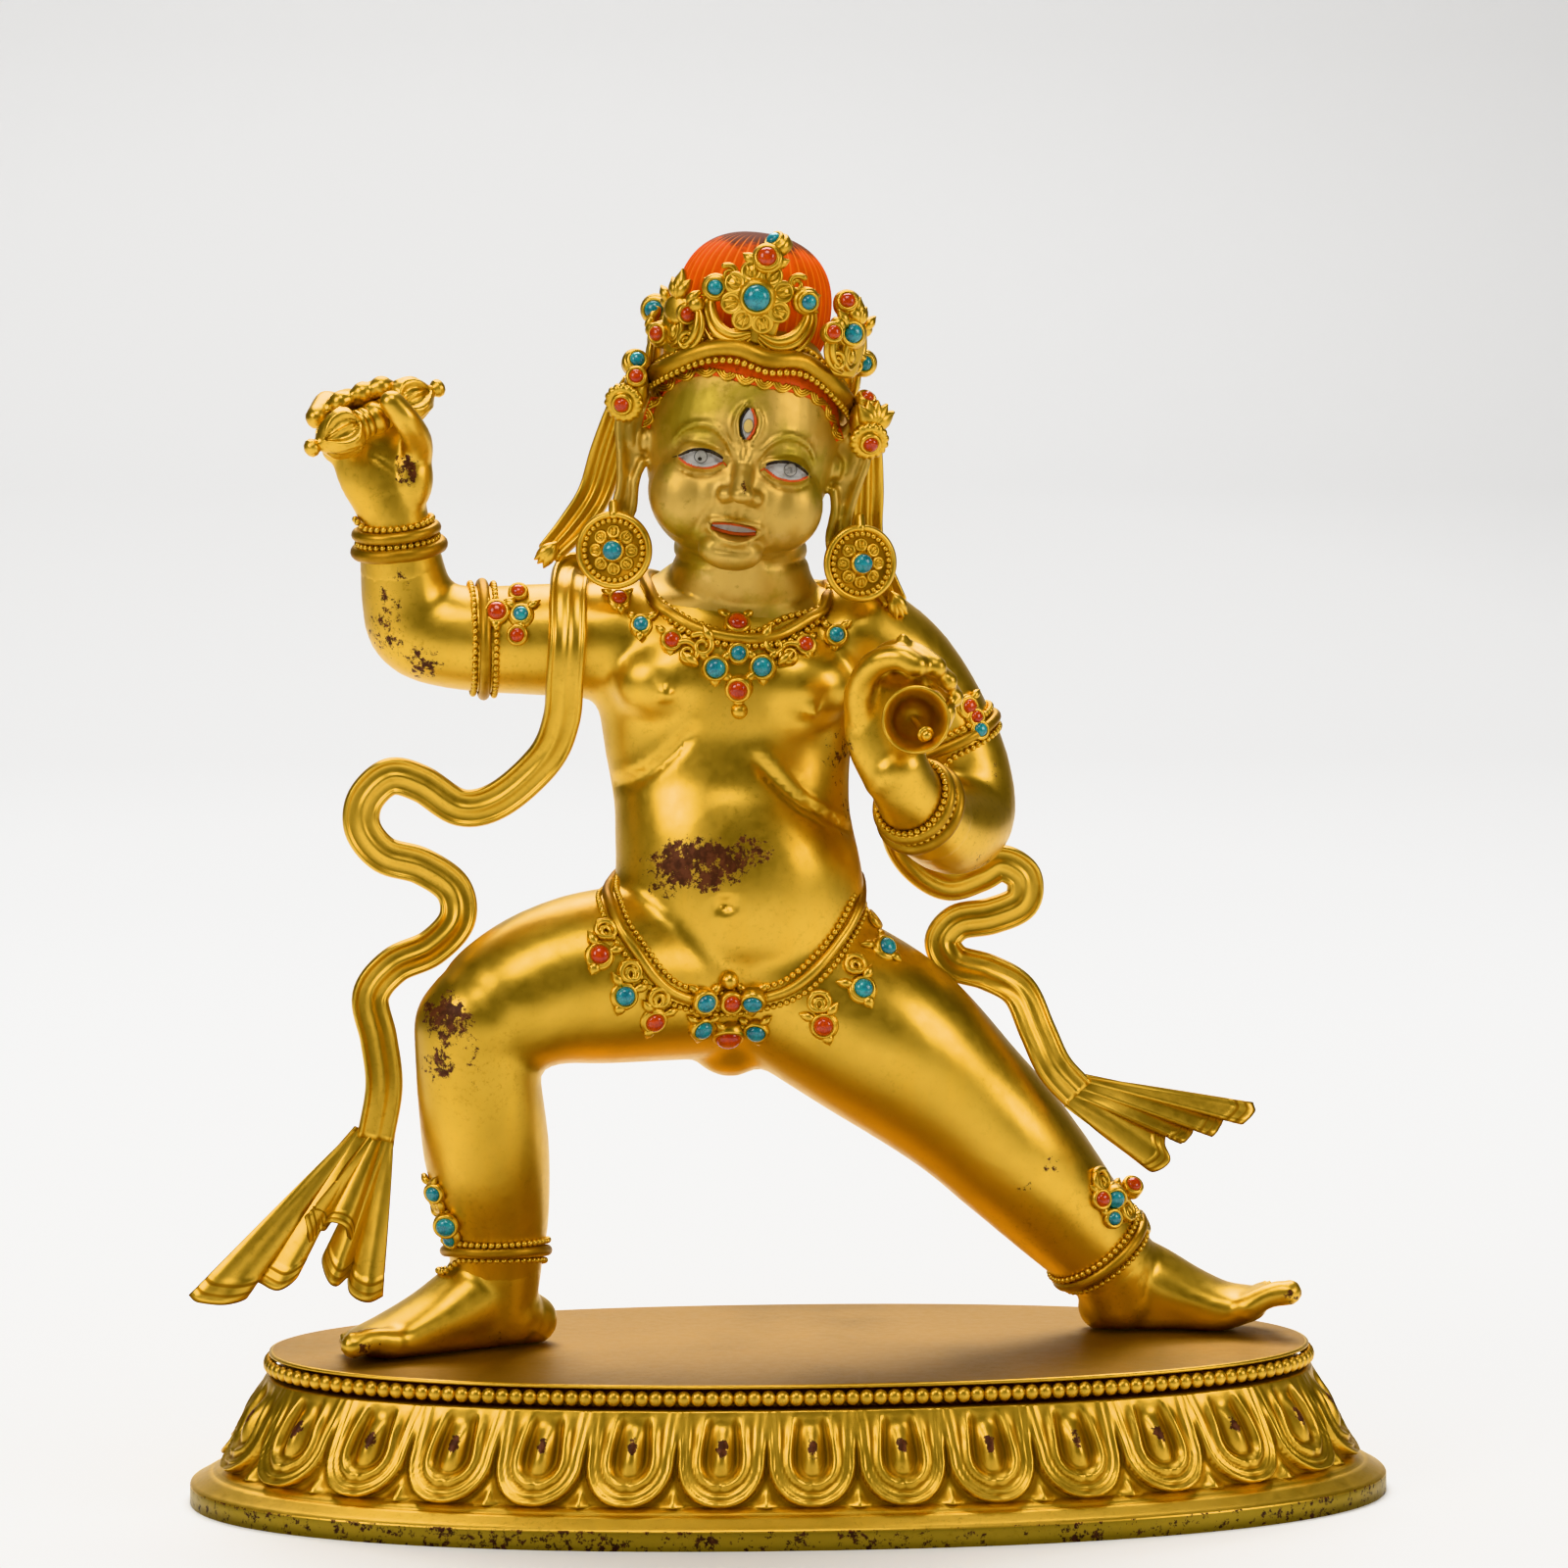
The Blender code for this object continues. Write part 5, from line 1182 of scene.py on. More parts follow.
def petal_relief(u, w):
    """Rise of one hanging petal; u runs across it, w from its tip to its root."""
    spread = np.abs(u) * (1 - 0.22 * np.clip(w - 0.5, 0, 1))
    below = np.clip((0.50 - w) / 0.50, 0.0, 1.0)
    rim = (spread ** 2.1 + below ** 2.1) ** (1 / 2.1)
    inside = smoothstep(1.0, 0.94, rim)
    fade = smoothstep(1.02, 0.62, w)
    out = inside * (0.50 + 0.85 * (1 - w))
    out += 0.85 * bump(rim, 0.885, 0.062) * (0.35 + 0.65 * fade)
    out += 0.70 * bump(rim, 0.735, 0.050) * (0.30 + 0.70 * fade)
    closing = np.abs(u) * (1 + 0.5 * np.clip(w - 0.55, 0, 1))
    inner = (closing ** 2.1 + below ** 2.1) ** (1 / 2.1)
    out += 1.05 * bump(inner, 0.52, 0.075) * smoothstep(0.98, 0.70, w)
    out += 0.35 * bump(inner, 0.62, 0.03) * smoothstep(0.98, 0.70, w)
    out -= 0.95 * smoothstep(0.47, 0.33, inner) * smoothstep(1.0, 0.8, w)
    out += 2.35 * np.exp(-(np.abs(u) / (0.215 - 0.05 * (w - 0.5))) ** 2.8 - (np.abs(w - 0.55) / 0.25) ** 2.6)
    out += 0.9 * bump(w, 0.02, 0.15) * inside * (1 - 0.30 * bump(u, 0.0, 0.10))
    out -= 0.55 * bump(u, 0.0, 0.09) * bump(w, 0.245, 0.045)
    side = 1 - np.abs(u)
    corner = side / 0.30 + np.clip(0.02 - w, 0, 1) + np.clip(w - 0.02, 0, 1) / 0.16
    out += (1.1 * smoothstep(1.1, 0.2, corner)
            + 0.4 * bump(side, 0.0, 0.05) * smoothstep(0.3, 0.0, w)) * (w > -0.04) * (1 - inside)
    return out


def base_piece(settings, materials):
    """Turned-out oval casting with carved petals, in figure units from its ground."""
    columns = PETALS * PETAL_COLUMNS
    low, high = PETAL_LOW, PETAL_HIGH
    levels = np.unique(np.concatenate((
        [row[0] for row in BASE_ROWS], np.linspace(low, high, 46), np.linspace(0.13, 0.25, 9))))
    reach = np.interp(levels, [row[0] for row in BASE_ROWS], [row[1] for row in BASE_ROWS])
    half_x, half_y = STANCE / 2, BASE_TOP_DEPTH / 2
    turns = oval_turns(columns, half_x + 0.4 * BASE_FLARE, half_y + 0.27 * BASE_FLARE)
    turn_grid = np.broadcast_to(turns, (len(levels), columns))
    flare = reach[:, None] * BASE_FLARE
    edge = oval_edge(turn_grid, half_x + flare, half_y + 0.67 * flare)
    ahead = np.roll(edge, -1, axis=1) - np.roll(edge, 1, axis=1)
    normal = np.stack((ahead[..., 1], -ahead[..., 0]), axis=-1)
    normal /= np.linalg.norm(normal, axis=2)[..., None]
    u = ((np.arange(columns) / columns * PETALS) % 1.0) * 2 - 1
    w = (levels - low) / (high - low)
    inside = (w > 0) & (w < 1)
    lift = petal_relief(u[None, :], np.clip(w, 0, 1)[:, None]) * inside[:, None]
    places = edge + normal * (lift * settings.petal_relief)[..., None]
    heights = np.broadcast_to(levels[:, None] * BASE_HEIGHT, (len(levels), columns))
    outside = np.stack((places[..., 0], places[..., 1], heights), axis=-1) / UNIT
    # The top is a shallow plain sheet drawn in to its middle.
    rings = [outside[i] for i in range(len(levels))]
    for share in (0.985, 0.93, 0.75, 0.45, 0.15, 0.02):
        ring = outside[-1].copy()
        ring[:, :2] *= share
        rings.append(ring)
    rings.insert(0, np.concatenate((outside[0][:, :2] * 0.97, np.full((columns, 1), 0.0)), axis=1))
    stack = np.array(rings)
    stack[..., 2] -= GROUND / UNIT
    points, faces = stitch(stack, closed=True)
    level_of = np.concatenate(([0.0], levels, np.ones(6)))
    tags = np.zeros(len(faces), dtype=np.int32)
    middle = (level_of[:-1] + level_of[1:]) / 2
    tags[:len(middle) * columns] = np.repeat(np.where(middle >= 0.999, 1, np.where(middle < 0.121, 2, 0)),
                                             columns)
    tags[-1] = 1
    tags[-2] = 2
    item = mesh_object("lotus_base_casting", points, faces, materials, tags)
    quads = np.array(faces[:-2])
    # The grooves of the petals and the recess under the lip darken: partly real patina, partly painted shade.
    hollow = hollowness(points, quads, 0.45) * 1.3
    up_petal = np.clip((level_of[:, None] - low) / (high - low), -1, 2)
    worn = 0.86 * bump(u[None, :], 0.0, 0.15) * bump(up_petal, 0.63, 0.12) + 0.42 * (level_of[:, None] < 0.13)
    give_values(item, hollow=hollow, rubbed=worn.ravel(), matt=np.zeros(len(points)))
    return item


def pearl_row(materials):
    """Beads under the lip of the base."""
    half_x, half_y = STANCE / 2, BASE_TOP_DEPTH / 2
    reach = 0.10
    reach_x, reach_y = half_x + reach * BASE_FLARE, half_y + 0.67 * reach * BASE_FLARE
    edge = oval_edge(oval_turns(BEAD_COUNT, reach_x, reach_y), reach_x, reach_y) / UNIT
    ahead = np.roll(edge, -1, axis=0) - np.roll(edge, 1, axis=0)
    level = (BEAD_LEVEL * BASE_HEIGHT - GROUND) / UNIT
    shell = Shell()
    for place, way in zip(edge, ahead):
        shell.add(pearl((*place, level), BEAD_RADII, (0, 0, 1), (*way, 0.0), 14, 9))
    item = shell_object("lotus_base_pearls", shell, materials)
    # Beads darken above and below their middles, towards the lip and the recess under them: painted shade.
    rise = np.abs(np.array(shell.points)[:, 2] - level) / BEAD_RADII[0]
    give_values(item, hollow=rise ** 3 * 0.6, rubbed=np.zeros(len(rise)), matt=np.zeros(len(rise)))
    return item


# Jewellery


def around(centre, first, second, count=60):
    turns = circle(count)
    return [np.asarray(centre) + cos(t) * np.asarray(first) + sin(t) * np.asarray(second) for t in turns]


def banded(tree, centre, along, radius, lift, wire, beads=True, spread=2.2):
    """A round band with a bead row on each side of it, hugging a limb."""
    along = unit(along)
    first = unit(np.cross(along, (0.1, 1.0, 0.2)))
    second = np.cross(along, first)
    skins = []
    for offset in (0.0, -spread, spread) if beads else (0.0,):
        middle = np.add(centre, along * offset)
        loop = relax_line(lay(tree, around(middle, first * radius, second * radius), lift), 2)
        skins += pearls(loop, 1.42, 0.66) if offset else [roll(loop, wire, sides=14)]
    return skins


def necklace_line(drop, count=90):
    points = []
    for t in circle(count):
        front = (1 + cos(t)) / 2
        points.append((-10.6 + 18.5 * sin(t), -0.5 - 17.0 * cos(t), 157.5 - (9.5 + drop) * front ** 1.6))
    return points


BELT_SEEN = ((-38.8, 95.5), (-36.6, 88.6), (-33.6, 84.2), (-29.3, 78.2), (-24.9, 74.7), (-19.0, 72.9),
             (-13.9, 72.2),
             (-8.0, 73.1), (-1.5, 75.2), (4.5, 79.9), (9.7, 86.0), (13.6, 92.5))


def belt_line(tree, offset):
    """Line of the belt: along the groins in front, level round the back."""
    front = flowing([(x, 0.0, z) for x, z in BELT_SEEN], 10)
    way = directions(front)
    front = front + np.stack((-way[:, 2], way[:, 1], way[:, 0]), axis=1) * offset
    seen = [seen_from_front(tree, x, z)[0] for x, _, z in front[:, :3]]
    back = [(17.0, 2.0, 97.0), (13.0, 12.0, 97.5), (4.0, 19.0, 97.5), (-8.0, 21.5, 97.5), (-20.0, 20.5, 97.5),
            (-31.0, 16.0, 97.5), (-38.0, 6.0, 98.0)]
    back = flowing([np.add(p, (0, 0, offset)) for p in back], 8)[:, :3]
    return [np.array(p, float) for p in seen] + [p for p in back]


def scroll(spot, axis, up, size, side, wire, turns=1.35, steps=16):
    """Curled tendril: a tapering wire that winds in on itself."""
    axis = unit(axis)
    first = square_to(up, axis)
    second = np.cross(axis, first) * side
    rows = []
    for k in range(steps + 1):
        share = k / steps
        turn = -0.6 + share * 2 * pi * turns
        reach = size * (1 - 0.78 * share)
        place = np.asarray(spot) + (first * cos(turn) + second * sin(turn)) * reach
        place = place + second * size * 0.25 * share
        thick = wire * (1.0 - 0.45 * share)
        rows.append((*place, thick, thick * 1.15))
    return tube(rows, facing=axis, steps=2, sides=9, caps=3)


def leaf_lobe(spot, axis, way, long, wide, rise):
    """Pointed little leaf lying along way with a raised middle."""
    axis, way = unit(axis), unit(way)
    rows = []
    for share, half in ((0.0, 0.55), (0.25, 0.95), (0.5, 1.0), (0.75, 0.7), (1.0, 0.12)):
        place = np.asarray(spot) + way * long * share + axis * rise * 0.5 * sin(pi * min(share + 0.15, 1.0))
        rows.append((*place, wide * half / 2, rise * (0.5 + 0.4 * half)))
    return tube(rows, facing=axis, steps=3, sides=10, caps=3)


def bezel(spot, axis, width):
    """Cup that holds a stone, with a rounded rim."""
    r = width / 2 / UNIT
    return turned([(r + 0.75, -1.4), (r + 0.80, -0.2), (r + 0.72, 0.75), (r + 0.42, 1.18), (r + 0.02, 1.12),
                   (r - 0.2, 0.8), (r - 0.3, 0.5)], spot, axis, 28)


def cabochon(spot, axis, width, lift=0.75):
    r = width / 2 / UNIT
    profile = [(r * 0.98, lift - 0.2)]
    profile += [(r * cos(a) ** 0.8, lift + r * 0.78 * sin(a)) for a in np.linspace(0.05, 1.5, 9)]
    return turned(profile, spot, axis, 28)


def node_spot(name):
    """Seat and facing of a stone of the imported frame: its flat underside."""
    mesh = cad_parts[name].data
    biggest = max(mesh.polygons, key=lambda face: face.area)
    centre = sum((v.co for v in mesh.vertices), Vector((0, 0, 0))) / len(mesh.vertices)
    axis = biggest.normal * (-1 if biggest.normal.dot(centre - biggest.center) < 0 else 1)
    low = min((v.co.dot(axis) for v in mesh.vertices))
    flat = [v.co for v in mesh.vertices if v.co.dot(axis) < low + 0.0002]
    seat = sum(flat, Vector((0, 0, 0))) / len(flat)
    width = 2 * max((v - seat).length for v in flat)
    place = (np.array(seat) - np.array((0, 0, GROUND))) / UNIT
    axis = np.array(axis)
    if name.startswith("stone_crown"):
        # The crown's stones look forwards a little more than their collets.
        axis = unit(axis + np.array((0.0, -0.7, 0.0)))
    return place - axis, axis, width


def stone_names():
    return sorted(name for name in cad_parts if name.startswith("stone_"))


FIGURE_STONES = {
    "necklace": (("coral", "S", -35.6, 153.4), ("turquoise", "S", -31.3, 148.4),
                 ("coral", "S", -25.4, 145.7), ("coral", "M", -11.9, 148.6),
                 ("turquoise", "M", -16.6, 140.2), ("coral", "M", -11.9, 136.0),
                 ("turquoise", "M", -7.0, 140.4), ("coral", "S", 1.8, 144.4),
                 ("turquoise", "S", 8.2, 146.4)),
    "armlet_right": (("coral", "M", -60.3, 151.0), ("turquoise", "S", -55.4, 150.5)),
    "armlet_left": (("coral", "S", 35.6, 131.4),),
    "belt": (("coral", "M", -40.6, 83.0), ("turquoise", "M", -35.6, 74.9), ("coral", "M", -29.5, 69.5),
             ("turquoise", "M", -19.2, 73.2), ("turquoise", "M", -9.3, 73.1), ("turquoise", "M", -19.7, 67.4),
             ("coral", "L", -13.9, 65.6), ("turquoise", "M", -8.2, 66.5), ("coral", "M", 5.1, 67.8),
             ("turquoise", "M", 13.0, 75.0), ("turquoise", "M", 18.2, 82.5)),
    "shin_right": (("turquoise", "M", -71.2, 27.1), ("turquoise", "S", -73.4, 34.0)),
    "shin_left": (("turquoise", "M", 66.6, 29.6), ("coral", "S", 71.0, 31.0)),
}
CROWN_KINDS = {
    "crown": ("turquoise coral turquoise turquoise turquoise turquoise coral turquoise coral turquoise "
              "turquoise"),
    "rosette": "coral coral",
}


def stone_kind(name):
    parts = name.split("_")
    if parts[1] == "earring":
        return "turquoise"
    group, number = "_".join(parts[1:-1]), int(parts[-1])
    if group in CROWN_KINDS:
        return CROWN_KINDS[group].split()[number - 1]
    return FIGURE_STONES[group][number - 1][0]


def bead_values(item, size=0.4):
    """Patina and painted shade in the hollows of loose small skins, from how their points are ringed."""
    mesh = item.data
    places = read(mesh.vertices, "co", 3) / UNIT
    mean = edge_mean(places, read(mesh.edges, "vertices", 2, np.int64))
    hollow = ((mean - places) * read(mesh.vertices, "normal", 3)).sum(axis=1) / size
    return np.clip(hollow * 2.0, -1, 1)


def contact_shade(points, tree, deep=-0.5, high=0.5):
    """One where a place lies down on what carries it, zero where it stands clear: painted shade where a piece
    meets what carries it.
    """
    out = np.zeros(len(points))
    for i, point in enumerate(points):
        spot, normal, _, _ = tree.find_nearest(Vector(point))
        out[i] = (Vector(point) - spot).dot(normal)
    return smoothstep(high, deep, out) * 0.9


def ornament(name, skins, materials, tree=None):
    shell = Shell().add_all(skins)
    item = shell_object(name, shell, materials)
    hollow = bead_values(item)
    if tree is not None:
        # Painted shade where the piece lies down on the body.
        hollow = np.maximum(hollow, contact_shade(np.array(shell.points), tree))
    give_values(item, hollow=hollow, rubbed=np.zeros(len(hollow)), matt=np.zeros(len(hollow)))
    return item


# Crown, scarves and hand pieces


def crown_level(angle):
    """Height of the crown's band above the middle of the head, highest in front."""
    return 14.0 + 8.0 * cos(angle)


def crown_reach(level):
    """Distance from the head's axis to its skin at a level, front to back and across."""
    return 20.5 * (1.0 - min(1.0, ((level - 4.0) / 27.0) ** 2)) ** 0.5


def crown_line(lift, out, count=200):
    """Loop of the band: it dips in the middle of the brow and sweeps down to the temples."""
    points = []
    for t in np.linspace(-pi, pi, count, endpoint=False):
        low = -(0.1 + 2.0 * smoothstep(0.5, 1.2, abs(t))) * smoothstep(2.5, 1.4, abs(t))
        level = crown_level(t) + lift + low - 1.7 * np.exp(-((t - 0.1) / 0.26) ** 2)
        reach = crown_reach(level) + out
        points.append(on_head(reach * sin(t), 1.5 - (reach + 0.5) * cos(t), level))
    return points


def leaf_frame(angle, stand=0.0):
    base = crown_level(angle) + 1.5
    foot = crown_reach(crown_level(angle)) + 1.0 + stand

    def place(point):
        u, out, up = point
        reach = foot + out + 0.06 * up
        turn = angle + u / reach
        return on_head(reach * sin(turn), 1.0 - reach * cos(turn), base + up)

    look = angle * (0.6 if abs(angle) < 1.5 else 1.0)
    facing = head_way(sin(look), -cos(look), 0)
    upward = head_way(0, 0, 1)
    return place, facing, upward


def flower_petals(spot, axis, up, reach, count, size, start=0.0):
    """Round petals, each a domed disc with a raised edge and a bead in its middle."""
    axis = unit(axis)
    first = square_to(up, axis)
    second = np.cross(axis, first)
    skins = []
    for k in range(count):
        turn = start + 2 * pi * k / count
        way = cos(turn) * first + sin(turn) * second
        place = np.asarray(spot) + way * reach - axis * 0.25
        lean = unit(axis + way * 0.25)
        skins.append(turned([(size * 0.9, -0.9), (size, -0.1), (size * 0.93, 0.35), (size * 0.72, 0.45),
                             (size * 0.58, 0.18), (size * 0.40, 0.28), (size * 0.2, 0.5)], place, lean, 22))
        across = np.cross(axis, way)
        for side in (-1, 1):
            foot = place - way * size * 0.35 + across * side * size * 0.18 + axis * 0.25
            skins.append(leaf_lobe(foot, axis, unit(way + across * side * 0.15), size, size * 0.34, 0.45))
    return skins


def open_flower(spot, axis, up, reach, width):
    """Eight-petalled flower round a deep bezel."""
    skins = flower_petals(spot, axis, up, reach, 8, reach * 0.46, start=pi / 9)
    skins.append(turned([(reach * 0.66, -1.2), (reach * 0.66, 0.3), (width * 0.5 + 0.9, 1.0),
                         (width * 0.5 + 0.8, 1.7),
                         (width * 0.5 + 0.35, 1.95), (width * 0.5, 1.4)], spot, axis, 32))
    return skins


def crescent(place, points, wires=(1.15, 0.85), spread=1.9):
    """Two curved ridges side by side along a line of (u, out, up) places."""
    rows = flowing([(*p, 0.0) for p in points], 6)[:, :3]
    ways = directions(rows)
    count = len(rows)
    skins = []
    for number, wire in enumerate(wires):
        line = []
        for i, (row, way) in enumerate(zip(rows, ways)):
            share = sin(pi * (0.08 + 0.84 * i / (count - 1))) ** 0.6
            shift = np.array((way[2], 0.0, -way[0])) * spread * number * share
            line.append((*place(row + shift), wire * share, wire * share * 1.1))
        skins.append(tube(line, facing=(0, -1, 0.2), steps=1, sides=12))
    return skins


def crown_leaf(angle, width, height, tip):
    """Side leaf of the crown: a shield with a round panel, scrolls and pointed tips."""
    place, facing, upward = leaf_frame(angle, 2.0 if 0 < angle < 1.5 else -0.6)
    across = unit(np.cross(upward, facing))
    skins = []
    outline = []
    for k in range(17):
        share = k / 16
        half = width / 2 * (0.50 + 0.55 * share - 1.0 * share ** 2.6) * (1 - 0.9 * share ** 6)
        outline.append((*place((0.0, -0.2, height * share)), max(half, 0.8), 1.0))
    skins.append(tube(outline, facing=facing, steps=2, sides=26))
    panel = [(-1.0, 0.9), (-1.05, 0.3), (-0.8, -0.45), (0.0, -0.9), (0.8, -0.45), (1.05, 0.3), (1.0, 0.9)]
    for size, wire in ((2.6, 0.62), (1.5, 0.45)):
        rows = [(*place((u * size, 1.1, height * 0.26 + v * size * 1.05)), wire, wire) for u, v in panel]
        skins.append(tube(rows, facing=facing, steps=5, sides=10))
    skins.append(blob(place((0, 0.9, height * 0.28)), (1.1, 1.1, 1.7), sides=14, rings=8))
    spot = np.array(place((0, 0.8, height * 0.60)))
    skins.append(turned([(3.1, -1.2), (3.3, 0.0), (2.6, 0.7), (2.1, 0.9)], spot, facing, 26))
    for side in (-1, 1):
        curve = [(side * width * 0.46, 0.8, height * 0.62), (side * width * 0.50, 1.0, height * 0.40),
                 (side * width * 0.40, 1.0, height * 0.18), (side * width * 0.14, 1.0, height * 0.04)]
        skins += crescent(place, curve, (0.85, 0.6), -side * 1.4)
        skins.append(scroll(place((side * width * 0.34, 1.2, height * 0.16)), facing, upward, 1.9, side, 0.6))
        skins.append(leaf_lobe(place((side * width * 0.30, 0.9, height * 0.72)), facing,
                               unit(upward * 0.9 + across * side * 0.8), width * 0.24, 2.2, 1.1))
        skins.append(blob(place((side * width * 0.42, 0.6, height * 0.70)), (1.7, 1.6, 1.7), sides=14,
                          rings=8))
    top = np.array(place((0, 0.4, height * 0.78)))
    for lean, long in ((-0.6, 0.75), (0.6, 0.75), (0.0, 1.0)):
        skins.append(leaf_lobe(top, facing, unit(upward + across * lean),
                               (height * 0.22 + tip) * 0.9 * long, 3.0, 1.5))
    skins.append(leaf_lobe(top + facing * 0.6, facing, upward, (height * 0.22 + tip) * 0.7, 1.8, 1.2))
    return skins


def front_leaf():
    """Middle leaf: an open flower held between two crescents, with a drop above it."""
    place, facing, upward = leaf_frame(-0.09)
    across = unit(np.cross(upward, facing))
    outline = []
    for k in range(15):
        share = k / 14
        half = 6.2 * (0.62 + 0.62 * share - 1.25 * share ** 2.4) * (1 - 0.9 * share ** 6)
        outline.append((*place((0.0, -0.6, 19.0 * share)), max(half, 0.8), 0.8))
    skins = [tube(outline, facing=facing, steps=2, sides=26)]
    seat, axis, width = node_spot("stone_crown_3")
    flower = seat - axis * 0.9
    skins += open_flower(flower, unit(axis + facing), upward, 5.2, width / UNIT)
    for side in (-1, 1):
        curve = [(side * 10.0, 0.6, 8.6), (side * 9.9, 0.9, 5.4), (side * 8.0, 1.0, 2.2), (side * 4.6,
                                                                                           1.0, 0.6),
                 (side * 1.2, 1.0, 1.4)]
        skins += crescent(place, curve, (1.1, 0.8, 0.5), -side * 1.55)
        for lift, lean in ((9.2, 0.5), (9.8, 1.2), (8.4, 1.9)):
            way = unit(upward * cos(lean) + across * side * sin(lean))
            skins.append(leaf_lobe(place((side * 9.4, 0.6, lift)), facing, way, 3.0, 2.3, 1.1))
        skins.append(scroll(place((side * 7.2, 0.9, 12.4)), facing, upward, 1.8, side, 0.65))
        way = unit(upward * 0.5 + across * side)
        skins.append(leaf_lobe(place((side * 1.8, 0.2, 15.4)), facing, way, 3.2, 2.4, 1.1))
    return skins


# Side leaves: angle round the head, width, height and tip.
SIDE_LEAVES = ((1.02, 14.0, 13.5, 2.5), (-1.10, 14.0, 14.0, 3.0), (1.80, 11.0, 13.0, 3.5), (-1.80, 11.0,
                                                                                            13.0, 3.5))


def rosette(spot, axis, reach):
    """Round fluted flower beside the temple."""
    def flutes(turns, row):
        return 1.0 + (0.10 if row in (1, 2, 3) else 0.0) * np.abs(np.cos(turns * 8)) - 0.04
    return [turned([(reach * 0.95, -1.8), (reach, -0.4), (reach * 0.97, 0.3), (reach * 0.75, 0.75),
                    (reach * 0.45, 0.15), (reach * 0.40, 0.1)], spot, axis, 96, flutes),
            turned([(reach * 0.44, -0.5), (reach * 0.46, 1.0), (reach * 0.36, 1.5), (reach * 0.2, 1.5)],
                   spot, axis, 28)]


def ribbon_strip(stations, facing=(0, -1, 0), steps=9, thick=1.3, ridges=3):
    """Flat band with rounded rims and ridges, swept through x, y, z and half-width stations."""
    rows = flowing(stations, steps)
    centres = rows[:, :3]
    tangents = np.gradient(centres, axis=0)
    u = np.linspace(-1, 1, 23)
    top = 0.70 + 0.55 * bump(np.abs(u), 0.84, 0.12)
    if ridges == 1:
        top = top + 0.38 * bump(u, 0.0, 0.20)
    else:
        top = top + 0.30 * np.cos(u * pi * ridges) * (np.abs(u) < 0.75)
    top[0] = top[-1] = 0.25
    profile = list(zip(u, top)) + [(1.0, -0.45), (0.8, -1.0), (0.0, -1.0), (-0.8, -1.0), (-1.0, -0.45)]
    rings = []
    for centre, tangent, row in zip(centres, tangents, rows):
        along = unit(tangent)
        out = square_to(facing, along)
        side = np.cross(along, out)
        rings.append([centre + side * a * row[3] + out * b * thick for a, b in profile])
    return stitch(rings)


def pleated_end(neck_left, neck_right, hem, rows=40, thick=0.55):
    """Pleated end of a scarf: a sheet drawn from its neck to a hem that runs in loops."""
    line = flowing([(*p, 0.0) for p in hem], 9)[:, :3]
    run = run_along(line)
    share_across = run / run[-1]
    neck_left, neck_right = np.asarray(neck_left, float), np.asarray(neck_right, float)
    middle_depth = line[:, 1].mean()
    grid = []
    for i in range(rows):
        s = i / (rows - 1)
        start = neck_left + (neck_right - neck_left) * share_across[:, None]
        place = start + (line - start) * s
        # The folds grow towards the hem, and the sheet bellies out a little below its neck.
        place[:, 1] = start[:, 1] * (1 - s) + middle_depth * s + (line[:, 1] - middle_depth) * s ** 1.4
        place[:, 1] -= 0.9 * sin(pi * s) * np.sin(pi * share_across)
        place[:, 1] -= 0.45 * (bump(s, 0.90, 0.016) + bump(s, 0.955, 0.016))
        place[:, 1] -= 0.8 * (bump(share_across, 0.0, 0.03) + bump(share_across, 1.0, 0.03)) * (0.4 + 0.6 * s)
        grid.append(place)
    grid = np.array(grid)
    du = np.gradient(grid, axis=1)
    dv = np.gradient(grid, axis=0)
    normal = np.cross(du, dv)
    normal /= np.maximum(np.linalg.norm(normal, axis=2), 1e-9)[..., None]
    lines, columns = grid.shape[:2]
    front = (grid + normal * thick).reshape(-1, 3)
    back = (grid - normal * thick).reshape(-1, 3)
    return np.vstack((back, front)), grid_faces(lines, columns)


RIGHT_HEM = (
    (-123.2, -8.0, 12.6), (-121.5, -9.5, 11.4), (-116.5, -10.8, 11.0), (-112.0, -9.5, 12.4), (-111.6,
                                                                                              -6.0, 15.4),
    (-109.0, -8.6, 15.0), (-105.2, -10.8, 13.8), (-101.4, -9.5, 17.2), (-102.6, -6.0, 20.2), (-99.8, -8.0,
                                                                                              20.6),
    (-99.2, -11.0, 25.0), (-99.6, -11.6, 28.6), (-97.4, -10.4, 28.0), (-96.6, -9.6, 25.6), (-94.6, -11.0,
                                                                                            27.6),
    (-91.6, -11.6, 26.6), (-91.2, -9.0, 22.6), (-94.8, -6.4, 21.4), (-96.0, -7.6, 18.6), (-94.2, -10.6, 14.6),
    (-91.2, -7.4, 16.0), (-90.4, -9.0, 12.6), (-87.4, -11.2, 11.2), (-84.4, -9.0, 12.2))
LEFT_HEM = (
    (94.6, -6.0, 49.4), (94.9, -7.5, 47.6), (92.4, -9.0, 45.8), (89.4, -6.4, 47.0), (87.6, -9.4, 45.0),
    (85.8, -11.0, 43.6), (83.0, -8.0, 45.6), (81.2, -10.8, 43.2), (79.2, -12.4, 42.4), (77.0, -9.2, 44.6),
    (75.6, -12.0, 41.8), (76.6, -13.6, 38.6), (73.6, -13.0, 36.6), (70.8, -10.0, 38.4))
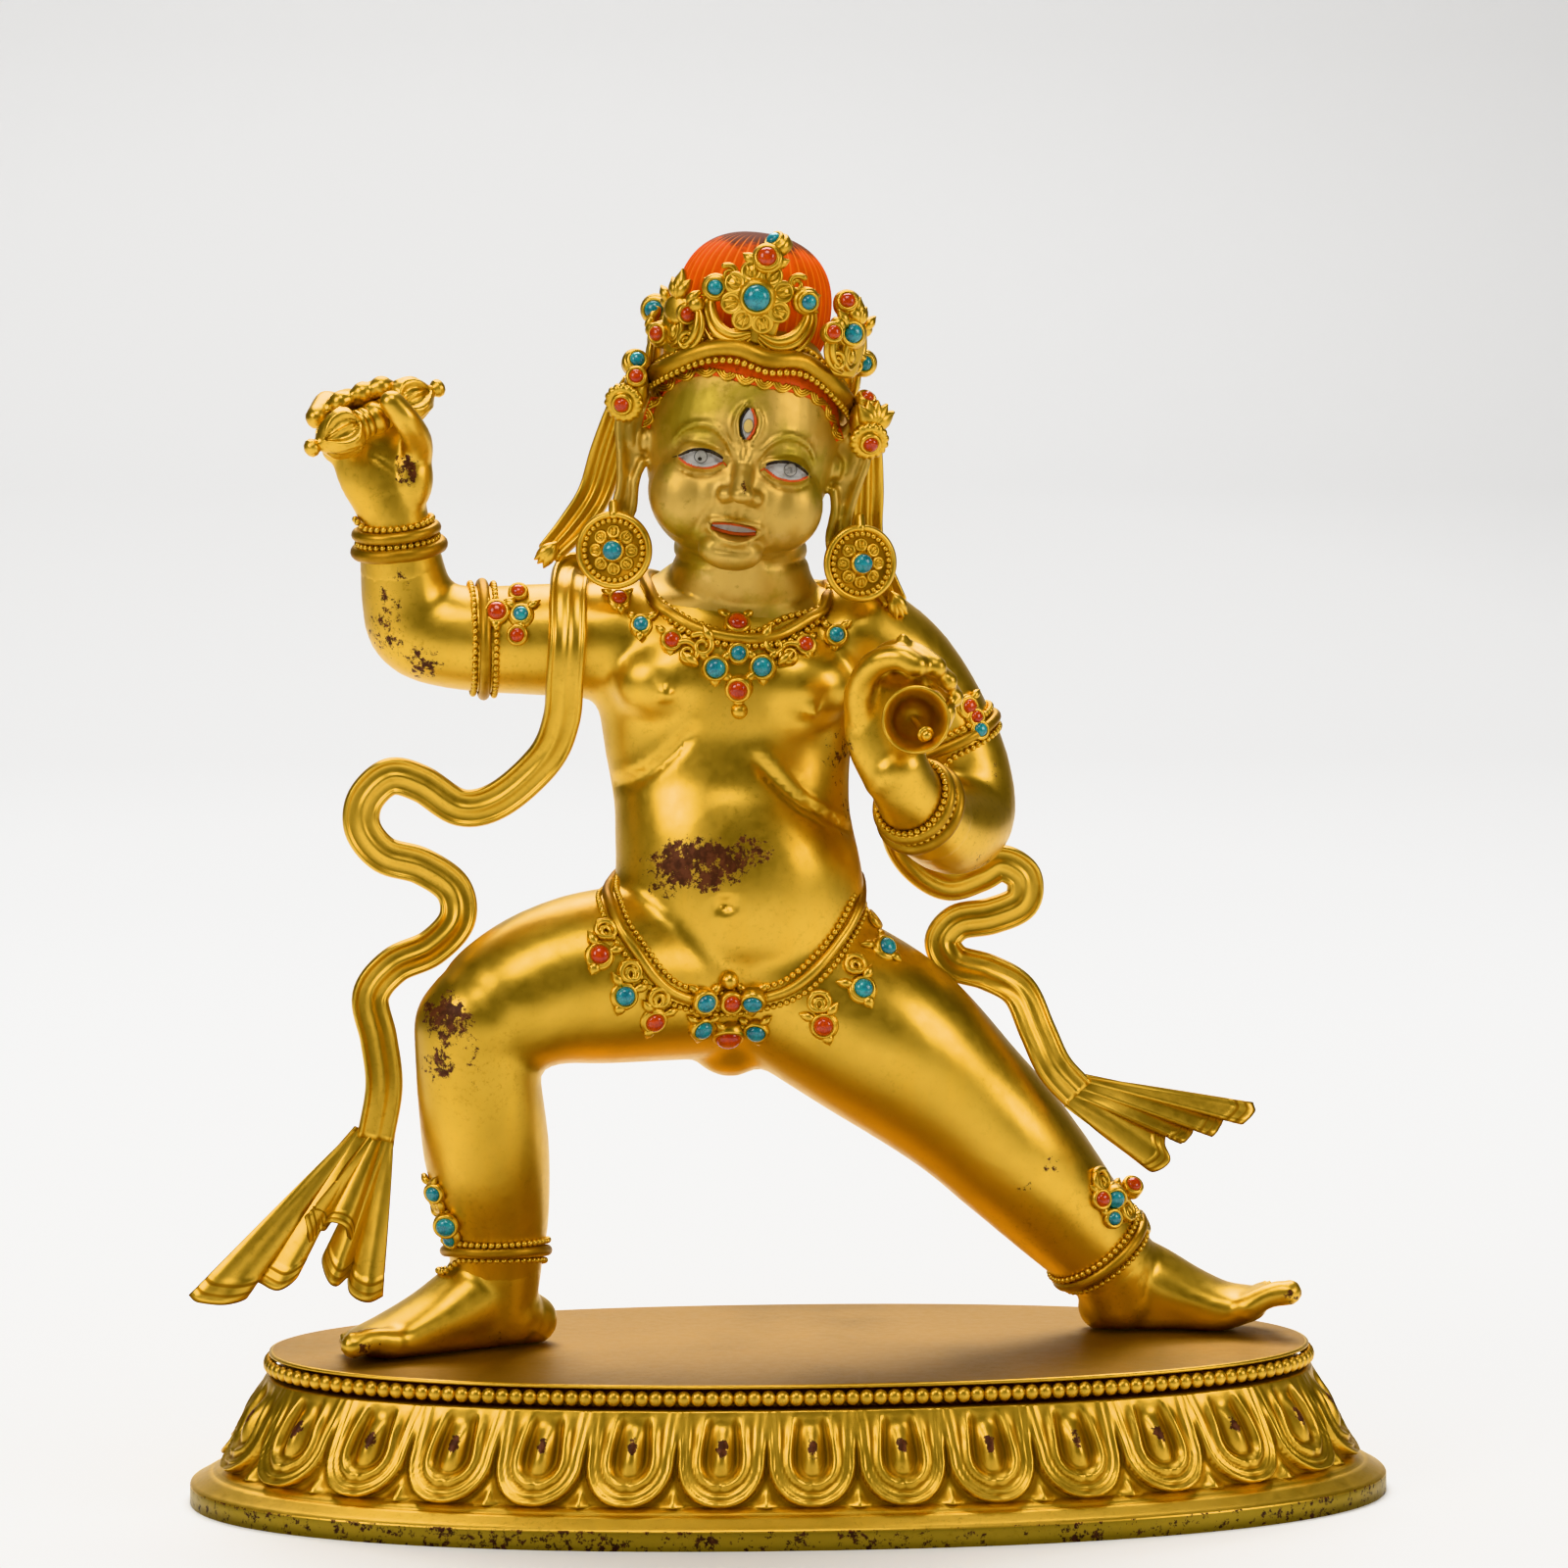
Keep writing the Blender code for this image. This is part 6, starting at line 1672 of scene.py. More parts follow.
RIGHT_SCARF = (
    (-27.0, 20.0, 132.0), (-34.0, 19.0, 144.0), (-41.0, 12.0, 156.0), (-44.5, 3.0, 159.0),
    (-45.8, -6.5, 155.5), (-46.2, -11.6, 147.0), (-46.8, -11.5, 138.0), (-47.4, -8.5, 129.4),
    (-50.7, -5.0, 121.2), (-59.6, -3.0, 113.0), (-67.6, -2.0, 111.1), (-75.6, -2.0, 116.0),
    (-82.0, -2.0, 117.5), (-87.0, -2.0, 113.0), (-87.6, -2.0, 107.0), (-83.3, -2.0, 101.6),
    (-75.7, -2.0, 99.2), (-69.3, -2.0, 94.6), (-68.6, -3.0, 88.2), (-73.9, -4.0, 82.6),
    (-81.5, -5.0, 79.2), (-86.2, -5.0, 73.0), (-84.6, -6.0, 64.3), (-83.6, -7.0, 54.8), (-85.4, -7.0, 44.0))
LEFT_SCARF = (
    (6.0, 19.5, 134.0), (14.0, 19.5, 130.0), (20.5, 18.5, 120.0), (22.5, 14.0, 110.0),
    (24.0, 10.0, 102.0), (28.0, 8.0, 96.8), (33.5, 7.0, 94.2), (39.6, 6.0, 96.1),
    (44.1, 6.0, 98.2), (48.6, 6.0, 95.4), (48.2, 6.0, 90.1), (42.1, 6.0, 87.3),
    (35.0, 6.0, 86.0), (31.9, 6.0, 82.0), (34.4, 5.0, 77.8), (40.9, 3.0, 75.9),
    (47.1, 0.0, 72.3), (50.5, -4.0, 64.4), (53.6, -7.0, 57.4), (58.4, -8.0, 52.0))
SCEPTRE_MIDDLE = (-84.7, -6.5, 190.4)
SCEPTRE_AXIS = (0.835, 0.389, 0.386)
BELL_PLACE = (20.9, -47.0, 131.6)
BELL_AXIS = (0.04, 1.0, -0.06)
EARRINGS = {"right": ((-36.9, -13.6, 163.9), -0.28), "left": ((12.9, -13.6, 161.1), 0.28)}


def sceptre_skins():
    """Two closed buds of four prongs with almond windows, on a ribbed grip."""
    axis = unit(SCEPTRE_AXIS)
    middle = np.asarray(SCEPTRE_MIDDLE)
    view = np.array((0.05, -1.0, 0.25))
    first = square_to(view, axis)
    second = np.cross(axis, first)
    skins = [turned([(2.5, -4.4), (3.3, -4.0), (3.3, -3.4), (2.8, -3.0), (3.2, -2.6), (3.2, -2.0), (2.8,
                                                                                                    -1.6),
                     (3.3, -1.1), (3.5, 0.0), (3.3, 1.1), (2.8, 1.6), (3.2, 2.0), (3.2, 2.6), (2.8, 3.0),
                     (3.3, 3.4), (3.3, 4.0), (2.5, 4.4)], middle, axis, 32)]
    rows = ((3.2, 2.6), (4.2, 3.0), (4.8, 3.9), (5.6, 4.7), (6.8, 5.05), (8.4, 5.0), (10.0, 4.55), (11.4,
                                                                                                    3.7),
            (12.6, 2.6), (13.4, 1.6), (13.9, 1.25), (14.3, 1.5), (14.9, 1.85), (15.7, 1.8), (16.3, 1.3),
            (16.7, 0.5))
    heights = np.concatenate([np.linspace(a[0], b[0], 5)[:-1] for a, b in zip(rows,
                                                                              rows[1:])] + [[rows[-1][0]]])
    radii = np.interp(heights, [r[0] for r in rows], [r[1] for r in rows])
    turns = circle(96)
    square = (np.abs(np.cos(turns)) ** 4 + np.abs(np.sin(turns)) ** 4) ** -0.25
    off = (turns + pi / 4) % (pi / 2) - pi / 4
    for sign in (-1, 1):
        rings = []
        for height, radius in zip(heights, radii):
            bud = smoothstep(3.8, 5.4, height) * smoothstep(13.2, 11.6, height)
            shape = (1 - bud) + bud * (0.55 * square + 0.42)
            along = (height - 8.9) / 3.9
            across = off / (0.60 * np.clip(1 - along ** 2, 0.0, 1.0) ** 0.6 + 1e-3)
            window = np.abs(across)
            deep = (1.15 * smoothstep(1.0, 0.72, window) - 0.25 * bump(window, 1.15, 0.16)) * (abs(along) < 1)
            deep = deep - 0.55 * bump(off, 0.0, 0.10) * smoothstep(1.0, 0.5, abs(along))
            reach = radius * shape - deep
            ring = np.cos(turns)[:, None] * first + np.sin(turns)[:, None] * second * sign
            rings.append(middle + axis * sign * height + reach[:, None] * ring)
        skins.append(stitch(rings))
    return skins


def bell_skins():
    """Open bell whose mouth faces forwards, with ribs and a rolled lip."""
    mouth, length, wall = 6.8, 12.0, 0.9
    outside = [(mouth - 0.3, 0.0), (mouth, 0.35), (mouth * 0.97, 0.8), (mouth * 0.92, 1.2), (mouth * 0.90,
                                                                                             1.7),
               (mouth * 0.92, 2.0), (mouth * 0.86, 2.4), (mouth * 0.80, 3.6), (mouth * 0.76, 5.2),
               (mouth * 0.72, 7.0), (mouth * 0.74, 7.3), (mouth * 0.70, 7.7), (mouth * 0.64, 9.3),
               (mouth * 0.52, 10.6), (mouth * 0.25, length)]
    inside = [(mouth * 0.18, length - 1.4), (mouth * 0.45, length - 2.0), (mouth * 0.60, length - 4.0),
              (mouth * 0.66, 5.0), (mouth * 0.72, 3.0), (mouth * 0.80, 1.4), (mouth * 0.92, 0.2)]
    rings = list(reversed(outside)) + list(reversed(inside))
    return [turned(rings, BELL_PLACE, BELL_AXIS, 56)]


def clapper_skins():
    axis = unit(BELL_AXIS)
    tip = np.asarray(BELL_PLACE) + axis * 1.3 + np.array((2.1, 0.0, -3.0))
    root = np.asarray(BELL_PLACE) + axis * 9.0
    return [tube([(*(root + (tip - root) * share), wide, wide)
                  for share, wide in ((0.0, 0.6), (0.5, 0.7), (0.8, 1.2), (0.95, 1.7), (1.02, 1.2))],
                  sides=20)]


def earring_skins(side):
    centre, turn = EARRINGS[side]
    axis = unit((turn, -1.0, 0.0))
    centre = np.asarray(centre, float)
    half = 7.9
    up = np.array((0, 0, 1.0))
    across = np.cross(up, axis)
    skins = [turned([(half * 0.86, -1.3), (half * 0.97, -0.7), (half, 0.0), (half * 0.97, 0.5),
                     (half * 0.90, 0.85),
                     (half * 0.84, 0.55), (half * 0.80, 0.1), (half * 0.3, 0.1)], centre, axis, 64)]
    skins += pearls(around(centre + axis * 0.45, across * half * 0.76, up * half * 0.76, 60), 1.22, 0.62,
                    sides=9, rings=7)
    skins += flower_petals(centre + axis * 0.45, axis, up, half * 0.47, 8, half * 0.185)
    skins.append(turned([(2.3, -0.6), (2.4, 0.9), (2.0, 1.5), (1.7, 1.5)], centre, axis, 28))
    # A small hook ties the disc to the ear.
    skins.append(tube([(*(centre + up * 7.2), 1.1, 1.1), (*(centre + up * 9.2 + np.array((0, 1.2, 0))),
                                                          1.0, 1.0)],
                      sides=10, steps=3))
    return skins


# Jewellery laid on the body


def pendant(tree, x, z, size, towards=(0, 0, -1)):
    """Flower-shaped drop that holds a stone, with a leaf on each side and a tail."""
    spot, axis = seen_from_front(tree, x, z)
    way = square_to(towards, axis)
    across = np.cross(axis, way)
    skins = [turned([(size * 0.74, -1.0), (size * 0.78, 0.0), (size * 0.66, 0.65), (size * 0.5, 0.6)],
                    spot, axis, 28)]
    skins.append(leaf_lobe(spot + way * size * 0.45, axis, way, size * 0.62, size * 0.6, 0.8))
    for side in (-1, 1):
        skins.append(leaf_lobe(spot - way * size * 0.5 + across * side * size * 0.4, axis,
                               unit(across * side - way * 0.7), size * 0.8, size * 0.5, 0.85))
    return skins


def scrolls_at(tree, x, z, lift, size, wire, sides=(-1, 1)):
    """Scrolls standing on the body at a place seen from the front."""
    spot, axis = seen_from_front(tree, x, z)
    return [scroll(spot + axis * lift, axis, (0, 0, 1), size, side, wire) for side in sides]


def bezels():
    skins = []
    for name in stone_names():
        if not name.startswith(("stone_crown", "stone_rosette", "stone_earring")):
            skins.append(bezel(*node_spot(name)))
    return skins


def necklace_skins(tree):
    loop = relax_line(lay(tree, necklace_line(0.0), 0.7), 2)
    skins = [roll(loop, 1.25, sides=14)]
    skins += pearls(relax_line(lay(tree, necklace_line(-2.3), 0.5), 2), 1.55, 0.72)
    skins += pearls(relax_line(lay(tree, necklace_line(2.6), 0.5), 2), 1.55, 0.72)
    for _, size, x, z in FIGURE_STONES["necklace"]:
        skins += pendant(tree, x, z, 3.6 if size == "M" else 3.1)
    for side, x, z in ((-1, -19.5, 144.5), (1, -4.2, 144.5), (-1, -22.5, 143.0), (1, -1.2, 142.5)):
        skins += scrolls_at(tree, x, z, 0.6, 2.6, 0.75, (side,))
    for x, z, lean in ((-17.2, 145.5, -0.6), (-7.0, 145.5, 0.6), (-20.5, 141.0, -1.2), (-3.6, 141.0, 1.2)):
        spot, axis = seen_from_front(tree, x, z)
        skins.append(leaf_lobe(spot + axis * 0.4, axis, unit((lean, 0, 1.0)), 3.6, 2.0, 0.9))
    spot, axis = seen_from_front(tree, -11.8, 131.5)
    skins.append(turned([(1.0, -0.5), (1.7, 0.4), (1.2, 1.3), (0.4, 1.6)], spot, axis, 20))
    return skins


def belt_skins(tree):
    skins = [roll(relax_line(lay(tree, belt_line(tree, 0.0), 0.4), 3), 1.15, sides=14)]
    for offset in (-2.1, 2.1):
        skins += pearls(relax_line(lay(tree, belt_line(tree, offset), 0.35), 3), 1.4, 0.66)
    for _, _, x, z in FIGURE_STONES["belt"]:
        if abs(x + 14.0) > 7.5:
            lean = (x + 13.0) / 60.0
            skins += pendant(tree, x, z, 3.9, (lean, 0, -1))
            skins += scrolls_at(tree, x - lean * 3.0, z + 4.6, 0.5, 2.3, 0.7)
        else:
            skins += pendant(tree, x, z, 3.5)
    spot, axis = seen_from_front(tree, -14.2, 77.0)
    skins.append(turned([(1.2, -0.6), (2.0, 0.8), (1.4, 2.0), (0.5, 2.5)], spot, axis, 20))
    return skins


def limb_bands(tree):
    skins = []
    for wrist, along, step in (((-80.6, 0.8, 168.0), (0.12, 0.2, -1.0), 3.6),
                               ((22.6, -23.5, 113.8), (0.5, 0.75, -0.42), 3.8)):
        skins += banded(tree, wrist, along, 12, 0.7, 1.25, spread=1.9)
        skins += banded(tree, np.add(wrist, np.array(along) * step), along, 12, 0.7, 1.45, beads=False)
    for centre, along, reach in (((-60.9, -1.4, 19.6), (0, 0.1, 1), 13), ((65.2, 8.7, 16.8), (0.62, 0.18,
                                                                                              -0.75), 13),
                                 ((-63.0, 4.0, 145.3), (1, 0, 0), 14), ((31.5, 3.6, 124.5), (0.4, 0.1,
                                                                                             -0.9), 14)):
        skins += banded(tree, centre, along, reach, 0.6, 1.2)
    for name in ("armlet_right", "armlet_left", "shin_right", "shin_left"):
        for _, _, x, z in FIGURE_STONES[name]:
            skins += pendant(tree, x, z, 3.5)
    for x, z in ((-74.5, 30.5), (-73.0, 23.0), (63.5, 33.0), (69.5, 26.0), (73.5, 22.5)):
        skins += scrolls_at(tree, x, z, 0.5, 2.6, 0.8)
    return skins


class BaseSettings(bpy.types.PropertyGroup):
    petal_relief: bpy.props.FloatProperty(
        name="Petal relief", description="Scale of the petals' carving", default=0.001, unit="LENGTH")


def colour_setting(name, description, default):
    return bpy.props.FloatVectorProperty(
        name=name, description=description, subtype="COLOR", size=3, default=default)


class FinishSettings(bpy.types.PropertyGroup):
    gold: colour_setting("Gold", "Colour of the gilding", (0.72, 0.445, 0.085))
    # The groove colour is real patina; the gilding also takes it darker as painted shade in the deepest
    # places.
    groove: colour_setting("Grooves", "Colour of the gilding in deep places", (0.33, 0.16, 0.022))
    copper: colour_setting("Bare metal", "Colour where the gilding is rubbed through", (0.060, 0.020, 0.010))
    hair: colour_setting("Hair", "Painted hair", (0.80, 0.10, 0.004))
    turquoise: colour_setting("Turquoise", "Colour of the turquoise stones", (0.05, 0.34, 0.36))
    coral: colour_setting("Coral", "Colour of the coral stones", (0.60, 0.070, 0.010))


MADE = {}


def finishes():
    """Materials shared by all pieces, made on first use."""
    if not MADE:
        s = bpy.context.scene.statue_finish
        gold, groove, copper = tuple(s.gold), tuple(s.groove), tuple(s.copper)
        MADE.update({
            "gilt": gilding("gilt_bronze", gold, groove, copper, 0.36, 0.16, 0.6),
            "cast": gilding("gilt_base_carving", gold, groove, copper, 0.38, 0.0, 0.5),
            "top": gilding("gilt_base_top", (0.36, 0.205, 0.058), (0.22, 0.12, 0.035), copper, 0.50),
            "edge": gilding("gilt_base_edge", (0.36, 0.25, 0.05), groove, (0.03, 0.012, 0.008), 0.42),
            "hair": paint("painted_hair", tuple(s.hair), (0.12, 0.02, 0.005)),
            "comb": combed_hair(tuple(s.hair)),
            "ring": paint("eye_ring", (0.10, 0.095, 0.09), (0.25, 0.22, 0.16), 0.45, 700.0),
            "cold": paint("cold_gold", (0.60, 0.42, 0.14), (0.34, 0.25, 0.08), 0.5, 500.0),
            "white": paint("eye_white", (0.44, 0.425, 0.40), (0.30, 0.27, 0.22), 0.45, 500.0),
            "iris": paint("eye_grey", (0.36, 0.34, 0.30), (0.12, 0.11, 0.10), 0.4, 700.0),
            "dark": paint("eye_line", (0.02, 0.017, 0.015), (0.10, 0.07, 0.03), 0.5, 700.0),
            "red": paint("lip_red", (0.62, 0.085, 0.02), (0.35, 0.12, 0.03), 0.5, 700.0),
            "turquoise": gemstone("turquoise_stone", tuple(s.turquoise), (0.02, 0.05, 0.05), (0.03, 0.20,
                                                                                              0.27)),
            "coral": gemstone("coral_stone", tuple(s.coral), (0.20, 0.02, 0.01), (0.42, 0.03, 0.006)),
        })
    return MADE


def settle_in(item, nodes=()):
    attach(item, "root")
    if nodes:
        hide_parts(*nodes)


def cast(name, skins, nodes=(), tree=None):
    """Gilt piece made of loose skins; tree is what carries it."""
    item = ornament(name, skins, [finishes()["gilt"]], tree)
    settle_in(item, nodes)
    return item


class STATUE_OT_base(bpy.types.Operator):
    """Oval base with hanging petals, pearl row and plain top"""
    bl_idname = "statue.base"
    bl_label = "Lotus base"

    def execute(self, context):
        m = finishes()
        item = base_piece(context.scene.statue_base, [m["cast"], m["top"], m["edge"]])
        settle_in(item, ["lotus_base"])
        settle_in(pearl_row([m["cast"]]), ())
        return {"FINISHED"}


class STATUE_OT_figure(bpy.types.Operator):
    """Body, head, hands and feet"""
    bl_idname = "statue.figure"
    bl_label = "Figure"

    def execute(self, context):
        m = finishes()
        shape_figure()
        shell = Shell()
        hollow, matt = [], []
        for points, faces, deep, dull in Figure.parts:
            shell.add((points, faces))
            hollow.append(deep)
            matt.append(np.broadcast_to(dull, (len(points),)))
        item = shell_object("figure_casting", shell, [m["gilt"]])
        points = np.array(shell.points)
        give_values(item, hollow=np.concatenate(hollow), matt=np.concatenate(matt),
                    rubbed=rubbed_share(points))
        settle_in(item, ["figure"])
        return {"FINISHED"}


class STATUE_OT_face(bpy.types.Operator):
    """Painted eyes, lips and teeth, and the curls along the brow"""
    bl_idname = "statue.face"
    bl_label = "Painted face"

    def execute(self, context):
        m = finishes()
        groups = {"white": [], "iris": [], "dark": [], "red": [], "ring": [], "cold": []}
        for part in (eye_skins(-1), eye_skins(1), third_eye_skins()):
            for key, skins in part.items():
                groups[key] += skins
        teeth, red = mouth_skins()
        groups["white"].append(teeth)
        groups["red"] += red
        strip, curls = hair_edge()
        for key, skins in groups.items():
            settle_in(shell_object(f"face_paint_{key}", Shell().add_all(skins), [m[key]]))
        settle_in(shell_object("hair_edge", Shell().add(strip), [m["hair"]]))
        cast("hair_curls", curls)
        return {"FINISHED"}


class STATUE_OT_hair(bpy.types.Operator):
    """Painted hair combed up under the crown"""
    bl_idname = "statue.hair"
    bl_label = "Hair"

    def execute(self, context):
        m = finishes()
        rings, sides, strands = 70, 280, 44
        angles = pi * np.arange(1, rings) / rings
        turns = circle(sides)
        points, lines = [], []
        for a in angles:
            # A flat-topped dome: the combed strands run from its crown down to the brow.
            wide, tall = abs(sin(a)) ** 0.86, np.sign(cos(a)) * abs(cos(a)) ** 0.86
            for t in turns:
                strand = (0.5 + 0.5 * cos(t * strands)) ** 4 * min(1.0, sin(a) * 1.5)
                r = 1.0 - 0.018 * strand
                x, y = 15.9 * wide * cos(t) * r, 14.6 * wide * sin(t) * r
                points.append(on_head(-1.5 + x, 5.5 + y, 30.0 - 15.5 * tall))
                lines.append(strand)
        skin = stitch(np.array(points).reshape(rings - 1, sides, 3))
        item = mesh_object("painted_hair", *skin, [m["comb"]])
        height = to_head(np.array(points))[:, 2]
        give_values(item, strand=lines, dusk=smoothstep(38.0, 46.0, height))
        settle_in(item)
        return {"FINISHED"}


class STATUE_OT_crown(bpy.types.Operator):
    """Crown band, leaves, temple rosettes and ribbons"""
    bl_idname = "statue.crown"
    bl_label = "Crown"

    def execute(self, context):
        skins = [roll(crown_line(0.0, 1.2), 2.0, sides=16), roll(crown_line(3.4, 1.4), 0.7, sides=10)]
        skins += pearls(crown_line(2.7, 1.5), 1.5, 0.72) + pearls(crown_line(-2.5, 1.2), 1.5, 0.72)
        skins += front_leaf()
        for leaf in SIDE_LEAVES:
            skins += crown_leaf(*leaf)
        for side in (-1, 1):
            seat, axis, _ = node_spot("stone_rosette_1" if side < 0 else "stone_rosette_2")
            skins += rosette(seat - axis * 0.4, axis, 3.9)
            skins.append(blob(on_head(side * 23.0, -5.5, 10.5), (2.6, 3.2, 4.4)))
            upward = head_way(side * 0.25, 0.0, 1.0)
            across = unit(np.cross(upward, axis))
            for lean in (-1.0, -0.6, -0.2, 0.2, 0.6) if side > 0 else ():
                skins.append(leaf_lobe(seat - axis * 2.2 + upward * 2.5, axis,
                                       unit(upward * cos(lean) + across * sin(lean)), 5.2, 3.6, 1.4))
            ribbon = [(side * 23.6, -2.0, 12.0, 2.2), (side * 25.2, 0.5, 6.0, 3.0),
                      (side * 26.6, 2.5, -3.0, 3.6), (side * 28.0, 3.5, -12.0, 3.5),
                      (side * 31.4, 2.0, -19.0, 3.2), (side * 35.5, -1.0, -25.0, 2.6)]
            facing = head_way(side * 0.3, -1.0, 0)
            skins.append(ribbon_strip([(*on_head(*row[:3]), row[3]) for row in ribbon], facing, ridges=3))
            end = on_head(side * 34.4, -1.4, -23.2)
            for lean in (-0.55, 0.05, 0.65):
                way = head_way(side * (0.55 + lean * 0.5), 0.0, -0.8)
                skins.append(leaf_lobe(end, facing, way, 5.0, 2.8, 1.7))
        for name in stone_names():
            if name.startswith(("stone_crown", "stone_rosette")):
                spot, axis, width = node_spot(name)
                half = width / UNIT * 0.5
                skins.append(bezel(spot, axis, width))
                skins.append(turned([(half + 1.2, -2.2), (half + 1.3, -0.6), (half + 0.8, 0.2)], spot,
                                    axis, 26))
        shell = Shell().add_all(skins)
        skins += seat_small_stones("crown", search_tree(shell.points, shell.faces))
        cast("crown_casting", skins, ["crown"])
        return {"FINISHED"}


# Small stones that only the dressed model carries: kind, width, x, z and the piece under them.
SMALL_STONES = (
    ("coral", 3.1, -22.1, 211.4, "crown"), ("coral", 2.9, -32.3, 198.6, "crown"),
    ("coral", 2.9, 6.3, 207.5, "crown"), ("coral", 2.8, 14.3, 194.4, "crown"),
    ("coral", 2.8, -55.8, 154.6, "body"), ("coral", 2.9, -56.2, 146.6, "body"),
    ("coral", 2.6, 37.0, 129.2, "body"), ("turquoise", 2.9, 37.8, 126.6, "body"),
    ("turquoise", 3.0, -12.0, 143.0, "body"), ("coral", 3.4, -14.1, 72.9, "belt"),
    ("coral", 3.2, 69.8, 30.8, "body"), ("turquoise", 2.9, -74.6, 21.6, "body"),
    ("turquoise", 2.9, 73.4, 26.4, "body"))
SMALL_SEATS = {}


def seat_small_stones(where, tree):
    """Bezels for the small stones of one piece; their places are kept for the stones."""
    skins = []
    SMALL_SEATS[where] = []
    for kind, width, x, z, carrier in SMALL_STONES:
        if carrier == where or (carrier, where) == ("belt", "body"):
            spot, axis = seen_from_front(tree, x, z)
            axis = unit(axis + np.array((0, -0.6, 0)))
            spot = spot + axis * (1.8 if carrier == "belt" else 0.4)
            skins.append(bezel(spot, axis, width * UNIT))
            SMALL_SEATS[where].append((kind, spot, axis, width * UNIT))
    return skins


class STATUE_OT_scarves(bpy.types.Operator):
    """The two long scarves with pleated ends"""
    bl_idname = "statue.scarves"
    bl_label = "Scarves"

    def execute(self, context):
        ends = {"right": ((-89.4, -7.0, 46.5), (-81.6, -7.0, 45.0), RIGHT_HEM),
                "left": ((59.4, -8.0, 55.8), (55.6, -8.0, 49.6), LEFT_HEM)}
        for side, route in (("right", RIGHT_SCARF), ("left", LEFT_SCARF)):
            skins = [ribbon_strip([(*p, 3.8) for p in route], ridges=1), pleated_end(*ends[side])]
            cast(f"scarf_{side}_strip", skins, [f"scarf_{side}"])
        return {"FINISHED"}


class STATUE_OT_hand_pieces(bpy.types.Operator):
    """Sceptre, bell with its clapper, and earrings"""
    bl_idname = "statue.hand_pieces"
    bl_label = "Sceptre, bell and earrings"

    def execute(self, context):
        cast("sceptre_prongs", sceptre_skins(), ["sceptre"])
        bell = cast("bell_cast", bell_skins(), ["bell"])
        give_values(bell, hollow=np.zeros(len(bell.data.vertices)))
        cast("bell_clapper_cast", clapper_skins(), ["bell_clapper"])
        for side in ("right", "left"):
            cast(f"earring_{side}_disc", earring_skins(side), [f"earring_{side}"])
        return {"FINISHED"}


class STATUE_OT_jewellery(bpy.types.Operator):
    """Necklace, belt, armlets, bangles, anklets and shin plaques"""
    bl_idname = "statue.jewellery"
    bl_label = "Jewellery"

    def execute(self, context):
        tree = Figure.trees["all"]
        cast("necklace", necklace_skins(tree), (), tree)
        cast("belt_and_pendants", belt_skins(tree), (), tree)
        cast("limb_bands", limb_bands(tree), (), tree)
        cast("stone_bezels", bezels() + seat_small_stones("body", tree), (), tree)
        return {"FINISHED"}


class STATUE_OT_stones(bpy.types.Operator):
    """Domed turquoise and coral stones"""
    bl_idname = "statue.stones"
    bl_label = "Set stones"

    def execute(self, context):
        m = finishes()
        groups = {"turquoise": [], "coral": []}
        for name in stone_names():
            groups[stone_kind(name)].append(name)
        for kind, names in groups.items():
            skins = [cabochon(*node_spot(name)) for name in names]
            for seats in SMALL_SEATS.values():
                skins += [cabochon(*seat) for stone, *seat in seats if stone == kind]
            item = shell_object(f"{kind}_stones", Shell().add_all(skins), [m[kind]])
            settle_in(item, names)
        return {"FINISHED"}


LIGHT_AIM = (0, 0, 0.12)


def aimed(data, place, target):
    """A light or camera that stands at place and looks at target."""
    item = bpy.data.objects.new(data.name, data)
    item.location = place
    item.rotation_euler = (Vector(target) - Vector(place)).to_track_quat("-Z", "Y").to_euler()
    bpy.context.scene.collection.objects.link(item)
    return item


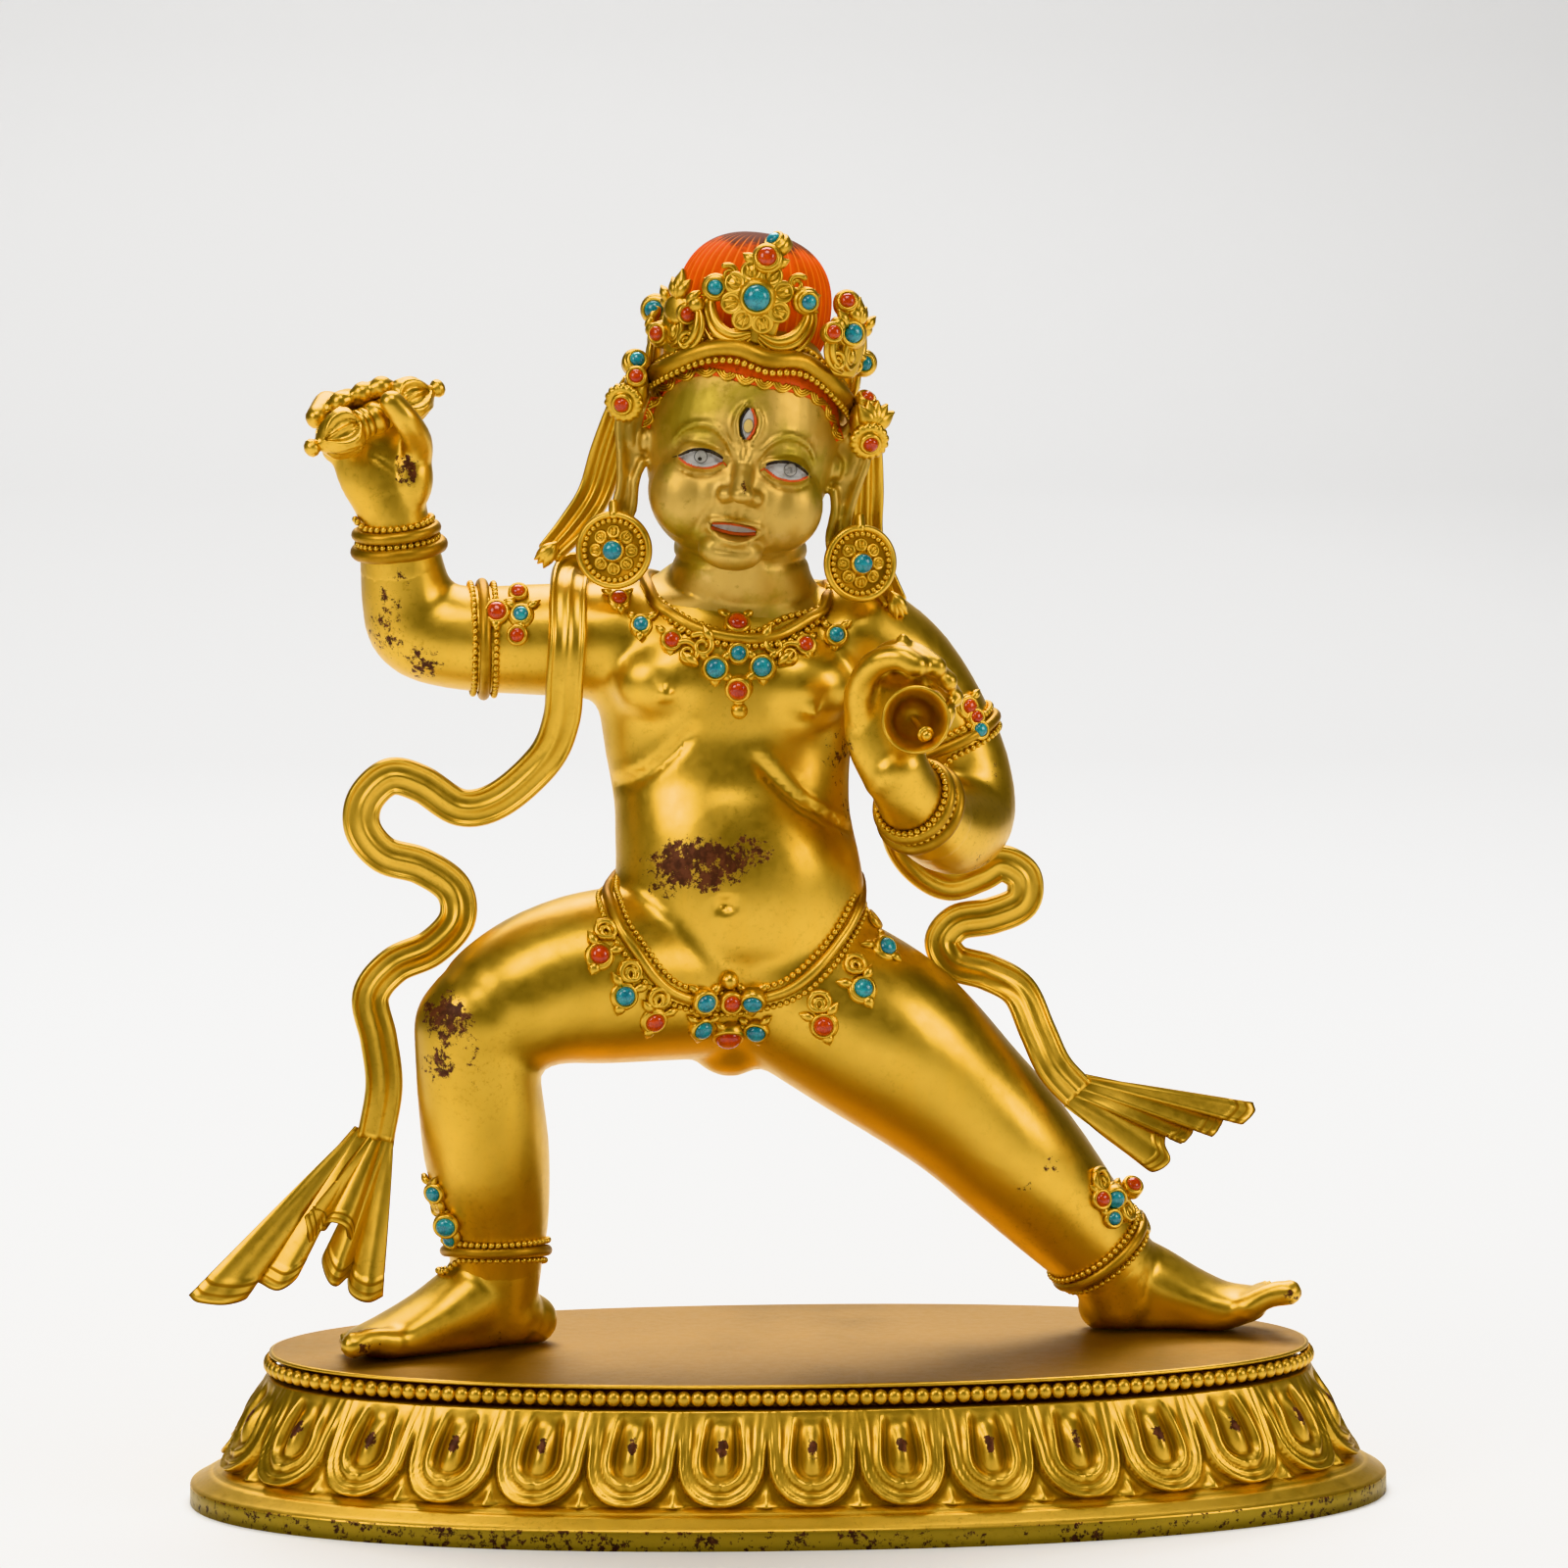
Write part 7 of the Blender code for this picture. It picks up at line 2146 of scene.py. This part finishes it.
class STATUE_OT_stage(bpy.types.Operator):
    """Pale floor, backdrop, soft lights and camera"""
    bl_idname = "statue.stage"
    bl_label = "Stage"

    def execute(self, context):
        g = Graph("pale_floor")
        g.set(Base_Color=(0.86, 0.86, 0.86), Roughness=0.6)
        rows = [(-3.0, 0.0), (1.2, 0.0), (1.6, 0.03), (1.9, 0.15), (2.05, 0.4), (2.1, 0.8), (2.1, 3.0)]
        points = [(x, y, z) for y, z in rows for x in (-4.0, 4.0)]
        faces = [(2 * i, 2 * i + 1, 2 * i + 3, 2 * i + 2) for i in range(len(rows) - 1)]
        mesh = bpy.data.meshes.new("floor")
        mesh.from_pydata(points, [], faces)
        mesh.materials.append(g.material)
        mesh.polygons.foreach_set("use_smooth", [True] * len(faces))
        floor = bpy.data.objects.new("floor", mesh)
        context.scene.collection.objects.link(floor)
        world = bpy.data.worlds.new("studio")
        world.use_nodes = True
        world.node_tree.nodes["Background"].inputs[0].default_value = (1.0, 0.97, 0.93, 1.0)
        world.node_tree.nodes["Background"].inputs[1].default_value = 0.07
        context.scene.world = world
        context.scene.view_settings.view_transform = "Khronos PBR Neutral"
        for name, place, size, power, colour in (
                ("left_softbox", (-0.95, -0.75, 0.75), 0.6, 7.0, (1.0, 0.97, 0.92)),
                ("right_softbox", (1.0, -0.65, 0.55), 0.5, 5.0, (1.0, 0.96, 0.90)),
                ("front_top", (-0.1, -0.9, 1.5), 0.6, 8.5, (1.0, 0.98, 0.95)),
                ("backdrop_light", (0.0, 0.9, 1.7), 1.4, 46.0, (1.0, 1.0, 1.0))):
            lamp = bpy.data.lights.new(name, "AREA")
            lamp.size = size
            lamp.energy = power
            lamp.color = colour
            aimed(lamp, place, LIGHT_AIM)
        azimuth, elevation, away = radians(-4.5), radians(4.5), 1.2
        target = Vector((-0.0018, -0.004, 0.147))
        lens = bpy.data.cameras.new("camera")
        lens.lens = 135.0
        lens.sensor_width = 36.0
        context.scene.camera = aimed(lens, target + away * Vector((
            sin(azimuth) * cos(elevation), -cos(azimuth) * cos(elevation), sin(elevation))), target)
        return {"FINISHED"}


class STATUE_PT_panel(bpy.types.Panel):
    """Lists the pieces and their settings"""
    bl_idname = "STATUE_PT_panel"
    bl_label = "Gilt bronze deity"
    bl_space_type = "VIEW_3D"
    bl_region_type = "UI"
    bl_category = "Statue"

    def draw(self, context):
        for group in (context.scene.statue_base, context.scene.statue_finish):
            for key in group.bl_rna.properties.keys():
                if key not in ("rna_type", "name"):
                    self.layout.prop(group, key)
        for operator in OPERATORS:
            self.layout.operator(operator.bl_idname)


GROUPS = {"statue_base": BaseSettings, "statue_finish": FinishSettings}
OPERATORS = (STATUE_OT_base, STATUE_OT_figure, STATUE_OT_face, STATUE_OT_hair, STATUE_OT_crown,
             STATUE_OT_scarves,
             STATUE_OT_hand_pieces, STATUE_OT_jewellery, STATUE_OT_stones, STATUE_OT_stage)


def register():
    for item in (*GROUPS.values(), *OPERATORS, STATUE_PT_panel):
        bpy.utils.register_class(item)
    for key, group in GROUPS.items():
        setattr(bpy.types.Scene, key, bpy.props.PointerProperty(type=group))


def unregister():
    for key in GROUPS:
        delattr(bpy.types.Scene, key)
    for item in reversed((*GROUPS.values(), *OPERATORS, STATUE_PT_panel)):
        bpy.utils.unregister_class(item)


def main():
    register()
    for name in ("base", "figure", "face", "hair", "crown", "scarves", "hand_pieces", "jewellery",
                 "stones", "stage"):
        getattr(bpy.ops.statue, name)()
    bpy.context.view_layer.update()


if __name__ == "__main__":
    main()
